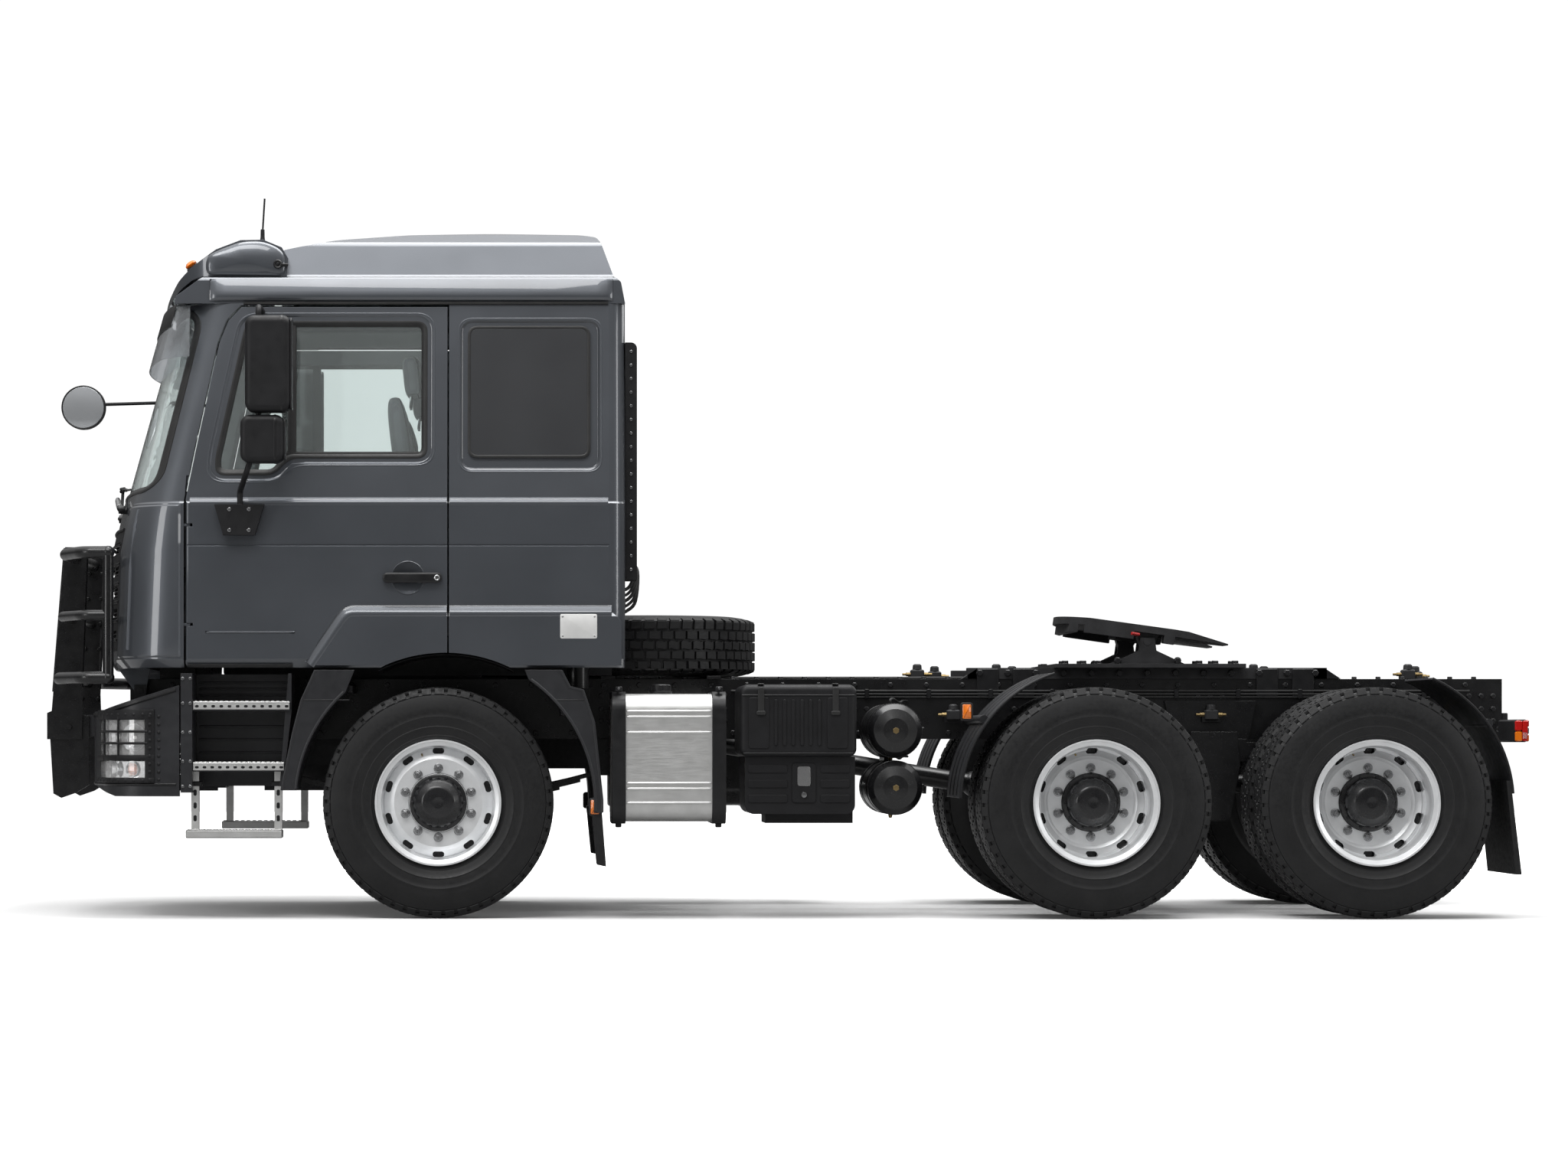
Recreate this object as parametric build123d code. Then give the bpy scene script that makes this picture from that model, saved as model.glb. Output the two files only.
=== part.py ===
"""Three-axle cab-over tractor unit, in millimetres.

Frame: +X towards the rear, +Y towards the vehicle's right-hand side, +Z up. The origin is on the
ground under the middle of the overall length. Inside this file every X is a station measured from
the front axle, and save() moves the finished pieces so that the overall length is centred on X = 0.
"""

from build123d import *
import os
from math import cos, radians, sin, tan

# ---------------------------------------------------------------- driving dimensions
# wheels and axles
WHEELBASE = 3175.0
BOGIE_SPREAD = 1350.0
TYRE_R = 560.0
TYRE_W = 305.0
RIM_R = 306.0
FRONT_TRACK = 2030.0
REAR_TRACK = 1850.0
TWIN_SPACING = 345.0
KINGPIN_Y = 850.0
PIN_FIT = 0.1
SPINDLE_R = 50.0
HUB_BORE_R = SPINDLE_R + PIN_FIT
KINGPIN_POST_R = 24.0

AXLE_X = (0.0, WHEELBASE, WHEELBASE + BOGIE_SPREAD)
BOGIE_X = WHEELBASE + BOGIE_SPREAD / 2
HUB_Z = TYRE_R

# chassis
RAIL_TOP = 1170.0
RAIL_H = 300.0
RAIL_HALF_W = 425.0
RAIL_T = 8.0
RAIL_FLANGE = 80.0
BAY_HALF_W = RAIL_HALF_W - RAIL_FLANGE - 5
RAIL_FRONT = -1560.0
REAR_OVERHANG = 790.0
RAIL_REAR = AXLE_X[2] + REAR_OVERHANG
RAIL_BOTTOM = RAIL_TOP - RAIL_H

# cab
CAB_BOTTOM = 1213.0
TURN_UNDER_TOP = 1255.0
NOSE_TOP = 1800.0
BELT_Z = 2005.0
LEDGE = 8.0
LEDGE_Z = BELT_Z + 9.0
GROOVE_Z = 1803.0
GUTTER_Z = 2975.0
CAB_REAR = 905.0
CAB_HALF_W = 1225.0
TUMBLEHOME = 75.0
GUTTER_HALF_W = CAB_HALF_W - TUMBLEHOME
CAB_WALL = 45.0
FRONT_SWEEP = 15.0
CORNER_TURN = 90.0 - FRONT_SWEEP
REAR_CORNER_R = 80.0
FLOOR_T = 40.0
FLOOR_TOP = 1480.0
REAR_FLOOR_TOP = 1570.0
REAR_FLOOR_X = 380.0
TUNNEL_HALF_W = 420.0
TUNNEL_TOP = 1650.0
TUNNEL_FRONT = -1500.0
TILT_X = -1500.0
TILT_Z = 1110.0
TILT_PIN_R = 15.0
TILT_LUG_Y = RAIL_HALF_W + 75
CAB_TILT_DEG = 50.0

# doors
DOOR_FRONT = -1216.0
DOOR_REAR = 46.0
DOOR_TOP = 2958.0
DOOR_GAP = 8.0
DOOR_T = 62.0
SILL_Y = CAB_HALF_W - DOOR_T - 15
SILL_W = 88.0
DOOR_NOSE_R = 16.0
NOSE_END_Z = BELT_Z + 75
HINGE_PIN_R = 7.0
HINGE_Z = (1420.0, 1900.0)
GLASS_T = 6.0
SEAL_GAP = 0.3
ARCH_X = 36.0
ARCH_Z = 560.0
ARCH_R = 724.0
FLARE_TOP = 1476.0
FLARE_OUT = 18.0

# fifth wheel
FIFTH_X = BOGIE_X - 313.0
FIFTH_Z = 1357.0
FIFTH_TILT = 8.0
KINGPIN_R = 25.5
PLATE_T = 36.0

# front guard
GUARD_PIVOT_X = -1862.0
GUARD_PIVOT_Z = 930.0
GUARD_TUBE_R = 30.0

# overall stations, used only to centre the model
MIRROR_DISC = (-1946.0, CAB_HALF_W - 250, 2643.0)
MIRROR_DISC_R = 118.0
TAIL_BAR_T = 30.0
FRONT_STATION = MIRROR_DISC[0] - MIRROR_DISC_R
REAR_STATION = RAIL_REAR + TAIL_BAR_T
SHIFT_X = -(FRONT_STATION + REAR_STATION) / 2


# ---------------------------------------------------------------- helpers
def block(x0, x1, y0, y1, z0, z1):
    """A box between two corners."""
    return Pos((x0 + x1) / 2, (y0 + y1) / 2, (z0 + z1) / 2) * Box(abs(x1 - x0), abs(y1 - y0), abs(z1 - z0))


def rod(start, end, radius):
    """A round bar from start to end."""
    way = Vector(*end) - Vector(*start)
    return Solid.extrude(Face(Wire(Edge.make_circle(radius, Plane(origin=start, z_dir=way)))), way)


def pipe(points, bends, radius):
    """A round tube along straight runs joined by tangent arcs."""
    path = FilletPolyline(*points, radius=bends)
    start = Plane(origin=path @ 0, z_dir=path % 0)
    return sweep(start * Circle(radius), path=path)


def side_plate(points, y0, y1):
    """A flat outline in X and Z, given thickness from y0 to y1."""
    face = Face(Wire.make_polygon([Vector(x, y0, z) for x, z in points], close=True))
    return Solid.extrude(face, Vector(0, y1 - y0, 0))


def cross_plate(points, x0, x1):
    """A flat outline in Y and Z, given thickness from x0 to x1."""
    face = Face(Wire.make_polygon([Vector(x0, y, z) for y, z in points], close=True))
    return Solid.extrude(face, Vector(x1 - x0, 0, 0))


def rounded_panel(x0, x1, z0, z1, radius, y0, y1):
    """A rounded rectangle seen from the side, from y0 to y1."""
    spot = Plane(origin=((x0 + x1) / 2, y0, (z0 + z1) / 2), x_dir=(1, 0, 0), z_dir=(0, 1, 0))
    return extrude(spot * RectangleRounded(x1 - x0, z1 - z0, radius), y1 - y0)


def both_sides(shape):
    """The shape and its mirror image across the middle of the vehicle."""
    return [shape, mirror(shape, about=Plane.XZ)]


def fused(pieces):
    """One shape from several that meet."""
    whole = pieces[0]
    for piece in pieces[1:]:
        whole = whole + piece
    return whole


def spun(points, y=0.0, x=0.0, z=0.0):
    """A ring about the Y axis from (radius, y) points, moved to an axle."""
    face = Face(Wire.make_polygon([Vector(r, v, 0) for r, v in points], close=True))
    return Pos(x, y, z) * revolve(face, axis=Axis.Y)


# ---------------------------------------------------------------- cab envelope
# columns: height, front at the middle, half width, front corner radius
CAB_SECTIONS = (
    (CAB_BOTTOM, -1655.0, CAB_HALF_W - 33, 285.0),
    (TURN_UNDER_TOP, -1685.0, CAB_HALF_W - 3, 300.0),
    (NOSE_TOP, -1665.0, CAB_HALF_W, 300.0),
    (BELT_Z, -1620.0, CAB_HALF_W, 280.0),
    (LEDGE_Z, -1618.0, CAB_HALF_W - LEDGE, 280.0),
    (GUTTER_Z, -1350.0, GUTTER_HALF_W, 250.0),
)


def plan(z, front, half_w, corner, rear, rear_corner):
    """The cab's outline seen from above at one height: arcs across the front and round the corners."""
    knee_y = half_w - corner * (1 - cos(radians(CORNER_TURN)))
    knee_x = front + knee_y * tan(radians(FRONT_SWEEP / 2))
    side_x = knee_x + corner * sin(radians(CORNER_TURN))
    half = radians(CORNER_TURN / 2)
    mid_x, mid_y = side_x - corner * sin(half), half_w - corner * (1 - cos(half))
    turn = rear_corner * (1 - cos(radians(45)))
    edges = [Edge.make_three_point_arc((knee_x, knee_y, z), (front, 0, z), (knee_x, -knee_y, z))]
    for s in (-1, 1):
        corner_arc = [(knee_x, s * knee_y, z), (mid_x, s * mid_y, z), (side_x, s * half_w, z)]
        rear_arc = [
            (rear - rear_corner, s * half_w, z),
            (rear - turn, s * (half_w - turn), z),
            (rear, s * (half_w - rear_corner), z),
        ]
        edges += [Edge.make_three_point_arc(*corner_arc), Edge.make_line(corner_arc[2], rear_arc[0])]
        edges += [Edge.make_three_point_arc(*rear_arc)]
    edges += [Edge.make_line((rear, -half_w + rear_corner, z), (rear, half_w - rear_corner, z))]
    return Face(Wire(edges))


def cab_body(inset=0.0, drop=0.0, rise=0.0):
    """The cab's outer form as a solid, drawn in by inset; drop and rise stretch it down and up."""
    faces = []
    for i, (z, front, half_w, corner) in enumerate(CAB_SECTIONS):
        z += rise if i == len(CAB_SECTIONS) - 1 else -drop if i == 0 else 0
        faces += [plan(z, front + inset, half_w - inset, corner - inset, CAB_REAR - inset, REAR_CORNER_R - inset / 2)]
    return loft(faces, ruled=True)


def front_x(y, z):
    """Where the cab's front wall lies at a given offset from the middle and height."""
    for (z0, f0, w0, r0), (z1, f1, w1, r1) in zip(CAB_SECTIONS, CAB_SECTIONS[1:]):
        if z <= z1:
            share = (z - z0) / (z1 - z0)
            front, half_w, corner = (a + (b - a) * share for a, b in ((f0, f1), (w0, w1), (r0, r1)))
            break
    knee = half_w - corner * (1 - cos(radians(CORNER_TURN)))
    if abs(y) > knee:
        side_x = front + knee * tan(radians(FRONT_SWEEP / 2)) + corner * sin(radians(CORNER_TURN))
        return side_x - (corner ** 2 - (abs(y) - half_w + corner) ** 2) ** 0.5
    sweep_r = knee / sin(radians(FRONT_SWEEP))
    return front + sweep_r - (sweep_r ** 2 - y ** 2) ** 0.5


def cab_half_width(z):
    """Half the cab's width at a height between the belt and the gutter."""
    share = max(0.0, (z - LEDGE_Z) / (GUTTER_Z - LEDGE_Z))
    return CAB_HALF_W - LEDGE + (GUTTER_HALF_W - CAB_HALF_W + LEDGE) * share


# ---------------------------------------------------------------- door outline and windows
def door_points(grow=0.0):
    """The door's outline from the side, clockwise from the front sill, grown by a gap."""
    return [
        (DOOR_FRONT - grow, CAB_BOTTOM - 40),
        (DOOR_FRONT - grow, BELT_Z + 15),
        (-1168 - grow, 2261),
        (-1056 - grow, 2786),
        (-1014 - grow, 2890 + grow / 2),
        (-950 - grow / 2, DOOR_TOP + grow),
        (DOOR_REAR + grow, DOOR_TOP + grow),
        (DOOR_REAR + grow, CAB_BOTTOM - 40),
    ]


WINDOW_POINTS = (
    (-1062, 2150),
    (-792, 2150),
    (-722, 2232),
    (-60, 2232),
    (-60, 2882),
    (-922, 2882),
    (-1068, 2215),
)
WINDOW_RADII = 45.0
WINDOW_RECESS = 34.0
RECESS_DEPTH = 7.0


def window_prism(shrink, y0, y1):
    """The door window's outline as a solid along Y."""
    face = Face(Wire.make_polygon([Vector(x, y0, z) for x, z in WINDOW_POINTS], close=True))
    face = fillet(face.vertices(), WINDOW_RADII)
    wire = face.faces()[0].outer_wire()
    if shrink:
        wire = wire.offset_2d(-shrink)
    return Solid.extrude(Face(wire), Vector(0, y1 - y0, 0))


def arch_cut(radius, y0, y1):
    """The round front wheel arch as a solid along Y."""
    return rod((ARCH_X, y0, ARCH_Z), (ARCH_X, y1, ARCH_Z), radius)


def windscreen_prism(shrink):
    """The windscreen opening seen from the front, as a solid along X."""
    low, high = 2070.0 + shrink, 2945.0 - shrink
    low_y, high_y = CAB_HALF_W - 60 - shrink, GUTTER_HALF_W - 50 - shrink
    corners = [Vector(-2000, -low_y, low), Vector(-2000, low_y, low)]
    corners += [Vector(-2000, high_y, high), Vector(-2000, -high_y, high)]
    face = Face(Wire.make_polygon(corners, close=True))
    face = fillet(face.vertices(), 110.0).faces()[0]
    return Solid.extrude(face, Vector(1300, 0, 0))


def side_groove(s, x0, x1):
    """The pressed line along the cab's side below the belt, as the metal to take away."""
    y = s * CAB_HALF_W
    return side_plate([(x0, GROOVE_Z - 4), (x0, GROOVE_Z + 4), (x1, GROOVE_Z + 4), (x1, GROOVE_Z - 4)], y - s * 3.5, y + s * 9)


# ---------------------------------------------------------------- cab pieces
def cab_shell_slice():
    """The cab's walls as one ring, open above and below."""
    return cab_body() - cab_body(inset=CAB_WALL, drop=5, rise=5)


def make_cab_front(shell):
    """Front wall with its corner panels and windscreen pillars, and the hinge lugs for the doors."""
    front = shell & block(-2000, -700, -1400, 1400, CAB_BOTTOM - 1, GUTTER_Z + SEAL_GAP)
    front -= side_plate(door_points(DOOR_GAP), -1400, 1400)
    front -= windscreen_prism(0)
    front -= block(-2000, -1300, -GRILLE_HALF_W, GRILLE_HALF_W, GRILLE_Z[0], GRILLE_Z[1])
    pieces = [front]
    for s in (-1, 1):
        for z in HINGE_Z:
            lug = block(DOOR_FRONT - DOOR_GAP - 6, HINGE_X, s * (HINGE_Y - 9), s * (HINGE_Y + 9), z - 6, z + 6)
            lug += rod((HINGE_X, s * HINGE_Y, z - 6), (HINGE_X, s * HINGE_Y, z + 6), 9)
            pieces += [lug + rod((HINGE_X, s * HINGE_Y, z - 45), (HINGE_X, s * HINGE_Y, z + 45), HINGE_PIN_R)]
        # the pillar gives way where it leans back over the hinge line
        swing = Solid.make_cone(DOOR_NOSE_R + 6, DOOR_NOSE_R - 3, 125)
        pieces[0] -= Pos(HINGE_X, s * HINGE_Y, BELT_Z + 10) * swing
    # tilt lugs under the front wall
    for s in (-1, 1):
        y = s * TILT_LUG_Y
        ear = side_plate([(-1610, CAB_BOTTOM + 5), (TILT_X - 26, TILT_Z - 8), (TILT_X + 26, TILT_Z - 8),
                          (TILT_X + 60, CAB_BOTTOM + 60), (-1610, CAB_BOTTOM + 60)], y - 15, y + 15)
        ear += rod((TILT_X, y - 15, TILT_Z), (TILT_X, y + 15, TILT_Z), 30)
        ear -= rod((TILT_X, y - 20, TILT_Z), (TILT_X, y + 20, TILT_Z), TILT_PIN_R + PIN_FIT)
        pieces += [ear]
    # sill rail that carries the lower front edge between the lugs
    rail = (cab_body(inset=CAB_WALL - 1) & block(-1700, TILT_X + 60, -1100, 1100, CAB_BOTTOM + 2, CAB_BOTTOM + 60))
    pieces += [rail]
    return fused(pieces)


def make_cab_rear(shell):
    """Rear wall and both quarter sides behind the doors, with the stamped blank window panels."""
    rear = shell & block(DOOR_REAR + DOOR_GAP, 1000, -1400, 1400, CAB_BOTTOM - 1, GUTTER_Z + SEAL_GAP)
    rear -= block(CAB_REAR - CAB_WALL - 300, 1000, -CAB_HALF_W + 120, CAB_HALF_W - 120, CAB_BOTTOM - 5,
                  REAR_FLOOR_TOP - FLOOR_T)
    rear -= arch_cut(ARCH_R, -1400, 1400)
    for s in (-1, 1):
        y0, y1 = s * (CAB_HALF_W - 200), s * (CAB_HALF_W + 60)
        frame_ring = rounded_panel(109, 783, 2165, 2893, 60, min(y0, y1), max(y0, y1))
        frame_ring -= rounded_panel(145, 735, 2225, 2865, 45, min(y0, y1) - 1, max(y0, y1) + 1)
        rear -= frame_ring - cab_body(inset=12, rise=5)
        rear -= side_groove(s, DOOR_REAR - 10, CAB_REAR - REAR_CORNER_R)
        rear += quarter_flare(s)
    return rear


def quarter_flare(s):
    """The raised wheel-arch flare on the quarter side."""
    x1 = CAB_REAR - 60
    outline = [(DOOR_REAR + DOOR_GAP, CAB_BOTTOM + 10), (DOOR_REAR + DOOR_GAP, FLARE_TOP), (x1, FLARE_TOP),
               (x1 + 40, FLARE_TOP - 40), (x1 + 40, CAB_BOTTOM + 10)]
    return flare_plate(outline, s)


def flare_plate(outline, s):
    """A flare plate on the cab's side from its outline, cut by the wheel arch."""
    y0, y1 = s * (CAB_HALF_W - 20), s * (CAB_HALF_W + FLARE_OUT)
    plate = side_plate(outline, min(y0, y1), max(y0, y1))
    top_edges = plate.edges().filter_by(Axis.X).sort_by(Axis.Z)[-2:]
    outer = top_edges.sort_by(Axis.Y)[0 if s < 0 else -1]
    plate = chamfer(outer, FLARE_OUT - 2)
    return plate - arch_cut(ARCH_R, -1400, 1400)


def make_cab_floor():
    """Floor pan with the engine tunnel and the raised floor under the bunk."""
    inner = cab_body(inset=CAB_WALL + 0.3, rise=5)
    front = block(-1700, REAR_FLOOR_X, -1300, 1300, FLOOR_TOP - FLOOR_T, FLOOR_TOP)
    riser = block(REAR_FLOOR_X - 30, REAR_FLOOR_X, -1300, 1300, FLOOR_TOP - FLOOR_T, REAR_FLOOR_TOP)
    rear = block(REAR_FLOOR_X - 30, 1000, -1300, 1300, REAR_FLOOR_TOP - FLOOR_T, REAR_FLOOR_TOP)
    floor = front + riser + rear
    # the sides stop short of the doors' inner faces
    floor &= block(-1700, 1000, -SILL_Y, SILL_Y, FLOOR_TOP - 200, REAR_FLOOR_TOP) + block(
        DOOR_REAR + DOOR_GAP, 1000, -1300, 1300, FLOOR_TOP - 200, REAR_FLOOR_TOP)
    floor &= inner
    front_x0, rear_x1 = TUNNEL_FRONT - SEAL_GAP, REAR_FLOOR_X - 30
    tunnel = block(TUNNEL_FRONT, rear_x1 - SEAL_GAP, -TUNNEL_HALF_W, TUNNEL_HALF_W, FLOOR_TOP - FLOOR_T, TUNNEL_TOP)
    opening = block(front_x0, rear_x1, -TUNNEL_HALF_W - SEAL_GAP, TUNNEL_HALF_W + SEAL_GAP, FLOOR_TOP - 100, TUNNEL_TOP)
    hollow = block(TUNNEL_FRONT - 1, REAR_FLOOR_X - 50, -TUNNEL_HALF_W + 35, TUNNEL_HALF_W - 35,
                   FLOOR_TOP - 100, TUNNEL_TOP - 35)
    sills = []
    for s in (-1, 1):
        sill = [s * (SILL_Y - SILL_W), s * SILL_Y]
        sills += [block(-1500, REAR_FLOOR_X, min(sill), max(sill), FLOOR_TOP - 110, FLOOR_TOP)]
    return [((floor + fused(sills)) & inner) - opening, (tunnel & inner) - hollow]


GRILLE_HALF_W = CAB_HALF_W - 295
GRILLE_Z = (1300.0, 1900.0)
GRILLE_SLATS = 5


def make_grille():
    """Front grille: a frame in the front wall with level slats that let air through."""
    skin = cab_body(inset=-6) - cab_body(inset=30)
    z0, z1 = GRILLE_Z[0] + SEAL_GAP, GRILLE_Z[1] - SEAL_GAP
    half = GRILLE_HALF_W - SEAL_GAP
    panel = skin & block(-2000, -1300, -half, half, z0, z1)
    pitch = (z1 - z0 - 60) / GRILLE_SLATS
    for i in range(GRILLE_SLATS):
        low = z0 + 45 + i * pitch
        for s in (-1, 1):
            bay = [s * 18, s * (half - 45)]
            panel -= block(-2000, -1300, min(bay), max(bay), low, low + pitch - 52)
    return panel


def make_windscreen():
    """Curved laminated windscreen seated in the front wall."""
    glass = cab_body(inset=10, rise=5) - cab_body(inset=10 + GLASS_T, drop=5, rise=10)
    return glass & windscreen_prism(SEAL_GAP)


ROOF_LINE = (
    (-1275, GUTTER_Z + SEAL_GAP), (-1270, 3010), (-1120, 3120), (-900, 3205), (-740, 3255), (-500, 3305), (-150, 3335),
    (250, 3345), (700, 3335), (768, 3322), (790, 3290), (852, 3110), (CAB_REAR - 20, 3080), (CAB_REAR, GUTTER_Z + SEAL_GAP),
)


ROOF_LINE_BENDS = [0.5, 12, 400, 600, 600, 900, 1500, 1500, 500, 30, 60, 30, 20, 0.5]


def bent(points, radii):
    """A closed outline through the points with its corners rounded."""
    return Face(Wire(FilletPolyline(*points, radius=radii, close=True).edges()))


def roof_side(inset):
    """The roof's side outline, drawn in by inset."""
    points = [(x + (inset if x < 0 else -inset), z - inset if z > GUTTER_Z + 2 else z - 30 if inset else z)
              for x, z in ROOF_LINE]
    face = bent([Vector(x, -1400, z) for x, z in points], ROOF_LINE_BENDS)
    return Solid.extrude(face, Vector(0, 2800, 0))


def roof_cross(inset):
    """The roof's outline from the rear: a band at the gutter and a raised middle."""
    w, top = GUTTER_HALF_W - inset, 3345.0 - inset
    base = GUTTER_Z + SEAL_GAP if not inset else GUTTER_Z - 30
    half = [(w, base), (w - 4, 3102 - inset), (w - 80, 3114 - inset), (w - 165, top - 60), (w - 260, top)]
    bends = [0.5, 22, 24, 60, 90]
    points = half + [(-y, z) for y, z in reversed(half)]
    face = bent([Vector(-1500, y, z) for y, z in points], bends + bends[::-1])
    return Solid.extrude(face, Vector(2700, 0, 0))


def make_roof():
    """Raised roof shell over the gutter."""
    return (roof_side(0) & roof_cross(0)) - (roof_side(38) & roof_cross(38))


HINGE_X = DOOR_FRONT + DOOR_NOSE_R
HINGE_Y = CAB_HALF_W - DOOR_NOSE_R


HANDLE_X = -144.0
HANDLE_Z = 1645.0
HANDLE_DISH_R = 76.0
HANDLE_DISH = 26.0


def make_door(s):
    """One door: skin and inner panel as one leaf, with its window opening, flare and hinge bores."""
    leaf = cab_body() - cab_body(inset=DOOR_T, drop=5, rise=5)
    leaf &= side_plate(door_points(), 0, s * 1400)
    leaf &= block(-2000, 1000, -1400, 1400, CAB_BOTTOM, DOOR_TOP)
    leaf -= window_prism(0, s * 900, s * 1400)
    leaf -= window_prism(-WINDOW_RECESS, s * 900, s * 1400) - cab_body(inset=RECESS_DEPTH, rise=5)
    leaf -= side_groove(s, DOOR_FRONT - 10, DOOR_REAR + 10)
    # rounded nose about the hinge line
    nose = rod((HINGE_X, s * HINGE_Y, 1000), (HINGE_X, s * HINGE_Y, NOSE_END_Z), DOOR_NOSE_R)
    ahead = block(DOOR_FRONT - 50, HINGE_X, s * HINGE_Y, s * 1400, 1000, NOSE_END_Z)
    ahead += block(DOOR_FRONT - 50, HINGE_X, s * 1000, s * 1400, 1000, BELT_Z + 15)
    leaf -= ahead - nose
    # flare over the wheel arch
    x0 = -612.0
    outline = [(x0, CAB_BOTTOM + 10), (x0 + 175, FLARE_TOP), (DOOR_REAR, FLARE_TOP), (DOOR_REAR, CAB_BOTTOM + 10)]
    leaf += flare_plate(outline, s)
    leaf -= arch_cut(ARCH_R, -1400, 1400)
    for z in HINGE_Z:
        leaf -= rod((HINGE_X, s * HINGE_Y, z - 7.5), (HINGE_X, s * HINGE_Y, z + 7.5), DOOR_NOSE_R + 8)
        leaf -= rod((HINGE_X, s * HINGE_Y, z - 46), (HINGE_X, s * HINGE_Y, z + 46), HINGE_PIN_R + PIN_FIT)
    # pull handle on two feet, over a dished finger recess
    ball = HANDLE_DISH_R ** 2 / (2 * HANDLE_DISH) + HANDLE_DISH / 2
    leaf -= Pos(HANDLE_X, s * (CAB_HALF_W + ball - HANDLE_DISH), HANDLE_Z) * Sphere(ball)
    y = CAB_HALF_W
    handle = rounded_panel(HANDLE_X - 120, HANDLE_X + 164, HANDLE_Z - 24, HANDLE_Z + 24, 22, *sorted((s * (y + 6), s * (y + 28))))
    handle = fillet(handle.edges().group_by(Axis.Y)[-1 if s > 0 else 0], 8)
    handle += rounded_panel(HANDLE_X - 120, HANDLE_X - 76, HANDLE_Z - 24, HANDLE_Z + 24, 20, *sorted((s * (y - 8), s * (y + 8))))
    handle += rounded_panel(HANDLE_X + 80, HANDLE_X + 164, HANDLE_Z - 24, HANDLE_Z + 24, 22, *sorted((s * (y - 8), s * (y + 8))))
    return leaf + handle


def make_door_glass(s):
    """The door's glass in its opening."""
    glass = cab_body(inset=18, rise=5) - cab_body(inset=18 + GLASS_T, drop=5, rise=10)
    return glass & window_prism(SEAL_GAP, s * 900, s * 1400)


def make_mirror(s):
    """Door mirror: main and wide-angle housings on a bent arm, with its foot on the door."""
    def y(out):
        return s * (CAB_HALF_W + out)
    top = cab_half_width(2935) - CAB_HALF_W + 9.4
    foot = side_plate([(-1073, 1996), (-834, 1996), (-878, 1848), (-1030, 1848)], y(0.3), y(60))
    foot = chamfer(foot.edges().filter_by(Axis.X).sort_by(Axis.Z)[0:1], 20)
    arm = pipe([(-950, y(37), 1980), (-950, y(37), 2060), (-905, y(195), 2150), (-850, y(205), 2330),
                (-850, y(205), 2930), (-850, y(35), 2935), (-850, y(top), 2935)], [30, 40, 60, 30, 20], 14)
    main = rounded_panel(-912, -691, 2424, 2886, 45, min(y(150), y(275)), max(y(150), y(275)))
    wide = rounded_panel(-935, -723, 2183, 2412, 45, min(y(150), y(265)), max(y(150), y(265)))
    main = fillet(main.edges().group_by(Axis.Y)[0] + main.edges().group_by(Axis.Y)[-1], 32)
    wide = fillet(wide.edges().group_by(Axis.Y)[0] + wide.edges().group_by(Axis.Y)[-1], 28)
    return fused([arm, foot, main, wide])


VISOR_STANDOFF = 60.0
VISOR_T = 6.0
VISOR_Z = (2715.0, 2968.0)


def make_sun_visor():
    """External sun visor: a curved sheet ahead of the windscreen's top, on three stays."""
    sheet = cab_body(inset=-VISOR_STANDOFF - VISOR_T) - cab_body(inset=-VISOR_STANDOFF, drop=5, rise=5)
    sheet &= block(-2000, -1200, -1400, 1400, VISOR_Z[0], VISOR_Z[1])
    stays = []
    for y in (-800, 0, 800):
        x = front_x(y, VISOR_Z[1] - 10)
        stays += [block(x - VISOR_STANDOFF - 3, x + 20, y - 12, y + 12, VISOR_Z[1] - 16, VISOR_Z[1] - 4)]
    return fused([sheet] + stays) - cab_body()


HOOD_HALF_W = GUTTER_HALF_W - 65
MARKER_Y = HOOD_HALF_W - 225
HOOD_LINE = (
    (-735, 3110), (-728, 3200), (-760, 3255), (-850, 3292), (-960, 3290), (-1080, 3245), (-1200, 3165),
    (-1330, 3060), (-1395, 3010), (-1330, 3020), (-1200, 3100), (-1150, 3115),
)


def make_roof_visor():
    """Roof-mounted lamp visor: a hood across the front of the roof."""
    body = side_plate(HOOD_LINE, -HOOD_HALF_W, HOOD_HALF_W)
    plan_form = plan(2900, -1400, HOOD_HALF_W, 250, 500, 80)
    body &= Solid.extrude(plan_form, Vector(0, 0, 600))
    return body - (roof_side(0) & roof_cross(0)) - (roof_side(-0.3) & roof_cross(-0.3))


def make_marker_lamps():
    """Five amber marker lamps on the roof visor."""
    lamps = []
    for share in (-1, -0.5, 0, 0.5, 1):
        lamps += [Pos(-1200, share * MARKER_Y, 3168) * Rot(0, -35, 0) * Box(60, 90, 34)]
    return lamps


def make_antenna():
    """Whip antenna with its base on the roof visor."""
    y = -HOOD_HALF_W + 105
    return rod((-860, y, 3270), (-860, y, 3340), 9) + rod((-860, y, 3335), (-850, y, 3505), 4)


def make_front_mirror():
    """Round kerb-view mirror on an arm at the front right corner."""
    y = CAB_HALF_W - 90
    root = front_x(y, 2650)
    arm = pipe([(root - 0.5, y, 2650), (root - 220, y - 75, 2680), (-1850, MIRROR_DISC[1], 2660)], [120], 9)
    disc = Pos(*MIRROR_DISC) * Rot(90, 0, 0) * Cylinder(MIRROR_DISC_R, 40)
    return (arm + disc) - cab_body()


def make_air_intake():
    """Air intake snorkel on the rear wall with its bellows to the air filter."""
    duct = block(CAB_REAR + 0.5, CAB_REAR + 58, -CAB_HALF_W + 105, -CAB_HALF_W + 325, 1640, 2790)
    return fillet(duct.edges().filter_by(Axis.Y).sort_by(Axis.Z)[-1:], 30)


SEAT_Y = CAB_HALF_W - 525
SEAT_BASE_Z = 1840.0
STEER_HUB = (-985.0, -SEAT_Y + 50, 2080.0)
STEER_LEAN = 38.0


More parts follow.
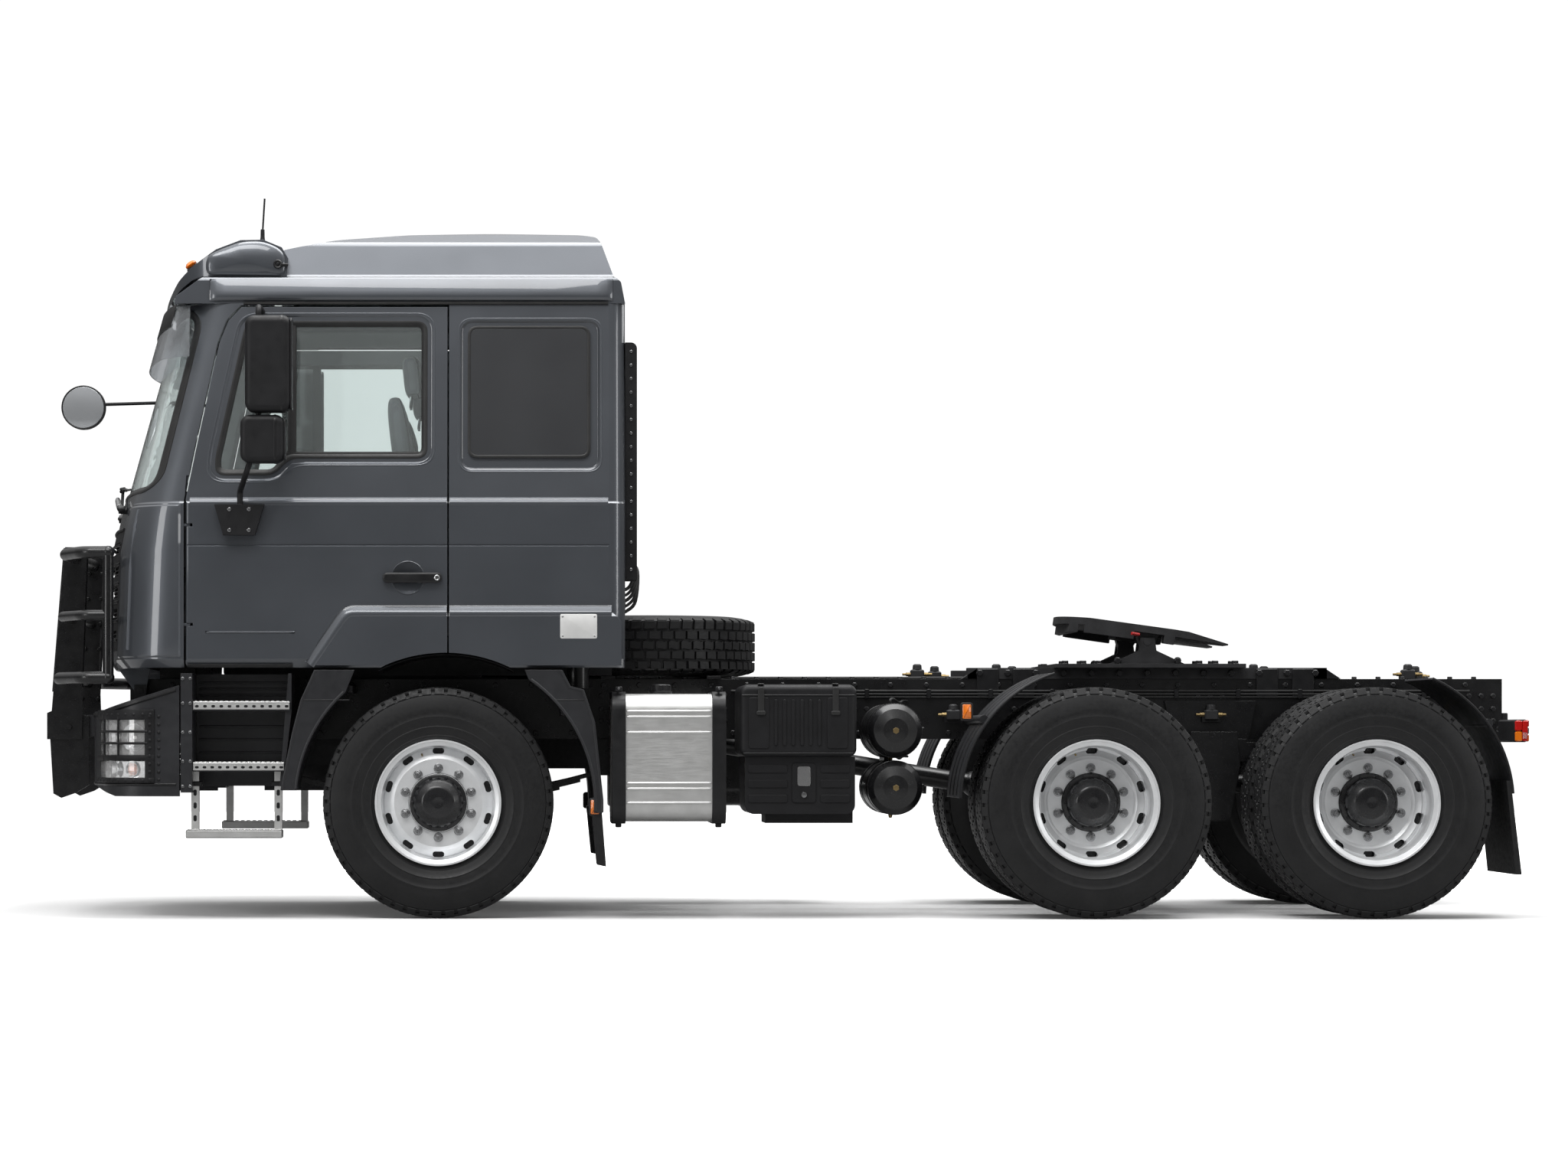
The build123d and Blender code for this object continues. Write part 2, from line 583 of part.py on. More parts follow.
def on_column(below):
    """A point on the steering column, a distance below the wheel's hub."""
    lean = radians(STEER_LEAN)
    return (STEER_HUB[0] - below * sin(lean), STEER_HUB[1], STEER_HUB[2] - below * cos(lean))


def make_dashboard():
    """Dashboard across the cab with its column cover and binnacle."""
    form = cab_body(inset=CAB_WALL + 60, rise=5) & side_plate(
        [(-1700, 2010), (-1240, 2070), (-1090, 1990), (-1080, 1900), (-1180, 1700), (-1700, 1700)], -CAB_HALF_W + 95, CAB_HALF_W - 95)
    binnacle = block(-1260, -1110, STEER_HUB[1] - 190, STEER_HUB[1] + 190, 2000, 2085)
    legs = block(-1500, -1300, -300, 300, TUNNEL_TOP, 1720)
    cover = rod(on_column(95.5), on_column(280), 45)
    return form + binnacle + legs + cover


def make_steering_wheel():
    """Steering wheel with three spokes on the column's top."""
    rim = Torus(225, 15)
    hub = Cylinder(55, 40)
    spokes = [Rot(0, 0, a) * Pos(110, 0, 0) * Box(220, 32, 14) for a in (0, 120, 240)]
    column = Pos(0, 0, -50) * Cylinder(22, 90)
    wheel = fused([rim, hub] + spokes + [column])
    return Pos(*STEER_HUB) * Rot(0, STEER_LEAN, 0) * wheel


def make_seats():
    """Driver's and passenger's seats: cushion, back and headrest as one closed form, on a separate pedestal."""
    seats = []
    for s in (-1, 1):
        y0, y1 = s * SEAT_Y - 245, s * SEAT_Y + 245
        outline = [(-680, SEAT_BASE_Z), (-700, 1890), (-660, 1930), (-280, 1925), (-200, 2520), (-185, 2740), (-135, 2760),
                   (-85, 2735), (-90, 2500), (-140, 1900), (-200, SEAT_BASE_Z)]
        seat = side_plate(outline, y0, y1)
        pedestal = block(-600, -240, s * SEAT_Y - 190, s * SEAT_Y + 190, FLOOR_TOP + SEAL_GAP,
                         SEAT_BASE_Z - SEAL_GAP)
        seats += [seat, pedestal]
    return seats


def make_bunk():
    """Lower bunk with its mattress behind the seats."""
    half = CAB_HALF_W - 135
    base = block(190, CAB_REAR - CAB_WALL - 1, -half, half, REAR_FLOOR_TOP + 0.3, 1900)
    base = base - block(189, REAR_FLOOR_X, -half - 10, half + 10, 1500, 1850)
    return fillet(base.edges().filter_by(Axis.Y).sort_by(Axis.Z)[-2:], 30)


def make_wipers():
    """Two wipers parked across the foot of the windscreen: spindle, arm and blade."""
    wipers = []
    for y0, y1 in ((-820, -240), (60, 640)):
        x0, x1 = front_x(y0, 1990), front_x(y1, 2120)
        wipers += [fused([
            rod((x0 - 32, y0, 1990), (x0 - 1, y0, 1990), 16),
            rod((x0 - 26, y0, 1990), (x1 - 34, y1, 2120), 8),
            rod((front_x(y1 - 300, 2090) - 34, y1 - 300, 2102), (front_x(y1 + 180, 2120) - 34, y1 + 180, 2138), 9),
        ]) - cab_body()]
    return wipers


# ---------------------------------------------------------------- chassis
def make_rails():
    """Two C-section side rails."""
    x0, x1 = RAIL_FRONT, RAIL_REAR
    rail = block(x0, x1, -RAIL_HALF_W, -RAIL_HALF_W + RAIL_FLANGE, RAIL_BOTTOM, RAIL_TOP)
    rail -= block(x0 - 1, x1 + 1, -RAIL_HALF_W + RAIL_T, -RAIL_HALF_W + RAIL_FLANGE + 1,
                  RAIL_BOTTOM + RAIL_T, RAIL_TOP - RAIL_T)
    return both_sides(rail)


# columns: station, height of the member, centre height
CROSSMEMBERS = (
    (RAIL_FRONT + 60, 180.0, 980.0),
    (1300.0, 150.0, 1010.0),
    (2250.0, 200.0, 1010.0),
    (BOGIE_X - 330, 200.0, 1010.0),
    (BOGIE_X + 330, 200.0, 1010.0),
    (RAIL_REAR - 6, 220.0, 1020.0),
)


def make_crossmembers():
    """Channel crossmembers between the rails; the rearmost carries the coupling bolt holes."""
    members = []
    for i, (x, h, z) in enumerate(CROSSMEMBERS):
        half = RAIL_HALF_W - RAIL_T
        wide = 12 if i == len(CROSSMEMBERS) - 1 else 90
        member = block(x - wide / 2, x + wide / 2, -half, half, z - h / 2, z + h / 2)
        if wide == 90:
            member -= block(x - wide / 2 + 10, x + wide, -half + 60, half - 60, z - h / 2 + 10, z + h / 2 - 10)
        else:
            for y in (-80, 80):
                for dz in (-50, 50):
                    member -= rod((x - 20, y, z + dz), (x + 20, y, z + dz), COUPLING_HOLE_R)
        members += [member]
    return members


COUPLING_HOLE_R = 10.5


def make_engine():
    """Engine as a plain block with its sump and the gearbox behind it."""
    block_part = block(-1060, 190, -BAY_HALF_W, BAY_HALF_W, 740, 1560)
    sump = block(-900, 60, -230, 230, 610, 741)
    bell = block(189, 330, -290, 290, 690, 1180)
    box = block(329, 1120, -215, 215, 720, 1090)
    feet = [block(-620, -500, s * (BAY_HALF_W - 1), s * (RAIL_HALF_W - RAIL_T - 0.3), 1000, 1080) for s in (-1, 1)]
    tail = [block(900, 1020, s * 214, s * (RAIL_HALF_W - RAIL_T - 0.3), 900, 960) for s in (-1, 1)]
    return fused([block_part, sump, bell, box] + feet + tail)


def make_radiator():
    """Radiator and cooler pack behind the grille, on the front crossmember."""
    half = BAY_HALF_W - 10
    core = block(-1420, -1240, -half, half, 905, 1600)
    cowl = block(-1241, -1160, -half + 30, half - 30, 960, 1500)
    feet = [block(-1400, -1300, s * (half - 1), s * (RAIL_HALF_W - RAIL_T - 0.3), 930, 990) for s in (-1, 1)]
    return fused([core, cowl] + feet)


def make_cab_mounts():
    """Front tilt brackets with their pins, and the rear spring struts outboard of the spare wheel."""
    pieces = []
    for s in (-1, 1):
        arm = block(TILT_X - 45, TILT_X + 45, s * (RAIL_HALF_W + 0.3), s * (TILT_LUG_Y + 60), 930, 1040)
        cheeks = [block(TILT_X - 30, TILT_X + 30, s * a, s * b, 1039, TILT_Z + 30)
                  for a, b in ((TILT_LUG_Y - 30, TILT_LUG_Y - 15.5), (TILT_LUG_Y + 15.5, TILT_LUG_Y + 30))]
        pin = rod((TILT_X, s * (TILT_LUG_Y - 32), TILT_Z), (TILT_X, s * (TILT_LUG_Y + 34), TILT_Z), TILT_PIN_R)
        pieces += [fused([arm] + cheeks + [pin])]
        x = 680.0
        y = s * (RAIL_HALF_W + 295)
        foot = block(x - 60, x + 60, s * (RAIL_HALF_W + 0.3), y + s * 70, 1040, 1120)
        strut = rod((x, y, 1119), (x, y, REAR_FLOOR_TOP - FLOOR_T - 0.5), 55)
        pieces += [foot + strut]
    return pieces


BUMPER_FRONT = -1760.0
BUMPER_REAR = -1246.0
BUMPER_HALF_W = CAB_HALF_W - 3
BUMPER_Z = (592.0, 1128.0)
BUMPER_WALL = 45.0
TOW_PIN_X = BUMPER_FRONT + 78
STAY_Y = RAIL_HALF_W - RAIL_T - SEAL_GAP
GUARD_Y = STAY_Y + 19.3
GUARD_END_Y = CAB_HALF_W - 113
LAMP_BOX = ((-1690.0, -1412.0), (BUMPER_HALF_W - 317, BUMPER_HALF_W + 178))
LAMP_ROWS = ((790.0, 962.0), (680.0, 764.0))


def bumper_form(inset):
    """The bumper's outer form from above, drawn in by inset."""
    face = plan(BUMPER_Z[0], BUMPER_FRONT + inset, BUMPER_HALF_W - inset, 230 - inset, BUMPER_REAR + 300, 30)
    return Solid.extrude(face, Vector(0, 0, BUMPER_Z[1] - BUMPER_Z[0]))


def lamp_window(row, s, grow):
    """The box that bounds one lamp on one side."""
    (x0, x1), (y0, y1) = LAMP_BOX
    return block(x0 - grow, x1 + grow, s * (y0 - grow), s * y1, row[0] - grow, row[1] + grow)


def make_bumper():
    """Steel front bumper with wrapped corners, cut low in the middle so that the cab can tilt."""
    shell = bumper_form(0) - bumper_form(BUMPER_WALL)
    top_cut = side_plate([(-2000, 1000), (-1640, 1006), (BUMPER_REAR, 1128), (BUMPER_REAR, 1400), (-2000, 1400)],
                         -1400, 1400)
    shell = shell & block(-2000, BUMPER_REAR, -1400, 1400, 0, 2000)
    shell -= top_cut
    shell -= side_plate([(-2000, 500), (-1560, 500), (-1560, 592), (-1700, 640), (-2000, 640)], -1400, 1400)
    shell -= block(-2000, -1600, -380, 380, 690, 800)
    for s in (-1, 1):
        for row in LAMP_ROWS:
            shell -= lamp_window(row, s, SEAL_GAP)
    stays = [block(-1805, RAIL_FRONT + 14.7, s * (STAY_Y - 86.7), s * STAY_Y, 880, 990) for s in (-1, 1)]
    return fused([shell] + stays)


def make_headlamps():
    """Wrapped main lamps and turn lamps in the bumper's corners."""
    skin = bumper_form(4) - bumper_form(BUMPER_WALL + 15)
    return [skin & lamp_window(row, s, 0) for s in (-1, 1) for row in LAMP_ROWS]


def guard_outline(grow=0.0):
    """The front guard's side plate."""
    return [(-1885, 1830), (-1952, 1010), (-1975, 1000), (-1975, 868), (-1800, 868), (-1796, 1000), (-1800, 1100),
            (-1774, 1790), (-1800, 1830)]


def make_front_guard():
    """Tubular front guard on two side plates; it folds forward on its lower pins."""
    pieces = []
    for s in (-1, 1):
        y = s * GUARD_Y
        plate = side_plate(guard_outline(), y - 6, y + 6)
        plate -= rod((GUARD_PIVOT_X, y - 20, GUARD_PIVOT_Z), (GUARD_PIVOT_X, y + 20, GUARD_PIVOT_Z), 12 + PIN_FIT)
        pieces += [plate]
    for z, radius, x in ((1774, GUARD_TUBE_R, -1835), (1469, 25, -1850), (1166, GUARD_TUBE_R, -1868)):
        run = [(-1600, s * GUARD_END_Y, z) for s in (-1, 1)]
        corner, knee = GUARD_END_Y - 12, GUARD_END_Y - 252
        points = [run[0], (-1725, -corner, z), (x, -knee, z), (x, knee, z), (-1725, corner, z), run[1]]
        pieces += [pipe(points, [70, 140, 140, 70], radius)]
    for s in (-1, 1):
        pieces += [rod((-1600, s * GUARD_END_Y, 1166), (-1600, s * GUARD_END_Y, 1774), GUARD_TUBE_R - 3)]
        pieces += [Pos(-1600, s * GUARD_END_Y, z) * Sphere(GUARD_TUBE_R + 1.5) for z in (1166, 1774)]
    return fused(pieces)


def make_guard_brackets():
    """Fixed lower brackets of the front guard, from the bumper stays, with the folding pins."""
    pieces = []
    for s in (-1, 1):
        inner = s * (GUARD_Y - 6.4)
        plate = side_plate([(-1968, 990), (-1945, 596), (-1905, 574), (-1830, 600), (-1765, 640), (-1765, 985), (-1800, 990)],
                           inner, inner - s * 12)
        pin = rod((GUARD_PIVOT_X, s * (GUARD_Y - 12), GUARD_PIVOT_Z), (GUARD_PIVOT_X, s * (GUARD_Y + 16), GUARD_PIVOT_Z), 12)
        pieces += [plate + pin]
    return pieces


def make_step_boxes():
    """Entry steps below the doors: a back panel and side cheeks with two treads and a hanging step."""
    boxes = []
    for s in (-1, 1):
        def y(a, b):
            return s * (CAB_HALF_W - a), s * (CAB_HALF_W - b)
        x0, x1 = -1240.0, -706.0
        back = block(x0, x1, *y(295, 280), 640, 1185)
        front_cheek = block(x0, -1184, *y(295, 10), 610, 1185)
        rear_cheek = side_plate([(-722, 1185), (x1, 1185), (x1, 1000), (-748, 640), (-764, 640)], *y(295, 35))
        treads = [block(-1185, a, *y(281, 20), z - 42, z) for z, a in ((1047, -712), (753, -738))]
        hang = [block(x, x + 34, *y(115, 75), 395, 712) for x in (-1192, -790)]
        bar = block(-1215, -753, *y(140, 20), 391, 428)
        arm = block(-1100, -1000, s * (RAIL_HALF_W + 0.3), s * (CAB_HALF_W - 294), 900, 980)
        boxes += [fused([back, front_cheek, rear_cheek] + treads + hang + [bar, arm])]
    return boxes


def fender_strip(outline, s):
    """A curved strip of front mudguard bounded by an outline and the wheel arch."""
    strip = side_plate(outline, s * (CAB_HALF_W - 325), s * (CAB_HALF_W + FLARE_OUT))
    outer = arch_cut(ARCH_R + 400, -1400, 1400) - arch_cut(ARCH_R - 6, -1500, 1500)
    strip &= outer
    hollow = side_plate(outline, s * (CAB_HALF_W - 326), s * (CAB_HALF_W + FLARE_OUT - 12))
    hollow &= arch_cut(ARCH_R + 500, -1400, 1400) - arch_cut(ARCH_R + 6, -1500, 1500)
    return strip - hollow


def make_front_mudguards():
    """Fixed lower mudguards ahead of and behind the front wheels, under the cab's arches."""
    guards = []
    for s in (-1, 1):
        ahead = [(-594, CAB_BOTTOM - 12), (-660, 1054), (-700, 900), (-755, 621), (-640, 621), (-400, CAB_BOTTOM - 12)]
        behind = [(420, CAB_BOTTOM - 12), (600, CAB_BOTTOM - 12), (640, 1121), (703, 1106), (757, 950), (797, 575),
                  (797, 513), (700, 513)]
        guards += [fender_strip(ahead, s), fender_strip(behind, s)]
        inner, reach = s * (RAIL_HALF_W + 0.3), s * (CAB_HALF_W - 285)
        bar = block(-470, -424, inner, reach, 1096, 1130)
        bar2 = block(595, 640, inner, reach, 985, 1025)
        guards[-2] = guards[-2] + bar
        guards[-1] = guards[-1] + bar2
    return guards


def make_mudflaps():
    """Rubber flaps behind the front wheels and the last rear wheels."""
    flaps = []
    for s in (-1, 1):
        front = [(744, 512.5), (792, 512.5), (812, 253), (768, 262)]
        flaps += [side_plate(front, s * (CAB_HALF_W - 295), s * CAB_HALF_W)]
        x = AXLE_X[2]
        rear = [(x + TYRE_R + a, z) for a, z in ((62, HUB_Z + 108), (82.5, HUB_Z + 108), (136, 215), (108, 215))]
        flaps += [side_plate(rear, s * 640, s * MUDGUARD_Y)]
    return flaps


def make_front_axle():
    """Dropped front axle beam with kingpin ends and spring seats."""
    drop = 150.0
    half = [(-KINGPIN_Y, HUB_Z + 62), (-KINGPIN_Y, HUB_Z - 62), (-KINGPIN_Y + 55, HUB_Z - 62),
            (-620, HUB_Z - drop - 60), (620, HUB_Z - drop - 60), (KINGPIN_Y - 55, HUB_Z - 62),
            (KINGPIN_Y, HUB_Z - 62), (KINGPIN_Y, HUB_Z + 62), (KINGPIN_Y - 60, HUB_Z + 62),
            (600, HUB_Z - drop + 55), (-600, HUB_Z - drop + 55), (-KINGPIN_Y + 60, HUB_Z + 62)]
    beam = cross_plate(half, -46, 46)
    for s in (-1, 1):
        beam += rod((0, s * KINGPIN_Y, HUB_Z - 62), (0, s * KINGPIN_Y, HUB_Z + 62), 54)
        beam -= rod((0, s * KINGPIN_Y, HUB_Z - 80), (0, s * KINGPIN_Y, HUB_Z + 80), KINGPIN_POST_R + PIN_FIT)
        beam -= block(s * 14, s * 50, -560, 560, HUB_Z - drop - 40, HUB_Z - drop + 35)
        beam += block(-80, 80, s * (SPRING_Y - 55), s * (SPRING_Y + 55), HUB_Z - drop + 50, SPRING_FRONT_Z)
    return beam


SPRING_FRONT_Z = HUB_Z - 40
SPRING_Y = RAIL_HALF_W - 10


def leaf_pack(x, z, half_len, rise, leaves, thickness, y0, y1, down=True):
    """Stacked arched leaves, each shorter than the last, as one solid."""
    pieces = []
    for i in range(leaves):
        length = half_len * (1 - 0.13 * i)
        lift = rise * (length / half_len) ** 2
        base = z - i * thickness if down else z + i * thickness
        top = base + thickness + 0.5
        sign = 1 if down else -1
        outline = Wire([
            Edge.make_three_point_arc((x - length, y0, base + sign * lift), (x, y0, base), (x + length, y0, base + sign * lift)),
            Edge.make_line((x + length, y0, base + sign * lift), (x + length, y0, top + sign * lift)),
            Edge.make_three_point_arc((x + length, y0, top + sign * lift), (x, y0, top), (x - length, y0, top + sign * lift)),
            Edge.make_line((x - length, y0, top + sign * lift), (x - length, y0, base + sign * lift)),
        ])
        pieces += [Solid.extrude(Face(outline), Vector(0, y1 - y0, 0))]
    return fused(pieces)


def make_front_springs():
    """Front leaf springs with hangers, shackles and clamps over the axle."""
    springs = []
    leaves, thickness = 5, 14.0
    for s in (-1, 1):
        y0, y1 = s * SPRING_Y - 42, s * SPRING_Y + 42
        z = SPRING_FRONT_Z + 1 + (leaves - 1) * thickness
        pack = leaf_pack(0, z, 800, 120, leaves, thickness, y0, y1)
        hanger = side_plate([(-850, z + 110), (-850, RAIL_BOTTOM - 0.3), (-700, RAIL_BOTTOM - 0.3), (-770, z + 110)],
                            y0 + 10, y1 - 10)
        shackle = side_plate([(785, z + 110), (770, RAIL_BOTTOM - 0.3), (860, RAIL_BOTTOM - 0.3), (840, z + 110)],
                             y0 + 10, y1 - 10)
        clamp = block(-75, 75, y0 - 8, y1 + 8, SPRING_FRONT_Z + 0.3, z + 34)
        springs += [fused([pack, hanger, shackle, clamp])]
    return springs


def make_rear_axles():
    """Two driven axle housings with their differential bowls and pinion noses."""
    axles = []
    for i, x in enumerate(AXLE_X[1:]):
        tube = rod((x, -600, HUB_Z), (x, 600, HUB_Z), 80)
        ends = rod((x, -REAR_SPINDLE_Y, HUB_Z), (x, REAR_SPINDLE_Y, HUB_Z), SPINDLE_R)
        bowl = Pos(x, 0, HUB_Z) * Rot(90, 0, 0) * Cone(215, 130, 150)
        bowl2 = Pos(x, 0, HUB_Z) * Rot(-90, 0, 0) * Cone(215, 130, 150)
        bowl = Pos(0, -75, 0) * bowl
        bowl2 = Pos(0, 75, 0) * bowl2
        nose = rod((x - 360, 0, PINION_Z), (x, 0, PINION_Z), 95)
        flange = rod((x - 385, 0, PINION_Z), (x - 355, 0, PINION_Z), 75)
        pieces = [tube, ends, bowl, bowl2, nose, flange]
        if i == 0:
            pieces += [rod((x, 0, PINION_Z), (x + 330, 0, PINION_Z), 70)]
        for s in (-1, 1):
            pieces += [block(x - 70, x + 70, s * (REAR_SPRING_Y - 45), s * (REAR_SPRING_Y + 45), HUB_Z + 60, REAR_SEAT_Z)]
        axles += [fused(pieces)]
    return axles


REAR_CAP_Y = REAR_TRACK / 2 + TWIN_SPACING / 2 + 9
CAP_T = 14.0
REAR_SPINDLE_Y = REAR_CAP_Y - CAP_T - 5
PINION_Z = HUB_Z + 80
TRUNNION_Z = HUB_Z - 35
REAR_SEAT_Z = HUB_Z + 130
REAR_SPRING_Y = RAIL_HALF_W + 90


def make_rear_springs():
    """Bogie springs on the middle trunnion, resting on both axles."""
    springs = []
    leaves, thickness = 8, 16.0
    for s in (-1, 1):
        y0, y1 = s * REAR_SPRING_Y - 45, s * REAR_SPRING_Y + 45
        rise = 70.0
        half = BOGIE_SPREAD / 2 + 60
        pack = leaf_pack(BOGIE_X, REAR_SEAT_Z + rise + 0.3, half, rise, leaves, thickness, y0, y1, down=False)
        saddle = side_plate([(BOGIE_X - 80, TRUNNION_Z - 60), (BOGIE_X + 80, TRUNNION_Z - 60), (BOGIE_X + 130, 740), (BOGIE_X + 115, 905),
                             (BOGIE_X - 115, 905), (BOGIE_X - 130, 740)], y0 - 6, y1 + 6)
        springs += [pack + saddle]
    return springs


def make_trunnion():
    """Trunnion brackets on the rails with the cross tube that carries the bogie springs, and the torque rods."""
    pieces = []
    for s in (-1, 1):
        plate = side_plate([(BOGIE_X - 230, RAIL_BOTTOM + 190), (BOGIE_X + 230, RAIL_BOTTOM + 190),
                            (BOGIE_X + 190, RAIL_BOTTOM), (BOGIE_X + 85, TRUNNION_Z - 70), (BOGIE_X - 85, TRUNNION_Z - 70),
                            (BOGIE_X - 190, RAIL_BOTTOM)], s * (RAIL_HALF_W + 0.3), s * (RAIL_HALF_W + 26))
        pieces += [plate]
    reach = REAR_SPRING_Y - 51.3
    pieces += [rod((BOGIE_X, -reach, TRUNNION_Z), (BOGIE_X, reach, TRUNNION_Z), 55)]
    return fused(pieces)


def make_drive_shafts():
    """Propeller shafts from the gearbox to the first rear axle and on to the second."""
    first = [(1120.3, 0, 880), (1200, 0, 880), (AXLE_X[1] - 460, 0, PINION_Z), (AXLE_X[1] - 385.3, 0, PINION_Z)]
    front = fused([rod(first[0], first[1], 60), rod(first[1], first[2], 50), Pos(*first[1]) * Sphere(67),
                   Pos(*first[2]) * Sphere(67), rod(first[2], first[3], 60)])
    rear = rod((AXLE_X[1] + 330.3, 0, PINION_Z), (AXLE_X[2] - 385.3, 0, PINION_Z), 50)
    return [front, rear]


def make_fuel_tank():
    """Aluminium fuel tank with rounded long edges, on two brackets with straps."""
    x0, x1, y0, y1, z0, z1 = 841.0, 1390.0, -1205.0, -600.0, 469.0, 1087.0
    tank = block(x0 + 20, x1 - 20, y0, y1, z0, z1)
    tank = fillet(tank.edges().filter_by(Axis.X), 85)
    straps = []
    for a, b in ((x0, x0 + 55), (x1 - 55, x1)):
        strap = fillet(block(a, b, y0 - 8, y1 + 8, z0 - 8, z1 + 8).edges().filter_by(Axis.X), 92)
        straps += [strap, block(a, b, y1 + 7, -RAIL_HALF_W - 0.3, 885, 1040)]
    cap = rod((1080, -1000, z1 - 5), (1080, -1000, z1 + 42), 48)
    return fused([tank] + straps + [cap])


def make_battery_box():
    """Battery box with its moulded cover over the lower air reservoir housing."""
    x0, x1 = 1458.0, 2023.0
    cover = fillet(block(x0, x1, -1190, -620, 782, 1132).edges().filter_by(Axis.Y), 40)
    cover = fillet(cover.edges().filter_by(Axis.X).sort_by(Axis.Z)[-2:], 30)
    lower = fillet(block(x0 + 26, x1 - 6, -1150, -640, 505, 783).edges().filter_by(Axis.Y).sort_by(Axis.Z)[:2], 45)
    belly = block(x0 + 130, x1 - 10, -1060, -700, 460, 520)
    arms = [block(a, a + 70, -641, -RAIL_HALF_W - 0.3, 880, 960) for a in (x0 + 60, x1 - 130)]
    return fused([cover, lower, belly] + arms)


AIR_TANK_R = 131.0
AIR_TANKS = ((2215.0, 909.0), (2215.0, 632.0))


def make_air_tanks():
    """Two compressed-air reservoirs lying across the frame, with domed ends, on a bracket."""
    tanks = []
    for x, z in AIR_TANKS:
        dome = [(0, -1150), (60, -1144), (105, -1128), (AIR_TANK_R, -1095), (AIR_TANK_R, -560), (105, -527), (0, -505)]
        face = Face(Wire.make_polygon([Vector(r, y, 0) for r, y in dome], close=True))
        tanks += [Pos(x, 0, z) * revolve(face, axis=Axis.Y)]
    plate = block(2195, 2235, -700, -RAIL_HALF_W - 0.3, 700, 1000)
    return fused(tanks + [plate])


def make_silencer():
    """Exhaust silencer box behind the right front wheel, with its outlet pipe."""
    body = fillet(block(860, 1560, 610, 1190, 520, 1080).edges().filter_by(Axis.X), 90)
    arms = [block(a, a + 70, RAIL_HALF_W + 0.3, 611, 860, 940) for a in (960, 1400)]
    pipe_in = pipe([(720, 560, 800), (820, 560, 800), (900, 700, 800)], [60], 50)
    outlet = rod((1300, 900, 521), (1300, 900, 470), 55)
    return fused([body] + arms + [outlet, pipe_in])


def make_air_filter():
    """Round air filter housing and the small reagent tank on the right rail."""
    can = rod((1680, 860, 880), (2060, 860, 880), 190)
    tank = fillet(block(1700, 2060, 640, 1150, 480, 680).edges().filter_by(Axis.X), 50)
    web = block(1850, 1900, 640, 900, 679, 700)
    arm = block(1840, 1910, RAIL_HALF_W + 0.3, 700, 840, 920)
    return fused([can, tank, web, arm])


SPARE_X = 1033.0
SPARE_Z0 = 1185.0


def make_spare_carrier():
    """Frame across the rails that carries the spare wheel."""
    bars = [block(x - 35, x + 35, -RAIL_HALF_W - 45, RAIL_HALF_W + 45, RAIL_TOP + 0.3, SPARE_Z0 - 0.3) for x in (SPARE_X - 200, SPARE_X + 330)]
    tie = block(SPARE_X - 200, SPARE_X + 330, -40, 40, RAIL_TOP + 0.3, SPARE_Z0 - 0.3)
    return fused(bars + [tie])


def make_fifth_wheel_base():
    """Sub-frame angles and cross plate that carry the fifth wheel's pivots."""
    x = FIFTH_X
    plate = block(x - 470, x + 480, -RAIL_HALF_W - 95, RAIL_HALF_W + 95, RAIL_TOP + 55, RAIL_TOP + 75)
    rails = [block(x - 900, x + 900, s * (RAIL_HALF_W - 75), s * (RAIL_HALF_W + 5), RAIL_TOP + 0.3, RAIL_TOP + 56)
             for s in (-1, 1)]
    stands = []
    for s in (-1, 1):
        for y in (s * 330, s * 430):
            stand = side_plate([(x - 190, RAIL_TOP + 74), (x + 190, RAIL_TOP + 74), (x + 45, FIFTH_Z - 45),
                                (x + 36, FIFTH_Z + 20), (x - 36, FIFTH_Z + 20), (x - 45, FIFTH_Z - 45)], y - 10, y + 10)
            stands += [stand]
        stands += [rod((x, s * 318, FIFTH_Z), (x, s * 442, FIFTH_Z), 20)]
    return fused([plate] + rails + stands)


def tilted_plate(shape):
    """Turns a piece drawn level about the fifth wheel's pivot to its parked slope."""
    pivot = Pos(FIFTH_X, 0, FIFTH_Z)
    return pivot * Rot(0, FIFTH_TILT, 0) * pivot.inverse() * shape


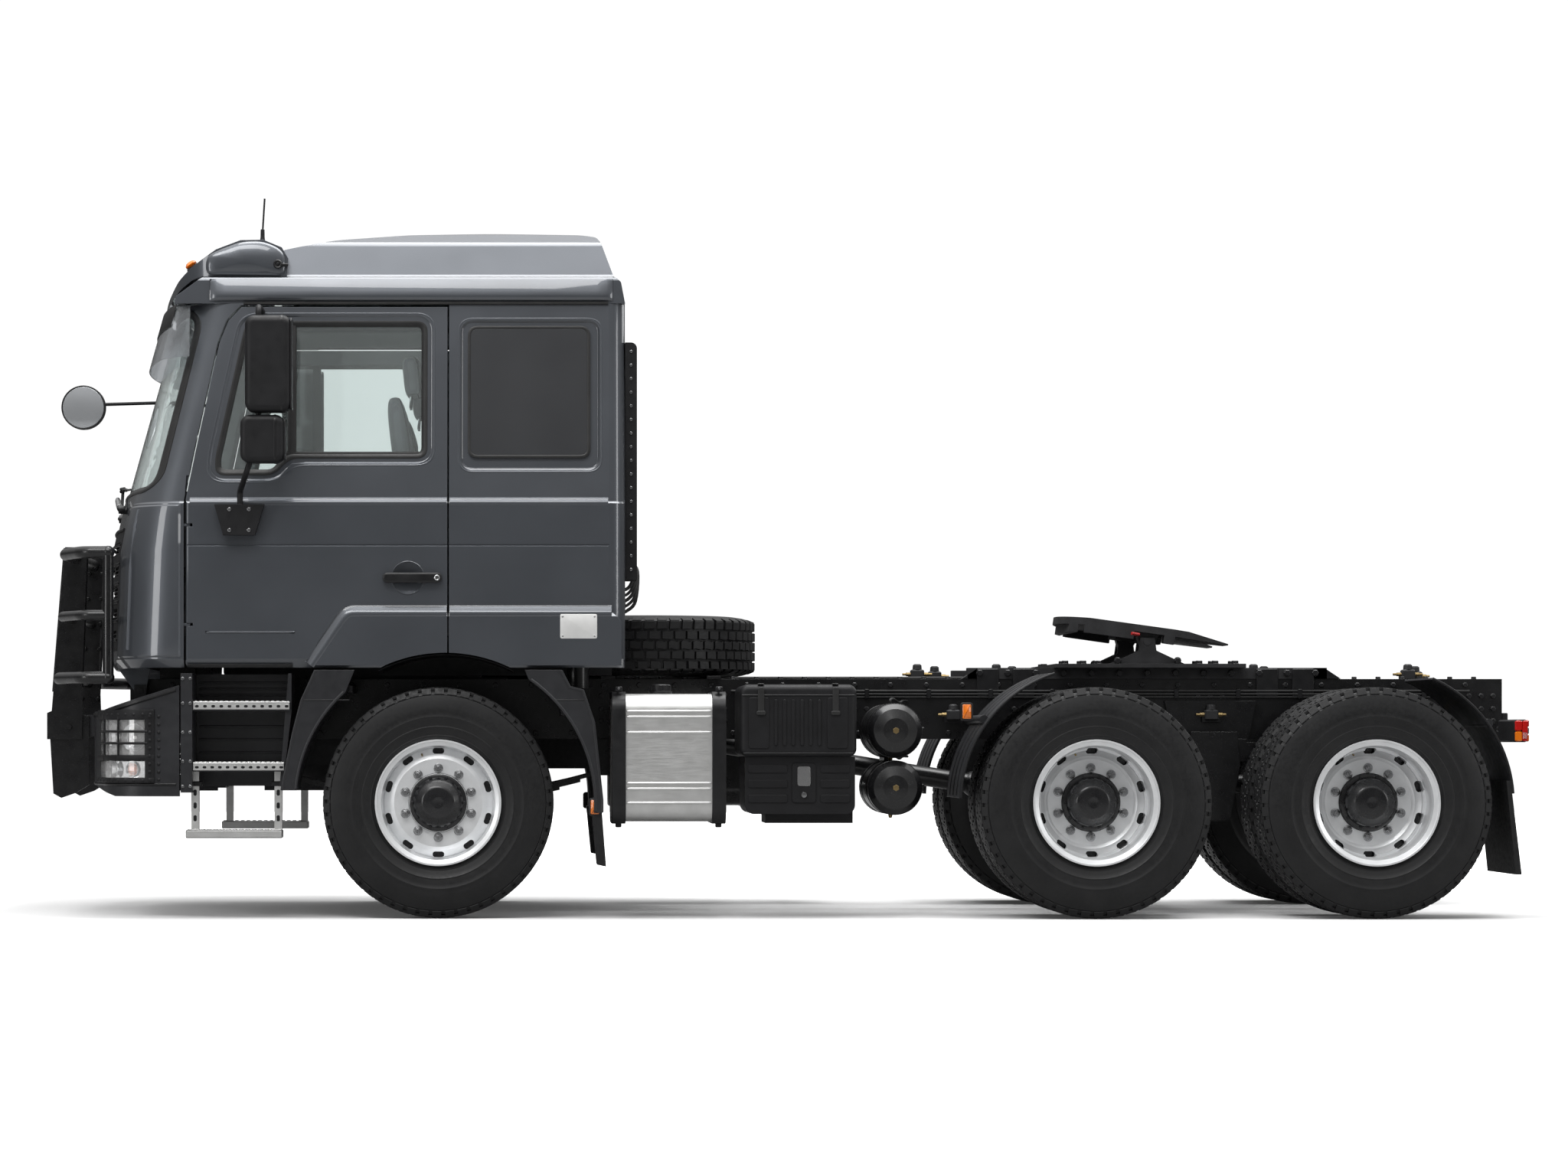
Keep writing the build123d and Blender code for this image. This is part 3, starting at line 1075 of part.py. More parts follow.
def make_fifth_wheel():
    """Fifth wheel plate: a dished casting with the entry ramps, kingpin throat and two pivot ears."""
    x, top = FIFTH_X, FIFTH_Z + 78
    z0 = top - PLATE_T
    outline = Wire([
        Edge.make_three_point_arc((x - 300, -452, z0), (x - 425, 0, z0), (x - 300, 452, z0)),
        Edge.make_line((x - 300, 452, z0), (x + 120, 470, z0)),
        Edge.make_line((x + 120, 470, z0), (x + 420, 330, z0)),
        Edge.make_line((x + 420, 330, z0), (x + 420, -330, z0)),
        Edge.make_line((x + 420, -330, z0), (x + 120, -470, z0)),
        Edge.make_line((x + 120, -470, z0), (x - 300, -452, z0)),
    ])
    plate = Solid.extrude(Face(outline), Vector(0, 0, PLATE_T))
    skirt_outer = Solid.extrude(Face(outline), Vector(0, 0, -40))
    cutter = block(x - 600, x + 140, -415, 415, z0 - 60, z0)
    skirt = skirt_outer & block(x - 380, x + 130, -500, 500, z0 - 60, z0)
    skirt -= cutter & block(x - 345, x + 140, -415, 415, z0 - 60, z0)
    plate += skirt - block(x - 75, x + 75, -500, 500, z0 - 60, z0)
    throat = [(x + KINGPIN_DX, -KINGPIN_R), (x + 260, -KINGPIN_R - 8), (x + 430, -170), (x + 430, 170),
              (x + 260, KINGPIN_R + 8), (x + KINGPIN_DX, KINGPIN_R)]
    slot = Solid.extrude(Face(Wire.make_polygon([Vector(a, b, z0 - 60) for a, b in throat], close=True)), Vector(0, 0, 200))
    slot += rod((x + KINGPIN_DX, 0, z0 - 60), (x + KINGPIN_DX, 0, top + 60), KINGPIN_R)
    plate -= slot
    # ramps slope down towards the rear
    plate -= side_plate([(x + 200, top), (x + 430, top - 30), (x + 430, top + 50), (x + 200, top + 50)], -600, 600)
    # jaw housing under the throat
    jaw = block(x - 120, x + 110, -140, 140, z0 - 34, z0 + 1) - slot
    plate += jaw
    for s in (-1, 1):
        ear = side_plate([(x - 60, z0 + 2), (x + 60, z0 + 2), (x + 30, FIFTH_Z - 26), (x - 30, FIFTH_Z - 26)],
                         s * 345, s * 415)
        ear -= rod((x, s * 340, FIFTH_Z), (x, s * 420, FIFTH_Z), 20 + PIN_FIT)
        plate += ear
    return tilted_plate(plate)


KINGPIN_DX = 0.0


MUDGUARD_Y = 1240.0


def make_rear_mudguards():
    """Plastic quarter mudguards ahead of the first and behind the last rear wheels, with their stays."""
    guards = []
    radius, thick = TYRE_R + 92, 9.0
    stay_r = radius + 20
    for s in (-1, 1):
        for x, a0, a1, stay_z in ((AXLE_X[1], 108, 178, RAIL_BOTTOM + 94), (AXLE_X[2], 4, 66, RAIL_BOTTOM + 75)):
            steps = [a0, (a0 + a1) / 2, a1]
            outer = [(x + (radius + thick) * cos(radians(a)), HUB_Z + (radius + thick) * sin(radians(a))) for a in steps]
            inner = [(x + radius * cos(radians(a)), HUB_Z + radius * sin(radians(a))) for a in steps]
            y0, y1 = s * 600, s * MUDGUARD_Y
            edges = [
                Edge.make_three_point_arc(*[(px, y0, pz) for px, pz in outer]),
                Edge.make_line((outer[2][0], y0, outer[2][1]), (inner[2][0], y0, inner[2][1])),
                Edge.make_three_point_arc(*[(px, y0, pz) for px, pz in reversed(inner)]),
                Edge.make_line((inner[0][0], y0, inner[0][1]), (outer[0][0], y0, outer[0][1])),
            ]
            sheet = Solid.extrude(Face(Wire(edges)), Vector(0, y1 - y0, 0))
            reach = (stay_r ** 2 - (stay_z - HUB_Z) ** 2) ** 0.5
            sx = x + (reach if a0 < 90 else -reach)
            stay = rod((sx, s * (RAIL_HALF_W + 0.3), stay_z), (sx, s * (MUDGUARD_Y - 60), stay_z), 21)
            guards += [sheet + stay]
    return guards


def make_tail_lamps():
    """Rear lamp clusters on the bar behind the frame."""
    x = RAIL_REAR
    bar = block(x + 0.3, x + TAIL_BAR_T, -1180, 1180, 905, 935)
    parts = [bar]
    for s in (-1, 1):
        parts += [block(x - 125, x - 50, s * 820, s * 1190, 852, 964)]
        parts += [block(x - 51, x + TAIL_BAR_T, s * 900, s * 940, 905, 935)]
        parts += [block(x + 0.3, x + TAIL_BAR_T, s * (RAIL_HALF_W - 45), s * RAIL_HALF_W, 900, 1000)]
    return fused(parts)


def make_tow_jaw():
    """Front towing jaw on the first crossmember: two plates with a pin hole."""
    x0, x1 = TOW_PIN_X, RAIL_FRONT + 14.7
    ears = [block(x0 - 55, x1, -60, 60, z, z + 18) for z in (708, 768)]
    web = block(x1 - 30, x1, -60, 60, 709, 960)
    jaw = fused(ears + [web])
    return jaw - rod((x0, 0, 690), (x0, 0, 800), TOW_BORE_R)


TOW_BORE_R = 20.0


# ---------------------------------------------------------------- wheels
TYRE_PROFILE = (
    (RIM_R - 20, -118), (RIM_R + 30, -128), (400, -150), (455, -150), (520, -138), (545, -128), (TYRE_R - 3, -112),
    (TYRE_R, 0), (TYRE_R - 3, 112), (545, 128), (520, 138), (455, 150), (400, 150), (RIM_R + 30, 128), (RIM_R - 20, 118),
    (RIM_R + 20, 90), (385, 110), (500, 100), (515, 0), (500, -100), (385, -110), (RIM_R + 20, -90),
)


def make_tyre(x, y, z=HUB_Z):
    """One tyre, hollow, about an axle line."""
    scale = TYRE_W / 300.0
    return spun([(r, v * scale) for r, v in TYRE_PROFILE], y=y, x=x, z=z)


DISC_HOLES = 10
SLOT = (28.0, 56.0)
SPIGOT_R = 141.5


def make_rim(x, y, out, z=HUB_Z):
    """One steel disc wheel; out is the side (+1 or -1) on which its disc lies, measured along Y."""
    t = 9.0
    bead = TYRE_W / 300.0 * 118 + 6
    seat, well = RIM_R - 20.3, RIM_R - 30
    barrel = [
        (RIM_R, -bead - 16), (RIM_R, -bead - 1), (seat, -bead + 2), (seat - 2, -bead + 36),
        (well, -bead + 60), (well, bead - 60), (seat - 2, bead - 36), (seat, bead - 2),
        (RIM_R, bead + 1), (RIM_R, bead + 16), (RIM_R - t, bead + 16), (RIM_R - t - 1, bead + 6),
        (seat - t, bead - 2), (seat - t - 2, bead - 40), (well - t, bead - 64), (well - t, -bead + 64),
        (seat - t - 2, -bead + 40), (seat - t, -bead + 2), (RIM_R - t - 1, -bead - 6), (RIM_R - t, -bead - 16),
    ]
    edge = well - t + 1
    disc = [(edge, 14), (edge, 56), (edge - 34, 84), (edge - 54, DISC_FACE), (SPIGOT_R + 0.5, DISC_FACE),
            (SPIGOT_R + 0.5, DISC_FACE - 14), (edge - 58, DISC_FACE - 14), (edge - 42, 72), (edge - 14, 46), (edge - 14, 14)]
    if out < 0:
        disc = [(r, -v) for r, v in disc]
    wheel = spun(barrel) + spun(disc)
    for i in range(DISC_HOLES):
        a = radians(36 * i + 18)
        at = edge - 17
        hole = Pos(at * cos(a), 0, at * sin(a)) * Rot(0, -36 * i - 18, 0) * Rot(90, 0, 0) * Box(SLOT[0], SLOT[1], 400)
        hole = fillet(hole.edges().filter_by(Axis.Y), SLOT[0] / 2 - 1)
        wheel -= hole
    return Pos(x, y, z) * wheel


DISC_FACE = 96.0


def make_hub(x, y_face, y_cap, y_back, s):
    """Hub with its wheel flange, end cap and brake drum, bored for the spindle; s is the outer side."""
    profile = [(HUB_BORE_R, y_back), (205, y_back), (205, y_back + 150), (190, y_back + 160), (190, y_face - 1),
               (SPIGOT_R, y_face - 1), (SPIGOT_R, y_face + 30), (118, y_face + 34), (112, y_cap - 30), (70, y_cap), (0, y_cap),
               (0, y_cap - CAP_T), (HUB_BORE_R, y_cap - CAP_T)]
    ring = [(r, s * v) for r, v in profile]
    return spun(ring, x=x, z=HUB_Z)


def front_wheel(s):
    """Tyre and wheel solids of a front wheel."""
    y = FRONT_TRACK / 2
    rim = make_rim(0, s * y, s)
    back = KINGPIN_Y + FORK_REACH + 31 + PIN_FIT
    hub = make_hub(0, y + DISC_FACE - 14, y + DISC_FACE + 62, back, s)
    return [make_tyre(0, s * y)], [rim, hub]


def rear_wheel(axle, s):
    """Twin tyres and wheel solids of one end of a rear axle."""
    x, y = AXLE_X[axle], REAR_TRACK / 2
    outer, inner = y + TWIN_SPACING / 2, y - TWIN_SPACING / 2
    rims = [make_rim(x, s * outer, -s), make_rim(x, s * inner, s)]
    gap_ring = spun([(SPIGOT_R + 1, s * (inner + DISC_FACE + 0.3)), (200, s * (inner + DISC_FACE + 0.3)),
                     (200, s * (outer - DISC_FACE - 0.3)), (SPIGOT_R + 1, s * (outer - DISC_FACE - 0.3))], x=x, z=HUB_Z)
    hub = make_hub(x, inner + DISC_FACE - 14, REAR_CAP_Y, inner - 130, s)
    return [make_tyre(x, s * outer), make_tyre(x, s * inner)], rims + [hub, gap_ring]


def spare_wheel():
    """Spare tyre and wheel lying flat behind the cab."""
    lie = Pos(SPARE_X, 0, SPARE_Z0 + TYRE_W / 2) * Rot(90, 0, 0)
    return [lie * make_tyre(0, 0, 0)], [lie * make_rim(0, 0, 1, 0)]


STEER_ARM = 170.0
FORK_REACH = 60.0
FORK_R = 50.0
EYE_Z = HUB_Z - 133.0


def make_knuckle(s):
    """Steering knuckle: fork and kingpin, spindle, and the arm behind the axle with its ball pin."""
    y_web, y_back = KINGPIN_Y + FORK_REACH, KINGPIN_Y + FORK_REACH + 31
    fork = [block(-FORK_R, FORK_R, s * KINGPIN_Y, s * y_back, a, b) + rod((0, s * KINGPIN_Y, a), (0, s * KINGPIN_Y, b), FORK_R)
            for a, b in ((HUB_Z + 62.5, HUB_Z + 105), (HUB_Z - 112, HUB_Z - 62.5))]
    web = block(-70, 70, s * y_web, s * y_back, HUB_Z - 112, HUB_Z + 105)
    kingpin = rod((0, s * KINGPIN_Y, HUB_Z - 112), (0, s * KINGPIN_Y, HUB_Z + 105), KINGPIN_POST_R)
    spindle = rod((0, s * (y_back - 1), HUB_Z), (0, s * (FRONT_TRACK / 2 + DISC_FACE + 40), HUB_Z), SPINDLE_R)
    arm = block(40, STEER_ARM, s * (KINGPIN_Y - 20), s * (KINGPIN_Y + 20), HUB_Z - 112, HUB_Z - 84)
    arm += rod((STEER_ARM, s * KINGPIN_Y, HUB_Z - 112), (STEER_ARM, s * KINGPIN_Y, HUB_Z - 84), 24)
    pin = rod((STEER_ARM, s * KINGPIN_Y, EYE_Z - 20), (STEER_ARM, s * KINGPIN_Y, HUB_Z - 90), 12)
    return fused(fork + [web, kingpin, spindle, arm, pin])


def make_tie_rod():
    """Track rod between the two steering arms, with an eye on each ball pin."""
    bar = rod((STEER_ARM, -KINGPIN_Y + 20, EYE_Z), (STEER_ARM, KINGPIN_Y - 20, EYE_Z), 18)
    for s in (-1, 1):
        bar += rod((STEER_ARM, s * KINGPIN_Y, EYE_Z - 18), (STEER_ARM, s * KINGPIN_Y, EYE_Z + 18), 26)
    for s in (-1, 1):
        bar -= rod((STEER_ARM, s * KINGPIN_Y, EYE_Z - 30), (STEER_ARM, s * KINGPIN_Y, EYE_Z + 30), 12 + PIN_FIT)
    return bar


def save(name, shapes):
    """Writes one node's solids, moved from stations to the row frame."""
    shapes = shapes if isinstance(shapes, (list, tuple)) else [shapes]
    solids = [Pos(SHIFT_X, 0, 0) * solid for shape in shapes for solid in shape.solids()]
    export_step(Compound(solids), f"parts/{name}.step")
    print(name, len(solids))


def save_cab():
    """Everything that tilts with the cab, and the doors."""
    shell = cab_shell_slice()
    save("cab_front", make_cab_front(shell))
    save("cab_rear", make_cab_rear(shell))
    save("cab_floor", make_cab_floor())
    save("cab_roof", make_roof())
    save("windscreen", make_windscreen())
    save("grille", make_grille())
    save("roof_visor", fused([make_roof_visor()] + make_marker_lamps() + [make_antenna()]))
    save("sun_visor", make_sun_visor())
    save("dashboard", make_dashboard())
    save("seats", make_seats() + [make_bunk()])
    save("steering_wheel", make_steering_wheel())
    save("front_mirror", make_front_mirror())
    save("wipers", make_wipers())
    save("air_intake", make_air_intake())
    for side, s in SIDES:
        save(f"door_{side}", make_door(s))
        save(f"door_glass_{side}", make_door_glass(s))
        save(f"mirror_{side}", make_mirror(s))


def save_chassis():
    """The frame and what is bolted to it."""
    save("frame_rails", make_rails())
    save("frame_crossmembers", make_crossmembers() + [make_spare_carrier()])
    save("chassis_brackets", make_cab_mounts() + make_guard_brackets() + [make_tow_jaw(), make_trunnion()])
    save("front_bumper", make_bumper())
    save("lamps", make_headlamps() + [make_tail_lamps()])
    save("entry_steps", make_step_boxes())
    save("mudguards", make_front_mudguards() + make_rear_mudguards())
    save("mudflaps", make_mudflaps())
    save("front_axle", make_front_axle())
    save("rear_axles", make_rear_axles())
    save("leaf_springs", make_front_springs() + make_rear_springs())
    save("drive_shafts", make_drive_shafts())
    save("engine", make_engine())
    save("radiator", make_radiator())
    save("fuel_tank", make_fuel_tank())
    save("battery_box", make_battery_box())
    save("air_tanks", make_air_tanks())
    save("exhaust_silencer", make_silencer())
    save("air_filter", make_air_filter())
    tyre, rim = spare_wheel()
    save("spare_tyre", tyre)
    save("spare_rim", rim)
    save("fifth_wheel_base", make_fifth_wheel_base())


def save_moving():
    """What turns on the chassis: the steering, wheels, coupling plate and front guard."""
    save("fifth_wheel_plate", make_fifth_wheel())
    save("front_guard", make_front_guard())
    save("tie_rod", make_tie_rod())
    for side, s in SIDES:
        save(f"knuckle_{side}", make_knuckle(s))
        tyre, rim = front_wheel(s)
        save(f"tyre_front_{side}", tyre)
        save(f"rim_front_{side}", rim)
        for axle in (1, 2):
            tyres, rims = rear_wheel(axle, s)
            save(f"tyres_rear{axle}_{side}", tyres)
            save(f"rims_rear{axle}_{side}", rims)


SIDES = (("left", -1), ("right", 1))

if __name__ == "__main__":
    os.makedirs("parts", exist_ok=True)
    save_cab()
    save_chassis()
    save_moving()
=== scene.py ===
"""The looks of a cab-over tractor unit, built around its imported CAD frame.

Every size is in metres and every place is in the frame's own axes: X runs
from the front bumper to the rear, Y to the offside, Z up from the ground.
"""

import logging  # noqa: E402
import math  # noqa: E402
from collections.abc import Callable, Iterable, Sequence  # noqa: E402
from dataclasses import dataclass, field  # noqa: E402
from enum import Enum  # noqa: E402
from functools import partial  # noqa: E402

import bmesh  # noqa: E402
import bpy  # noqa: E402
from mathutils import Matrix, Vector  # noqa: E402


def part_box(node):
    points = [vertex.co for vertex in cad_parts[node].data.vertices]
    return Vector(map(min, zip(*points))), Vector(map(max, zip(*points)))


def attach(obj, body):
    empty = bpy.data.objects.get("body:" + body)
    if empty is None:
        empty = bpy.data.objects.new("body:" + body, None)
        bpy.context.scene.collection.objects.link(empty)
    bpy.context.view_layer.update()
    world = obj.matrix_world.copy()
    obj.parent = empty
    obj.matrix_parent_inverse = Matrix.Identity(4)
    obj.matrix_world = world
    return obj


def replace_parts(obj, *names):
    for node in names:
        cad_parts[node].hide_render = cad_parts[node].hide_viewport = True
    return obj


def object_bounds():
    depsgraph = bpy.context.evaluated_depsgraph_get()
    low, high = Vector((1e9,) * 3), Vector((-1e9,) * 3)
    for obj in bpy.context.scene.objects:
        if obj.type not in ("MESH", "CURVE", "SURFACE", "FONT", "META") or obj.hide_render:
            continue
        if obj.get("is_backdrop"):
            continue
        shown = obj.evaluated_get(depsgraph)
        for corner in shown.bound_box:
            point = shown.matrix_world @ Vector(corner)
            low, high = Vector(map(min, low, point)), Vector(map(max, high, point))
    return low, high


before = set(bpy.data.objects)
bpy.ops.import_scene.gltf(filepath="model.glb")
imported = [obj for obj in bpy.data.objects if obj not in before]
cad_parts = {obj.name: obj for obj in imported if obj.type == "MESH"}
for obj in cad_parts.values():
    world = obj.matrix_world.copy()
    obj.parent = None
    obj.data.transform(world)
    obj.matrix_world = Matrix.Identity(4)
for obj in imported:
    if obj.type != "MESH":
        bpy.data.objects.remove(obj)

LOG = logging.getLogger("tractor_unit")
MM = 0.001
Point = tuple[float, float, float]
Flat = tuple[float, float]
Colour = tuple[float, float, float]
Place = Callable[[float, float, float], Point]


class Cells(Enum):
    """How a cell pattern's borders look."""

    SHARP = "F1"
    SOFT = "SMOOTH_F1"


class Bands(Enum):
    """The direction that a wave pattern runs in."""

    ACROSS = "Y"
    SLANTED = "DIAGONAL"


class Sum(Enum):
    """What a number node does."""

    ADD = "ADD"
    SUBTRACT = "SUBTRACT"
    MULTIPLY = "MULTIPLY"
    ABSOLUTE = "ABSOLUTE"
    MAXIMUM = "MAXIMUM"
    POWER = "POWER"
    ROOT = "SQRT"


class Graph:
    """A node tree under construction."""

    def __init__(self, tree: bpy.types.NodeTree) -> None:
        """Wrap a node tree."""
        self.tree, self.nodes, self.links = tree, tree.nodes, tree.links

    def add(self, kind: str, inputs: dict[str | int, object], **settings: object) -> bpy.types.Node:
        """Add a node.

        Args:
            kind: Blender's name for the node.
            inputs: For each input, the socket that feeds it or its value.
            settings: The node's own settings.

        Returns:
            The new node.
        """
        node = self.nodes.new(kind)
        for key, value in settings.items():
            setattr(node, key, value)
        for key, value in inputs.items():
            if isinstance(value, bpy.types.NodeSocket):
                self.links.new(value, node.inputs[key])
            else:
                node.inputs[key].default_value = value
        return node

    def sum(self, kind: Sum, first: object, second: object = None) -> bpy.types.NodeSocket:
        """Add a number node.

        Args:
            kind: What it does.
            first: The first socket or number.
            second: The second, where it has one.

        Returns:
            The result's socket.
        """
        inputs = {0: first} if second is None else {0: first, 1: second}
        return self.add("ShaderNodeMath", inputs, operation=kind.value).outputs["Value"]


class Shader(Graph):
    """One material's node tree, round a Principled shader."""

    def __init__(self, name: str) -> None:
        """Start a material.

        Args:
            name: Its name.
        """
        self.material = bpy.data.materials.new(name)
        self.material.use_nodes = True
        super().__init__(self.material.node_tree)
        self.surface = self.nodes["Principled BSDF"]
        self.coordinates = self.add("ShaderNodeTexCoord", {}).outputs["Object"]

    def set(self, **values: object) -> None:
        """Set sockets of the Principled shader.

        Args:
            values: The values by the sockets' names, with _ for a space.
        """
        for key, value in values.items():
            if isinstance(value, tuple) and len(value) == 3:
                value = (*value, 1.0)
            self.surface.inputs[key.replace("_", " ")].default_value = value

    def noise(self, scale: float, detail: float = 2.0,
              stretch: Point = (1.0, 1.0, 1.0)) -> bpy.types.NodeSocket:
        """Add a noise pattern on Object coordinates.

        Args:
            scale: Cells per metre.
            detail: Octaves of finer noise.
            stretch: Scale along each axis, for brushed grain.

        Returns:
            The pattern's factor socket.
        """
        mapping = self.add("ShaderNodeMapping", {"Vector": self.coordinates, "Scale": stretch})
        return self.add("ShaderNodeTexNoise", {"Vector": mapping.outputs["Vector"], "Scale": scale,
                                               "Detail": detail}).outputs["Fac"]

    def cells(self, scale: float, pattern: Cells = Cells.SHARP) -> bpy.types.NodeSocket:
        """Add a cell pattern, for flakes or grain, and return its distance."""
        return self.add("ShaderNodeTexVoronoi", {"Vector": self.coordinates, "Scale": scale},
                        feature=pattern.value).outputs["Distance"]

    def wave(self, scale: float, bands: Bands = Bands.ACROSS) -> bpy.types.NodeSocket:
        """Add a wave pattern, for flutes or threads, and return its factor."""
        return self.add("ShaderNodeTexWave", {"Vector": self.coordinates, "Scale": scale},
                        bands_direction=bands.value).outputs["Fac"]

    def spread(self, socket: bpy.types.NodeSocket, low: float, high: float, start: float = 0.3,
               end: float = 0.7) -> bpy.types.NodeSocket:
        """Map a pattern to other limits.

        Args:
            socket: The pattern.
            low: The result at start.
            high: The result at end.
            start: The pattern's value that gives low.
            end: The pattern's value that gives high.

        Returns:
            The result's socket.
        """
        return self.add("ShaderNodeMapRange", {"Value": socket, "From Min": start, "From Max": end,
                                               "To Min": low, "To Max": high}).outputs["Result"]

    def tint(self, socket: bpy.types.NodeSocket, first: Colour, second: Colour) -> None:
        """Colour the surface between two colours by a pattern.

        Args:
            socket: The pattern.
            first: The colour where it is 0.
            second: The colour where it is 1.
        """
        blend = self.add("ShaderNodeMix", {"Factor": socket, 6: (*first, 1.0), 7: (*second, 1.0)},
                         data_type="RGBA")
        self.links.new(blend.outputs[2], self.surface.inputs["Base Color"])

    def rough(self, socket: bpy.types.NodeSocket, low: float, high: float) -> None:
        """Vary the surface's roughness by a pattern."""
        self.links.new(self.spread(socket, low, high), self.surface.inputs["Roughness"])

    def relief(self, height: bpy.types.NodeSocket, depth: float, strength: float, edge: float = 0.0) -> None:
        """Give the surface a bump, on edges that are eased by a small radius.

        Args:
            height: The pattern that is the height.
            depth: The height's full size in metres.
            strength: How strongly the bump shows, from 0 to 1.
            edge: The radius of eased edges in metres, or 0 for none.
        """
        inputs = {"Strength": strength, "Distance": depth, "Height": height}
        if edge:
            inputs["Normal"] = self.add("ShaderNodeBevel", {"Radius": edge}, samples=4).outputs["Normal"]
        self.links.new(self.add("ShaderNodeBump", inputs).outputs["Normal"], self.surface.inputs["Normal"])


_MADE: dict[object, bpy.types.Material] = {}


@dataclass(frozen=True)
class Finish:
    """A finish with a name, a record slot and one material made on demand."""

    name: str
    slot: str

    def material(self) -> bpy.types.Material:
        """Make this finish's material, once.

        Returns:
            The material.
        """
        if self not in _MADE:
            shader = Shader(self.name)
            self.dress(shader)
            _MADE[self] = shader.material
        return _MADE[self]

    def dress(self, shader: Shader) -> None:
        """Build the finish on a fresh shader, which is its one argument."""
        raise NotImplementedError


@dataclass(frozen=True)
class MetallicPaint(Finish):
    """Clear-coated metallic lacquer with fine flake."""

    colour: Colour = (0.064, 0.07, 0.08)
    flake: Colour = (0.1, 0.108, 0.122)
    roughness: float = 0.34
    edge: float = 0.004

    def dress(self, shader: Shader) -> None:
        """Build lacquer: flake in the colour, a hard coat and a soft orange peel.

        Args:
            shader: The fresh material.
        """
        shader.set(Metallic=0.55, Coat_Weight=1.0, Coat_Roughness=0.04, Coat_IOR=1.5)
        shader.tint(shader.cells(2600.0), self.colour, self.flake)
        shader.rough(shader.noise(3.0, 4.0), self.roughness - 0.04, self.roughness + 0.05)
        shader.relief(shader.noise(420.0, 1.0), 0.0002, 0.035, self.edge)


@dataclass(frozen=True)
class ChassisPaint(Finish):
    """Thick black chassis enamel, glossy with specks of road dust."""

    colour: Colour = (0.0045, 0.0045, 0.005)
    dust: Colour = (0.028, 0.028, 0.03)
    roughness: float = 0.3
    edge: float = 0.003

    def dress(self, shader: Shader) -> None:
        """Build enamel with sparse specks and a slightly uneven skin.

        Args:
            shader: The fresh material.
        """
        shader.set(Coat_Weight=0.3, Coat_Roughness=0.14, Specular_IOR_Level=0.4)
        specks = shader.spread(shader.noise(160.0, 3.0), 0.0, 1.0, 0.62, 0.72)
        shader.tint(specks, self.colour, self.dust)
        shader.rough(shader.noise(18.0, 3.0), self.roughness - 0.05, self.roughness + 0.08)
        shader.relief(shader.noise(240.0, 2.0), 0.0004, 0.12, self.edge)


@dataclass(frozen=True)
class Plastic(Finish):
    """Grained moulded plastic."""

    colour: Colour = (0.0045, 0.0045, 0.0052)
    worn: Colour = (0.009, 0.009, 0.0102)
    roughness: float = 0.5
    grain: float = 900.0
    depth: float = 0.0003
    edge: float = 0.003
    shine: float = 0.3

    def dress(self, shader: Shader) -> None:
        """Build plastic with leather-like grain and slightly uneven sheen.

        Args:
            shader: The fresh material.
        """
        shader.set(Specular_IOR_Level=self.shine)
        shader.tint(shader.spread(shader.noise(6.0, 4.0), 0.0, 1.0), self.colour, self.worn)
        shader.rough(shader.noise(25.0, 3.0), self.roughness - 0.05, self.roughness + 0.08)
        shader.relief(shader.cells(self.grain, Cells.SOFT), self.depth, 0.25, self.edge)


@dataclass(frozen=True)
class Rubber(Finish):
    """Vulcanised rubber with a faint grey bloom."""

    colour: Colour = (0.0025, 0.0025, 0.003)
    bloom: Colour = (0.007, 0.007, 0.0075)
    roughness: float = 0.48
    edge: float = 0.0

    def dress(self, shader: Shader) -> None:
        """Build rubber with bloom in soft patches and a dull, fine skin.

        Args:
            shader: The fresh material.
        """
        shader.set(Specular_IOR_Level=0.42)
        shader.tint(shader.spread(shader.noise(9.0, 5.0), 0.0, 1.0), self.colour, self.bloom)
        shader.rough(shader.noise(60.0, 3.0), self.roughness - 0.08, self.roughness + 0.08)
        shader.relief(shader.noise(700.0, 2.0), 0.0003, 0.2, self.edge)


@dataclass(frozen=True)
class Metal(Finish):
    """Bare or plated metal with brushed or cast grain."""

    colour: Colour = (0.62, 0.63, 0.64)
    second: Colour = (0.5, 0.51, 0.52)
    roughness: float = 0.32
    metallic: float = 1.0
    grain: float = 300.0
    stretch: Point = (1.0, 1.0, 1.0)
    depth: float = 0.0002
    strength: float = 0.1
    edge: float = 0.002

    def dress(self, shader: Shader) -> None:
        """Build metal with grain along one axis or none.

        Args:
            shader: The fresh material.
        """
        shader.set(Metallic=self.metallic)
        shader.tint(shader.spread(shader.noise(14.0, 4.0), 0.0, 1.0), self.colour, self.second)
        grain = shader.noise(self.grain, 3.0, self.stretch)
        shader.rough(grain, self.roughness - 0.06, self.roughness + 0.08)
        shader.relief(grain, self.depth, self.strength, self.edge)


@dataclass(frozen=True)
class Glass(Finish):
    """Tinted safety glass."""

    colour: Colour = (0.8, 0.86, 0.85)
    clear: float = 0.95
    roughness: float = 0.01
    ior: float = 1.45

    def dress(self, shader: Shader) -> None:
        """Build thin tinted glass with a barely uneven surface.

        Args:
            shader: The fresh material.
        """
        shader.set(Roughness=self.roughness, IOR=self.ior, Transmission_Weight=self.clear,
                   Base_Color=self.colour, Specular_IOR_Level=0.6)
        shader.relief(shader.noise(1.5, 1.0), 0.0008, 0.02)


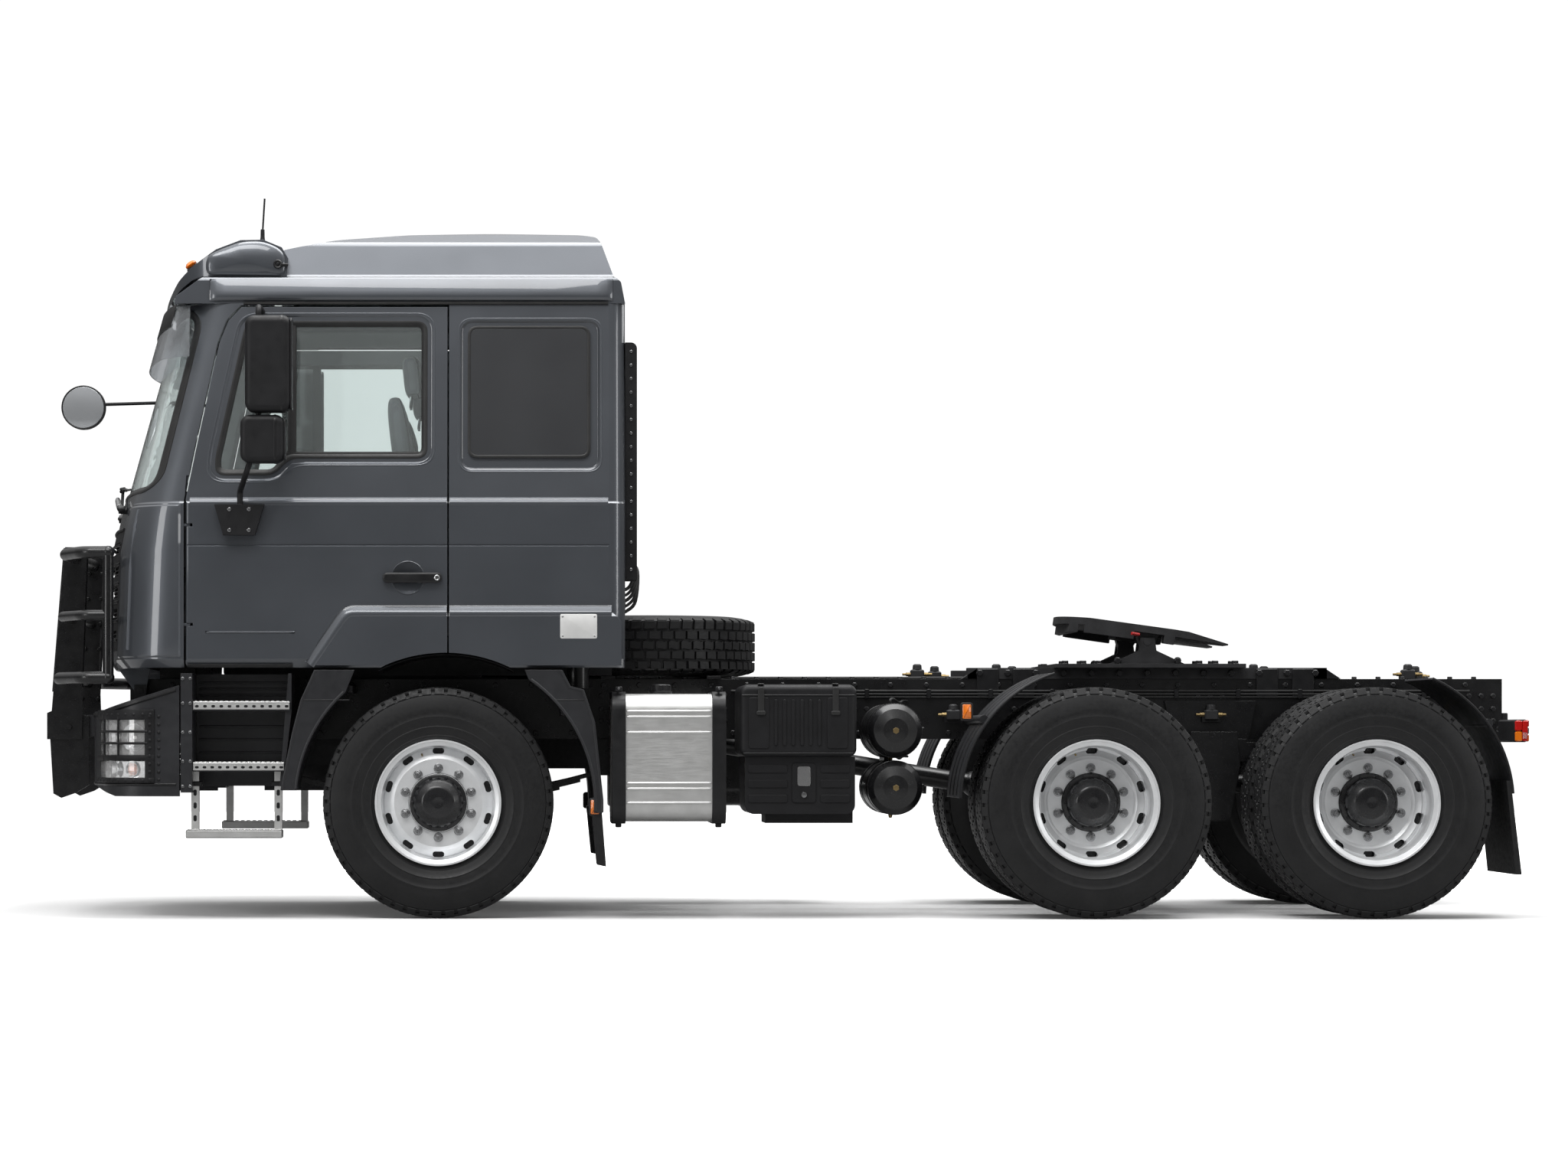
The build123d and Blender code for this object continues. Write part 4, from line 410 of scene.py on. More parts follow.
@dataclass(frozen=True)
class Lens(Finish):
    """A moulded lamp lens, coloured or clear, with fine fluting."""

    colour: Colour = (0.9, 0.9, 0.9)
    clear: float = 0.85
    roughness: float = 0.06
    flutes: float = 260.0

    def dress(self, shader: Shader) -> None:
        """Build a clear moulding with vertical flutes inside it.

        Args:
            shader: The fresh material.
        """
        shader.set(Base_Color=self.colour, Transmission_Weight=self.clear, Roughness=self.roughness,
                   IOR=1.49, Coat_Weight=0.6)
        shader.relief(shader.wave(self.flutes / 20.0), 0.0006, 0.25)


@dataclass(frozen=True)
class Woven(Finish):
    """Woven seat cloth with a fine check."""

    colour: Colour = (0.07, 0.075, 0.085)
    thread: Colour = (0.15, 0.155, 0.17)
    pitch: float = 0.004

    def dress(self, shader: Shader) -> None:
        """Build crossing threads in colour and relief with a soft sheen.

        Args:
            shader: The fresh material.
        """
        shader.set(Roughness=0.85, Sheen_Weight=0.4, Sheen_Roughness=0.5)
        scale = 0.314 / self.pitch
        weave = shader.sum(Sum.MAXIMUM, shader.wave(scale, Bands.SLANTED), shader.wave(scale))
        shader.tint(weave, self.colour, self.thread)
        shader.relief(weave, 0.0006, 0.5)


PAINT = MetallicPaint("graphite_lacquer", "paint")
PLASTIC = Plastic("grained_plastic", "black_plastic")
SATIN = Plastic("satin_plastic", "black_plastic", (0.005, 0.005, 0.0056), (0.009, 0.009, 0.01), 0.36,
                depth=0.0001, shine=0.4)
GRAPHITE = Plastic("graphite_plastic", "black_plastic", (0.0125, 0.0128, 0.0148), (0.018, 0.0185, 0.021),
                   0.4, depth=0.0001, shine=0.45)
CHASSIS = ChassisPaint("chassis_enamel", "chassis_black")
WHEEL = Metal("wheel_lacquer", "wheel_silver", (0.85, 0.86, 0.87), (0.76, 0.77, 0.78), 0.34, metallic=0.55,
              grain=500.0, strength=0.05)
TYRE = Rubber("tyre_rubber", "tyre")
SEAL = Rubber("seal_rubber", "rubber", (0.012, 0.012, 0.012), (0.02, 0.02, 0.02), 0.48)
GLASS = Glass("tinted_glass", "glass")
ACRYLIC = Glass("smoked_acrylic", "glass", (0.5, 0.52, 0.54), clear=0.85, roughness=0.04)
CLEAR_LENS = Lens("clear_lens", "lamp")
AMBER_LENS = Lens("amber_lens", "lamp", (0.95, 0.22, 0.01), clear=0.25)
RED_LENS = Lens("red_lens", "lamp", (0.6, 0.012, 0.01), clear=0.25)
ALLOY = Metal("brushed_alloy", "aluminium", (0.68, 0.68, 0.67), (0.6, 0.6, 0.59), 0.44,
              stretch=(0.05, 1.0, 1.0))
STEEL = Metal("machined_steel", "steel", (0.5, 0.5, 0.5), (0.4, 0.4, 0.4), 0.3)
IRON = Metal("cast_iron", "iron", (0.032, 0.032, 0.034), (0.018, 0.018, 0.019), 0.55, metallic=0.4,
             grain=220.0, depth=0.0008, strength=0.4)
CHROME = Metal("chrome", "steel", (0.8, 0.81, 0.82), (0.74, 0.75, 0.76), 0.1, strength=0.01)
TRIM = Plastic("cab_trim", "trim", (0.075, 0.078, 0.085), (0.095, 0.098, 0.105), 0.6)
CLOTH = Woven("seat_cloth", "fabric")
HUB_BLACK = ChassisPaint("hub_enamel", "chassis_black", (0.01, 0.01, 0.011), (0.03, 0.03, 0.031), 0.26)
NUT = Metal("dark_plating", "steel", (0.34, 0.345, 0.35), (0.22, 0.22, 0.225), 0.26)
BRASS = Metal("brass", "steel", (0.3, 0.22, 0.1), (0.2, 0.15, 0.08), 0.42)
PLATE = Metal("blank_plate", "aluminium", (0.78, 0.78, 0.77), (0.7, 0.7, 0.69), 0.42, metallic=0.5)
DARK_PANEL = MetallicPaint("dark_lacquer", "paint", (0.03, 0.031, 0.034), (0.05, 0.052, 0.056), 0.4)
REFLECTOR = Metal("reflector", "lamp", (0.86, 0.87, 0.88), (0.8, 0.81, 0.82), 0.08, strength=0.01)
LAMP_DARK = Plastic("lamp_housing", "lamp", (0.03, 0.03, 0.032), (0.05, 0.05, 0.052), 0.4)
AMBER_BULB = Plastic("amber_bulb", "lamp", (0.9, 0.22, 0.01), (0.82, 0.16, 0.008), 0.25, depth=0.0)
BULB = Plastic("bulb", "lamp", (0.85, 0.85, 0.82), (0.8, 0.8, 0.76), 0.2, depth=0.0)
MIRROR = Metal("mirror_glass", "glass", (0.62, 0.64, 0.66), (0.6, 0.62, 0.64), 0.12, metallic=0.7,
               strength=0.005)
NUT_BLACK = ChassisPaint("painted_bolt", "chassis_black", (0.012, 0.012, 0.013), (0.05, 0.05, 0.05), 0.24)
RED_ENAMEL = Plastic("red_enamel", "lamp", (0.42, 0.012, 0.012), (0.3, 0.02, 0.02), 0.35)
PIPING = Plastic("seat_piping", "fabric", (0.012, 0.012, 0.013), (0.02, 0.02, 0.021), 0.6)
BLUE_CAP = Plastic("blue_cap", "black_plastic", (0.01, 0.05, 0.3), (0.02, 0.08, 0.36), 0.4)


class Axis(Enum):
    """An axis that a shape is turned about."""

    X = 0
    Y = 1
    Z = 2


def placed(name: str, mesh: bpy.types.Mesh, finish: Finish, body: str,
           smooth: float = 35.0) -> bpy.types.Object:
    """Make a mesh a finished piece that rides on a body.

    Args:
        name: The piece's name.
        mesh: The mesh, with its place in its vertices.
        finish: The finish of the whole piece, unless it already has materials.
        body: The CAD body that it rides on.
        smooth: The angle in degrees below which edges are shaded smooth.

    Returns:
        The new object.
    """
    if not mesh.materials:
        mesh.materials.append(finish.material())
    mesh.shade_smooth()
    mesh.set_sharp_from_angle(angle=math.radians(smooth))
    piece = bpy.data.objects.new(name, mesh)
    mesh.name = name
    bpy.context.scene.collection.objects.link(piece)
    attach(piece, body)
    LOG.info("%s on %s: %d faces", name, body, len(mesh.polygons))
    return piece


@dataclass
class Shape:
    """A mesh under construction, in metres, with a finish number per face."""

    bm: bmesh.types.BMesh = field(default_factory=bmesh.new)
    finishes: list[Finish] = field(default_factory=list)

    def number(self, finish: Finish | None) -> int:
        """Find a finish's number in the shape, adding it if it is new.

        Args:
            finish: The finish, or None for the first one.

        Returns:
            Its number.
        """
        if finish is None:
            return 0
        if finish not in self.finishes:
            self.finishes.append(finish)
        return self.finishes.index(finish)

    def add(self, points: Iterable[Point], faces: Iterable[Sequence[int]],
            finish: Finish | None = None) -> None:
        """Add points and the faces between them.

        Args:
            points: The places of the points.
            faces: The faces, by the numbers of their points.
            finish: The finish of the faces.
        """
        made = [self.bm.verts.new(p) for p in points]
        kind = self.number(finish)
        for face in faces:
            corners = [made[i] for i in face]
            if len(set(corners)) > 2:
                self.bm.faces.new(corners).material_index = kind

    def rings(self, rings: Sequence[Sequence[Point]], finish: Finish | None = None, closed: bool = True,
              capped: bool = True, looped: bool = False) -> None:
        """Skin a row of rings that have as many points each.

        Args:
            rings: The rings, in order.
            finish: The finish of the skin.
            closed: Whether each ring closes on itself.
            capped: Whether the first and last ring are filled.
            looped: Whether the last ring joins the first.
        """
        count = len(rings[0])
        faces: list[Sequence[int]] = []
        rows = len(rings) if looped else len(rings) - 1
        for r in range(rows):
            a, b = r * count, ((r + 1) % len(rings)) * count
            for i in range(count if closed else count - 1):
                j = (i + 1) % count
                faces.append((a + i, a + j, b + j, b + i))
        if capped and not looped:
            faces.append(tuple(reversed(range(count))))
            faces.append(tuple(range((len(rings) - 1) * count, len(rings) * count)))
        self.add([p for ring in rings for p in ring], faces, finish)

    def box(self, low: Point, high: Point, finish: Finish | None = None, ease: float = 0.0) -> None:
        """Add a block between two corners.

        Args:
            low: One corner.
            high: The opposite corner.
            finish: The block's finish.
            ease: How far its edges are cut back.
        """
        x0, y0, z0 = (min(a, b) for a, b in zip(low, high))
        x1, y1, z1 = (max(a, b) for a, b in zip(low, high))
        e = min(ease, 0.45 * (x1 - x0), 0.45 * (y1 - y0), 0.45 * (z1 - z0))

        def ring(z: float, pull: float) -> list[Point]:
            """Make one level of the block, with its corners cut by the ease.

            Args:
                z: Its height.
                pull: How far it is drawn in.

            Returns:
                The level's points.
            """
            a, b, c, d = x0 + pull, x1 - pull, y0 + pull, y1 - pull
            return [(a + e, c, z), (b - e, c, z), (b, c + e, z), (b, d - e, z),
                    (b - e, d, z), (a + e, d, z), (a, d - e, z), (a, c + e, z)]

        self.rings([ring(z0, e), ring(z0 + e, 0), ring(z1 - e, 0), ring(z1, e)], finish)

    def spin(self, profile: Sequence[Flat], centre: Point, axis: Axis = Axis.Y, steps: int = 48,
             finish: Finish | None = None, closed: bool = True) -> None:
        """Turn a profile about an axis through a point.

        Args:
            profile: Pairs of place along the axis and radius.
            centre: The point that the axis passes through.
            axis: The axis.
            steps: Facets round the turn.
            finish: The finish of the skin.
            closed: Whether the profile closes on itself, or ends in a flat cap at both ends.
        """
        rings, k = [], axis.value
        for n in range(steps):
            angle = 2 * math.pi * n / steps
            ring = []
            for along, radius in profile:
                offset = (along, radius * math.cos(angle), radius * math.sin(angle))
                ring.append(tuple(a + b for a, b in zip(centre, offset[3 - k:] + offset[:3 - k])))
            rings.append(ring)
        self.rings(rings, finish, closed=closed, looped=True)
        if not closed:
            for end in (0, -1):
                self.add([ring[end] for ring in rings], [tuple(range(steps))], finish)

    def tube(self, path: Sequence[Point], radius: float, finish: Finish | None = None,
             sides: int = 12) -> None:
        """Add a round bar along a path, with mitred corners.

        Args:
            path: The path's points.
            radius: The bar's radius.
            finish: The bar's finish.
            sides: Facets round it.
        """
        points = [Vector(p) for p in path]
        ahead = (points[1] - points[0]).normalized()
        side = ahead.orthogonal().normalized()
        rings = []
        for i, point in enumerate(points):
            into = (point - points[i - 1]).normalized() if i else ahead
            out = (points[i + 1] - point).normalized() if i < len(points) - 1 else into
            mean = (into + out).normalized()
            side = (side - mean * side.dot(mean)).normalized()
            other = mean.cross(side)
            wide = 1.0 / max(0.35, mean.dot(into))
            turn = out - into
            ring = []
            for k in range(sides):
                angle = 2 * math.pi * k / sides
                offset = side * math.cos(angle) + other * math.sin(angle)
                if turn.length > 1e-6:
                    bend = turn.normalized()
                    bend = (bend - mean * bend.dot(mean)).normalized()
                    offset = offset + bend * offset.dot(bend) * (wide - 1.0)
                ring.append(tuple(point + offset * radius))
            rings.append(ring)
        self.rings(rings, finish)

    def stack(self, outline: Sequence[Flat], levels: Sequence[Flat], place: Place,
              finish: Finish | None = None, looped: bool = False) -> None:
        """Skin copies of a closed outline that stand over a face.

        Args:
            outline: The outline on the face.
            levels: Pairs of height over the face and growth of the outline.
            place: The rule that turns the outline's two measures and a height into a place.
            finish: The finish of the skin.
            looped: Whether the last level joins the first.
        """
        self.rings([[place(a, b, out) for a, b in grown(outline, by)] for out, by in levels], finish,
                   looped=looped)

    def mesh(self, name: str, merge: float = 1e-6) -> bpy.types.Mesh:
        """Finish the shape, with its faces outwards.

        Args:
            name: The mesh's name.
            merge: How close points are joined, or 0 for none.

        Returns:
            The mesh with its materials.
        """
        if merge:
            bmesh.ops.remove_doubles(self.bm, verts=self.bm.verts, dist=merge)
        bmesh.ops.recalc_face_normals(self.bm, faces=self.bm.faces)
        mesh = bpy.data.meshes.new(name)
        self.bm.to_mesh(mesh)
        self.bm.free()
        for finish in self.finishes:
            mesh.materials.append(finish.material())
        return mesh

    def piece(self, name: str, body: str, finish: Finish, smooth: float = 35.0) -> bpy.types.Object:
        """Finish the shape as a piece on a body, with a finish's slot, and return it."""
        return placed(name, self.mesh(name), finish, body, smooth)


def arc(centre: Flat, radius: float, start: float, end: float, steps: int = 8) -> list[Flat]:
    """Return points along an arc, from start to end in degrees."""
    angles = [math.radians(start + (end - start) * i / steps) for i in range(steps + 1)]
    return [(centre[0] + radius * math.cos(a), centre[1] + radius * math.sin(a)) for a in angles]


def around(radius: float, count: int, z: float) -> list[Point]:
    """Return a level ring of points about the origin."""
    angles = [2 * math.pi * i / count for i in range(count)]
    return [(radius * math.cos(a), radius * math.sin(a), z) for a in angles]


def rounded(low: Flat, high: Flat, radius: float, steps: int = 5) -> list[Flat]:
    """Return the outline of a rectangle with rounded corners.

    Args:
        low: The low corner.
        high: The high corner.
        radius: The corners' radius.
        steps: Facets in each corner.

    Returns:
        The outline.
    """
    (a, b), (c, d) = (low[0] + radius, low[1] + radius), (high[0] - radius, high[1] - radius)
    corners = ((c, d), (a, d), (a, b), (c, b))
    return [p for n, corner in enumerate(corners) for p in arc(corner, radius, 90 * n, 90 * n + 90, steps)]


def eased(corners: Sequence[Flat], radius: float, steps: int = 4) -> list[Flat]:
    """Return a closed outline with its corners rounded.

    Args:
        corners: The outline's corners.
        radius: About how far each is rounded.
        steps: Facets in each corner.

    Returns:
        The rounded outline.
    """
    out: list[Flat] = []
    for i, corner in enumerate(corners):
        here = Vector(corner)
        ends = []
        for other in (corners[i - 1], corners[(i + 1) % len(corners)]):
            way = Vector(other) - here
            ends.append(here + way.normalized() * min(radius, 0.45 * way.length))
        for k in range(steps + 1):
            t = k / steps
            out.append(tuple(ends[0] * (1 - t) ** 2 + here * 2 * t * (1 - t) + ends[1] * t ** 2))
    return out


@dataclass
class Repeat:
    """One small shape set out many times by a Geometry Nodes tree.

    Attributes:
        name: The name of the piece that results.
        body: The CAD body that it rides on.
        finish: Its finish.
    """

    name: str
    body: str
    finish: Finish

    def on(self, shape: bpy.types.Mesh, spots: Sequence[tuple[Point, Point]]) -> bpy.types.Object:
        """Set the shape on pairs of a place and a direction, and return the finished piece."""
        return placed(self.name, self.mesh(shape, spots), self.finish, self.body)

    def tree(self, pivot: Axis | None) -> bpy.types.NodeTree:
        """Build the tree that sets a part on points.

        Args:
            pivot: The axis that each copy may turn about, or None for any.

        Returns:
            The tree, whose inputs are Geometry, Size and Part.
        """
        tree = bpy.data.node_groups.new(f"set_out_{self.name}", "GeometryNodeTree")
        for label, way, kind in (("Geometry", "INPUT", "Geometry"), ("Geometry", "OUTPUT", "Geometry"),
                                 ("Size", "INPUT", "Float"), ("Part", "INPUT", "Object")):
            tree.interface.new_socket(label, in_out=way, socket_type=f"NodeSocket{kind}")
        graph = Graph(tree)
        source = graph.add("NodeGroupInput", {}).outputs
        facing = graph.add("GeometryNodeInputNamedAttribute", {"Name": "facing"}, data_type="FLOAT_VECTOR")
        turn = graph.add("FunctionNodeAlignRotationToVector", {"Vector": facing.outputs["Attribute"]},
                         axis="Z", pivot_axis=pivot.name if pivot else "AUTO")
        part = graph.add("GeometryNodeObjectInfo", {"Object": source["Part"]})
        copies = graph.add("GeometryNodeInstanceOnPoints", {
            "Points": source["Geometry"], "Instance": part.outputs["Geometry"],
            "Rotation": turn.outputs["Rotation"], "Scale": source["Size"]})
        real = graph.add("GeometryNodeRealizeInstances", {"Geometry": copies.outputs["Instances"]})
        paint = graph.add("GeometryNodeSetMaterial", {"Geometry": real.outputs["Geometry"],
                                                      "Material": self.finish.material()})
        graph.add("NodeGroupOutput", {"Geometry": paint.outputs["Geometry"]})
        return tree

    def mesh(self, shape: bpy.types.Mesh, spots: Sequence[tuple[Point, Point]],
             pivot: Axis | None = None) -> bpy.types.Mesh:
        """Set the shape on points, its Z axis along each point's direction.

        Args:
            shape: The shape, about its own origin.
            spots: Pairs of a place and a direction.
            pivot: The axis that each copy may turn about, or None for any.

        Returns:
            The mesh of all the copies.
        """
        cloud = bpy.data.meshes.new(f"{self.name}_spots")
        cloud.from_pydata([place for place, _ in spots], [], [])
        facing = cloud.attributes.new("facing", "FLOAT_VECTOR", "POINT")
        facing.data.foreach_set("vector", [v for _, way in spots for v in Vector(way).normalized()])
        pattern = bpy.data.objects.new(f"{self.name}_pattern", shape)
        carrier = bpy.data.objects.new(f"{self.name}_carrier", cloud)
        for item in (pattern, carrier):
            bpy.context.scene.collection.objects.link(item)
        modifier = carrier.modifiers.new("repeat", "NODES")
        modifier.node_group = self.tree(pivot)
        for label, value in (("Size", 1.0), ("Part", pattern)):
            modifier[modifier.node_group.interface.items_tree[label].identifier] = value
        bpy.context.view_layer.update()
        graph = bpy.context.evaluated_depsgraph_get()
        mesh = bpy.data.meshes.new_from_object(carrier.evaluated_get(graph), preserve_all_data_layers=True,
                                               depsgraph=graph)
        bpy.data.node_groups.remove(modifier.node_group)
        for item in (pattern, carrier):
            bpy.data.objects.remove(item)
        return mesh


def hex_bolt(across: float, high: float) -> bpy.types.Mesh:
    """Make a chamfered hexagon head with a washer under it, standing on its origin.

    Args:
        across: Its width across the flats.
        high: Its height.

    Returns:
        The mesh.
    """
    shape = Shape()
    corner, foot = across / math.sqrt(3.0), high * 0.14
    shape.rings([around(across * 0.625, 12, z) for z in (0.0, foot)])
    shape.rings([around(corner * k, 6, z) for z, k in ((foot, 1.0), (high * 0.86, 1.0), (high, 0.84))])
    return shape.mesh("hex_bolt", merge=0)


@dataclass(frozen=True)
class SoftBox:
    """One soft rectangular lamp."""

    name: str
    place: Point
    target: Point
    size: Flat
    watts: float


@dataclass
class Studio:
    """The pale floor, the soft lamps and the camera."""

    eye: Point = (-1.1655, -21.165, 0.848)
    lens: float = 95.0
    sensor: float = 36.0
    sight: float = 200.0
    shift: Flat = (0.158, 0.099)
    floor_size: float = 60.0
    floor_drop: float = 0.001
    floor_colour: Colour = (0.82, 0.82, 0.82)
    floor_bounce: Colour = (0.3, 0.3, 0.3)
    lift_near: float = 0.03
    lift_far: float = 1.05
    clear: Flat = (0.15, 2.4)
    sky: tuple[Flat, ...] = ((0.0, 0.05), (0.1, 0.07), (0.42, 0.42), (1.0, 1.7))
    lamps: tuple[SoftBox, ...] = (
        SoftBox("key", (-4.0, -7.5, 9.5), (-0.4, 0.0, 1.2), (8.0, 3.0), 520.0),
        SoftBox("top", (0.3, -1.0, 8.5), (0.3, 0.0, 0.0), (9.0, 4.0), 700.0),
        SoftBox("front_strip", (-11.0, -9.0, 2.8), (-1.9, -1.0, 1.9), (2.6, 5.0), 210.0),
        SoftBox("rear_strip", (12.0, -8.0, 3.4), (0.0, -1.0, 1.6), (2.6, 5.0), 190.0),
        SoftBox("rear_fill", (8.0, 5.0, 6.0), (1.0, 0.0, 1.2), (5.0, 4.0), 160.0),
    )

    def camera(self) -> None:
        """Set the camera level, looking along +Y from the nearside."""
        data = bpy.data.cameras.new("camera")
        data.lens, data.sensor_width, data.clip_end = self.lens, self.sensor, self.sight
        data.shift_x, data.shift_y = self.shift
        camera = bpy.data.objects.new("camera", data)
        camera.location = self.eye
        camera.rotation_euler = (math.radians(90), 0, 0)
        bpy.context.scene.collection.objects.link(camera)
        bpy.context.scene.camera = camera

    def away(self, shader: Shader) -> bpy.types.NodeSocket:
        """Work out how far a floor point lies outside the object's footprint.

        Args:
            shader: The floor's shader.

        Returns:
            A value that goes from near to far lift.
        """
        low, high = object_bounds()
        centre, half = (low + high) / 2, (high - low) / 2
        split = shader.add("ShaderNodeSeparateXYZ", {"Vector": shader.coordinates})
        gaps = []
        for axis, mid, reach in (("X", centre.x, half.x), ("Y", centre.y, half.y)):
            off = shader.sum(Sum.ABSOLUTE, shader.sum(Sum.SUBTRACT, split.outputs[axis], mid))
            outside = shader.sum(Sum.MAXIMUM, shader.sum(Sum.SUBTRACT, off, reach), 0)
            gaps.append(shader.sum(Sum.POWER, outside, 2))
        gap = shader.sum(Sum.ROOT, shader.sum(Sum.ADD, *gaps))
        return shader.spread(gap, self.lift_near, self.lift_far, *self.clear)

    def floor(self) -> None:
        """Lay a pale floor that is white to the camera away from the shadow."""
        shader = Shader("studio_floor")
        shader.set(Roughness=0.9, Specular_IOR_Level=0.1, Emission_Color=(1.0, 1.0, 1.0))
        ray = shader.add("ShaderNodeLightPath", {}).outputs
        shader.tint(ray["Is Camera Ray"], self.floor_bounce, self.floor_colour)
        seen = shader.sum(Sum.MAXIMUM, ray["Is Camera Ray"], ray["Is Transmission Ray"])
        lift = shader.sum(Sum.MULTIPLY, seen, self.away(shader))
        shader.links.new(lift, shader.surface.inputs["Emission Strength"])
        half = self.floor_size / 2
        mesh = bpy.data.meshes.new("floor")
        corners = ((-half, -half), (half, -half), (half, half), (-half, half))
        mesh.from_pydata([(x, y, -self.floor_drop) for x, y in corners], [], [(0, 1, 2, 3)])
        mesh.materials.append(shader.material)
        floor = bpy.data.objects.new("floor", mesh)
        bpy.context.scene.collection.objects.link(floor)
        floor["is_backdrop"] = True

    def world(self) -> None:
        """Light the scene from a sky that is dim at the horizon and white to the camera."""
        world = bpy.data.worlds.new("studio")
        bpy.context.scene.world = world
        world.use_nodes = True
        world.node_tree.nodes.clear()
        sky = Graph(world.node_tree)
        top = max(level for _, level in self.sky)
        place = sky.add("ShaderNodeTexCoord", {})
        split = sky.add("ShaderNodeSeparateXYZ", {"Vector": place.outputs["Generated"]})
        ramp = sky.add("ShaderNodeValToRGB", {"Fac": split.outputs["Z"]})
        stops = ramp.color_ramp.elements
        while len(stops) < len(self.sky):
            stops.new(0.5)
        for stop, (height, level) in zip(stops, self.sky):
            stop.position, stop.color = height, (level / top, level / top, level / top, 1.0)
        plain = sky.add("ShaderNodeBackground", {"Color": ramp.outputs["Color"], "Strength": top})
        white = sky.add("ShaderNodeBackground", {"Color": (1.0, 1.0, 1.0, 1.0), "Strength": self.lift_far})
        ray = sky.add("ShaderNodeLightPath", {}).outputs
        seen = sky.sum(Sum.MAXIMUM, ray["Is Camera Ray"], ray["Is Transmission Ray"])
        mix = sky.add("ShaderNodeMixShader", {"Fac": seen, 1: plain.outputs[0], 2: white.outputs[0]})
        sky.add("ShaderNodeOutputWorld", {"Surface": mix.outputs[0]})

    def lamp(self, box: SoftBox) -> None:
        """Hang one soft rectangular lamp.

        Args:
            box: The lamp's place, target, size and power.
        """
        data = bpy.data.lights.new(box.name, "AREA")
        data.shape, data.size, data.size_y, data.energy = "RECTANGLE", box.size[0], box.size[1], box.watts
        lamp = bpy.data.objects.new(box.name, data)
        lamp.location = box.place
        lamp.rotation_euler = (Vector(box.target) - Vector(box.place)).to_track_quat("-Z", "Y").to_euler()
        bpy.context.scene.collection.objects.link(lamp)

    def build(self) -> None:
        """Make the camera, the floor, the sky and the lamps."""
        bpy.context.scene.view_settings.view_transform = "Standard"
        self.camera()
        self.floor()
        self.world()
        for box in self.lamps:
            self.lamp(box)


@dataclass
class CadFinishes:
    """Gives each CAD node that stays in view its finish."""

    by_node: dict[str, Finish] = field(default_factory=lambda: {
        **dict.fromkeys(("cab_front", "cab_rear", "cab_roof", "roof_visor", "door_left", "door_right"),
                        PAINT),
        **dict.fromkeys(("windscreen", "door_glass_left", "door_glass_right"), GLASS),
        **dict.fromkeys(("grille", "air_intake", "mirror_left", "mirror_right", "front_mirror", "wipers",
                         "battery_box", "air_filter"), PLASTIC),
        **dict.fromkeys(("frame_rails", "frame_crossmembers", "chassis_brackets", "rear_axles", "front_axle",
                         "leaf_springs", "drive_shafts", "knuckle_left", "knuckle_right", "tie_rod",
                         "exhaust_silencer", "air_tanks", "radiator", "front_guard"), CHASSIS),
        **dict.fromkeys(("front_bumper", "mudguards", "entry_steps"), GRAPHITE),
        **dict.fromkeys(("engine", "fifth_wheel_base", "fifth_wheel_plate"), IRON),
        **dict.fromkeys(("cab_floor", "dashboard", "steering_wheel"), TRIM),
        "sun_visor": ACRYLIC,
        "seats": CLOTH,
        "lamps": CLEAR_LENS,
        "mudflaps": TYRE,
        "fuel_tank": ALLOY,
    })

    def build(self) -> None:
        """Put each finish on its node."""
        for name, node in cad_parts.items():
            if node.hide_render:
                continue
            if name.startswith("tyre") or name == "spare_tyre":
                finish: Finish = TYRE
            elif name.startswith("rim") or name == "spare_rim":
                finish = WHEEL
            else:
                finish = self.by_node[name]
            node.data.materials.clear()
            node.data.materials.append(finish.material())


def middle(node: str) -> Vector:
    """Return the middle of a CAD node's box."""
    low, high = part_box(node)
    return (low + high) / 2


FRONT_AXLE = middle("tyre_front_left").x
HUB_Z = middle("tyre_front_left").z


class Side(Enum):
    """A side of the truck, with its sign along Y."""

    LEFT = -1
    RIGHT = 1

    def __str__(self) -> str:
        """Return the word that the names of pieces and bodies use."""
        return self.name.lower()


SIDES = tuple((side, side.value) for side in Side)


def spot(x: float, y: float, z: float) -> Point:
    """Return a place in metres from millimetres behind the front axle, off the middle and up."""
    return (FRONT_AXLE + x * MM, y * MM, z * MM)


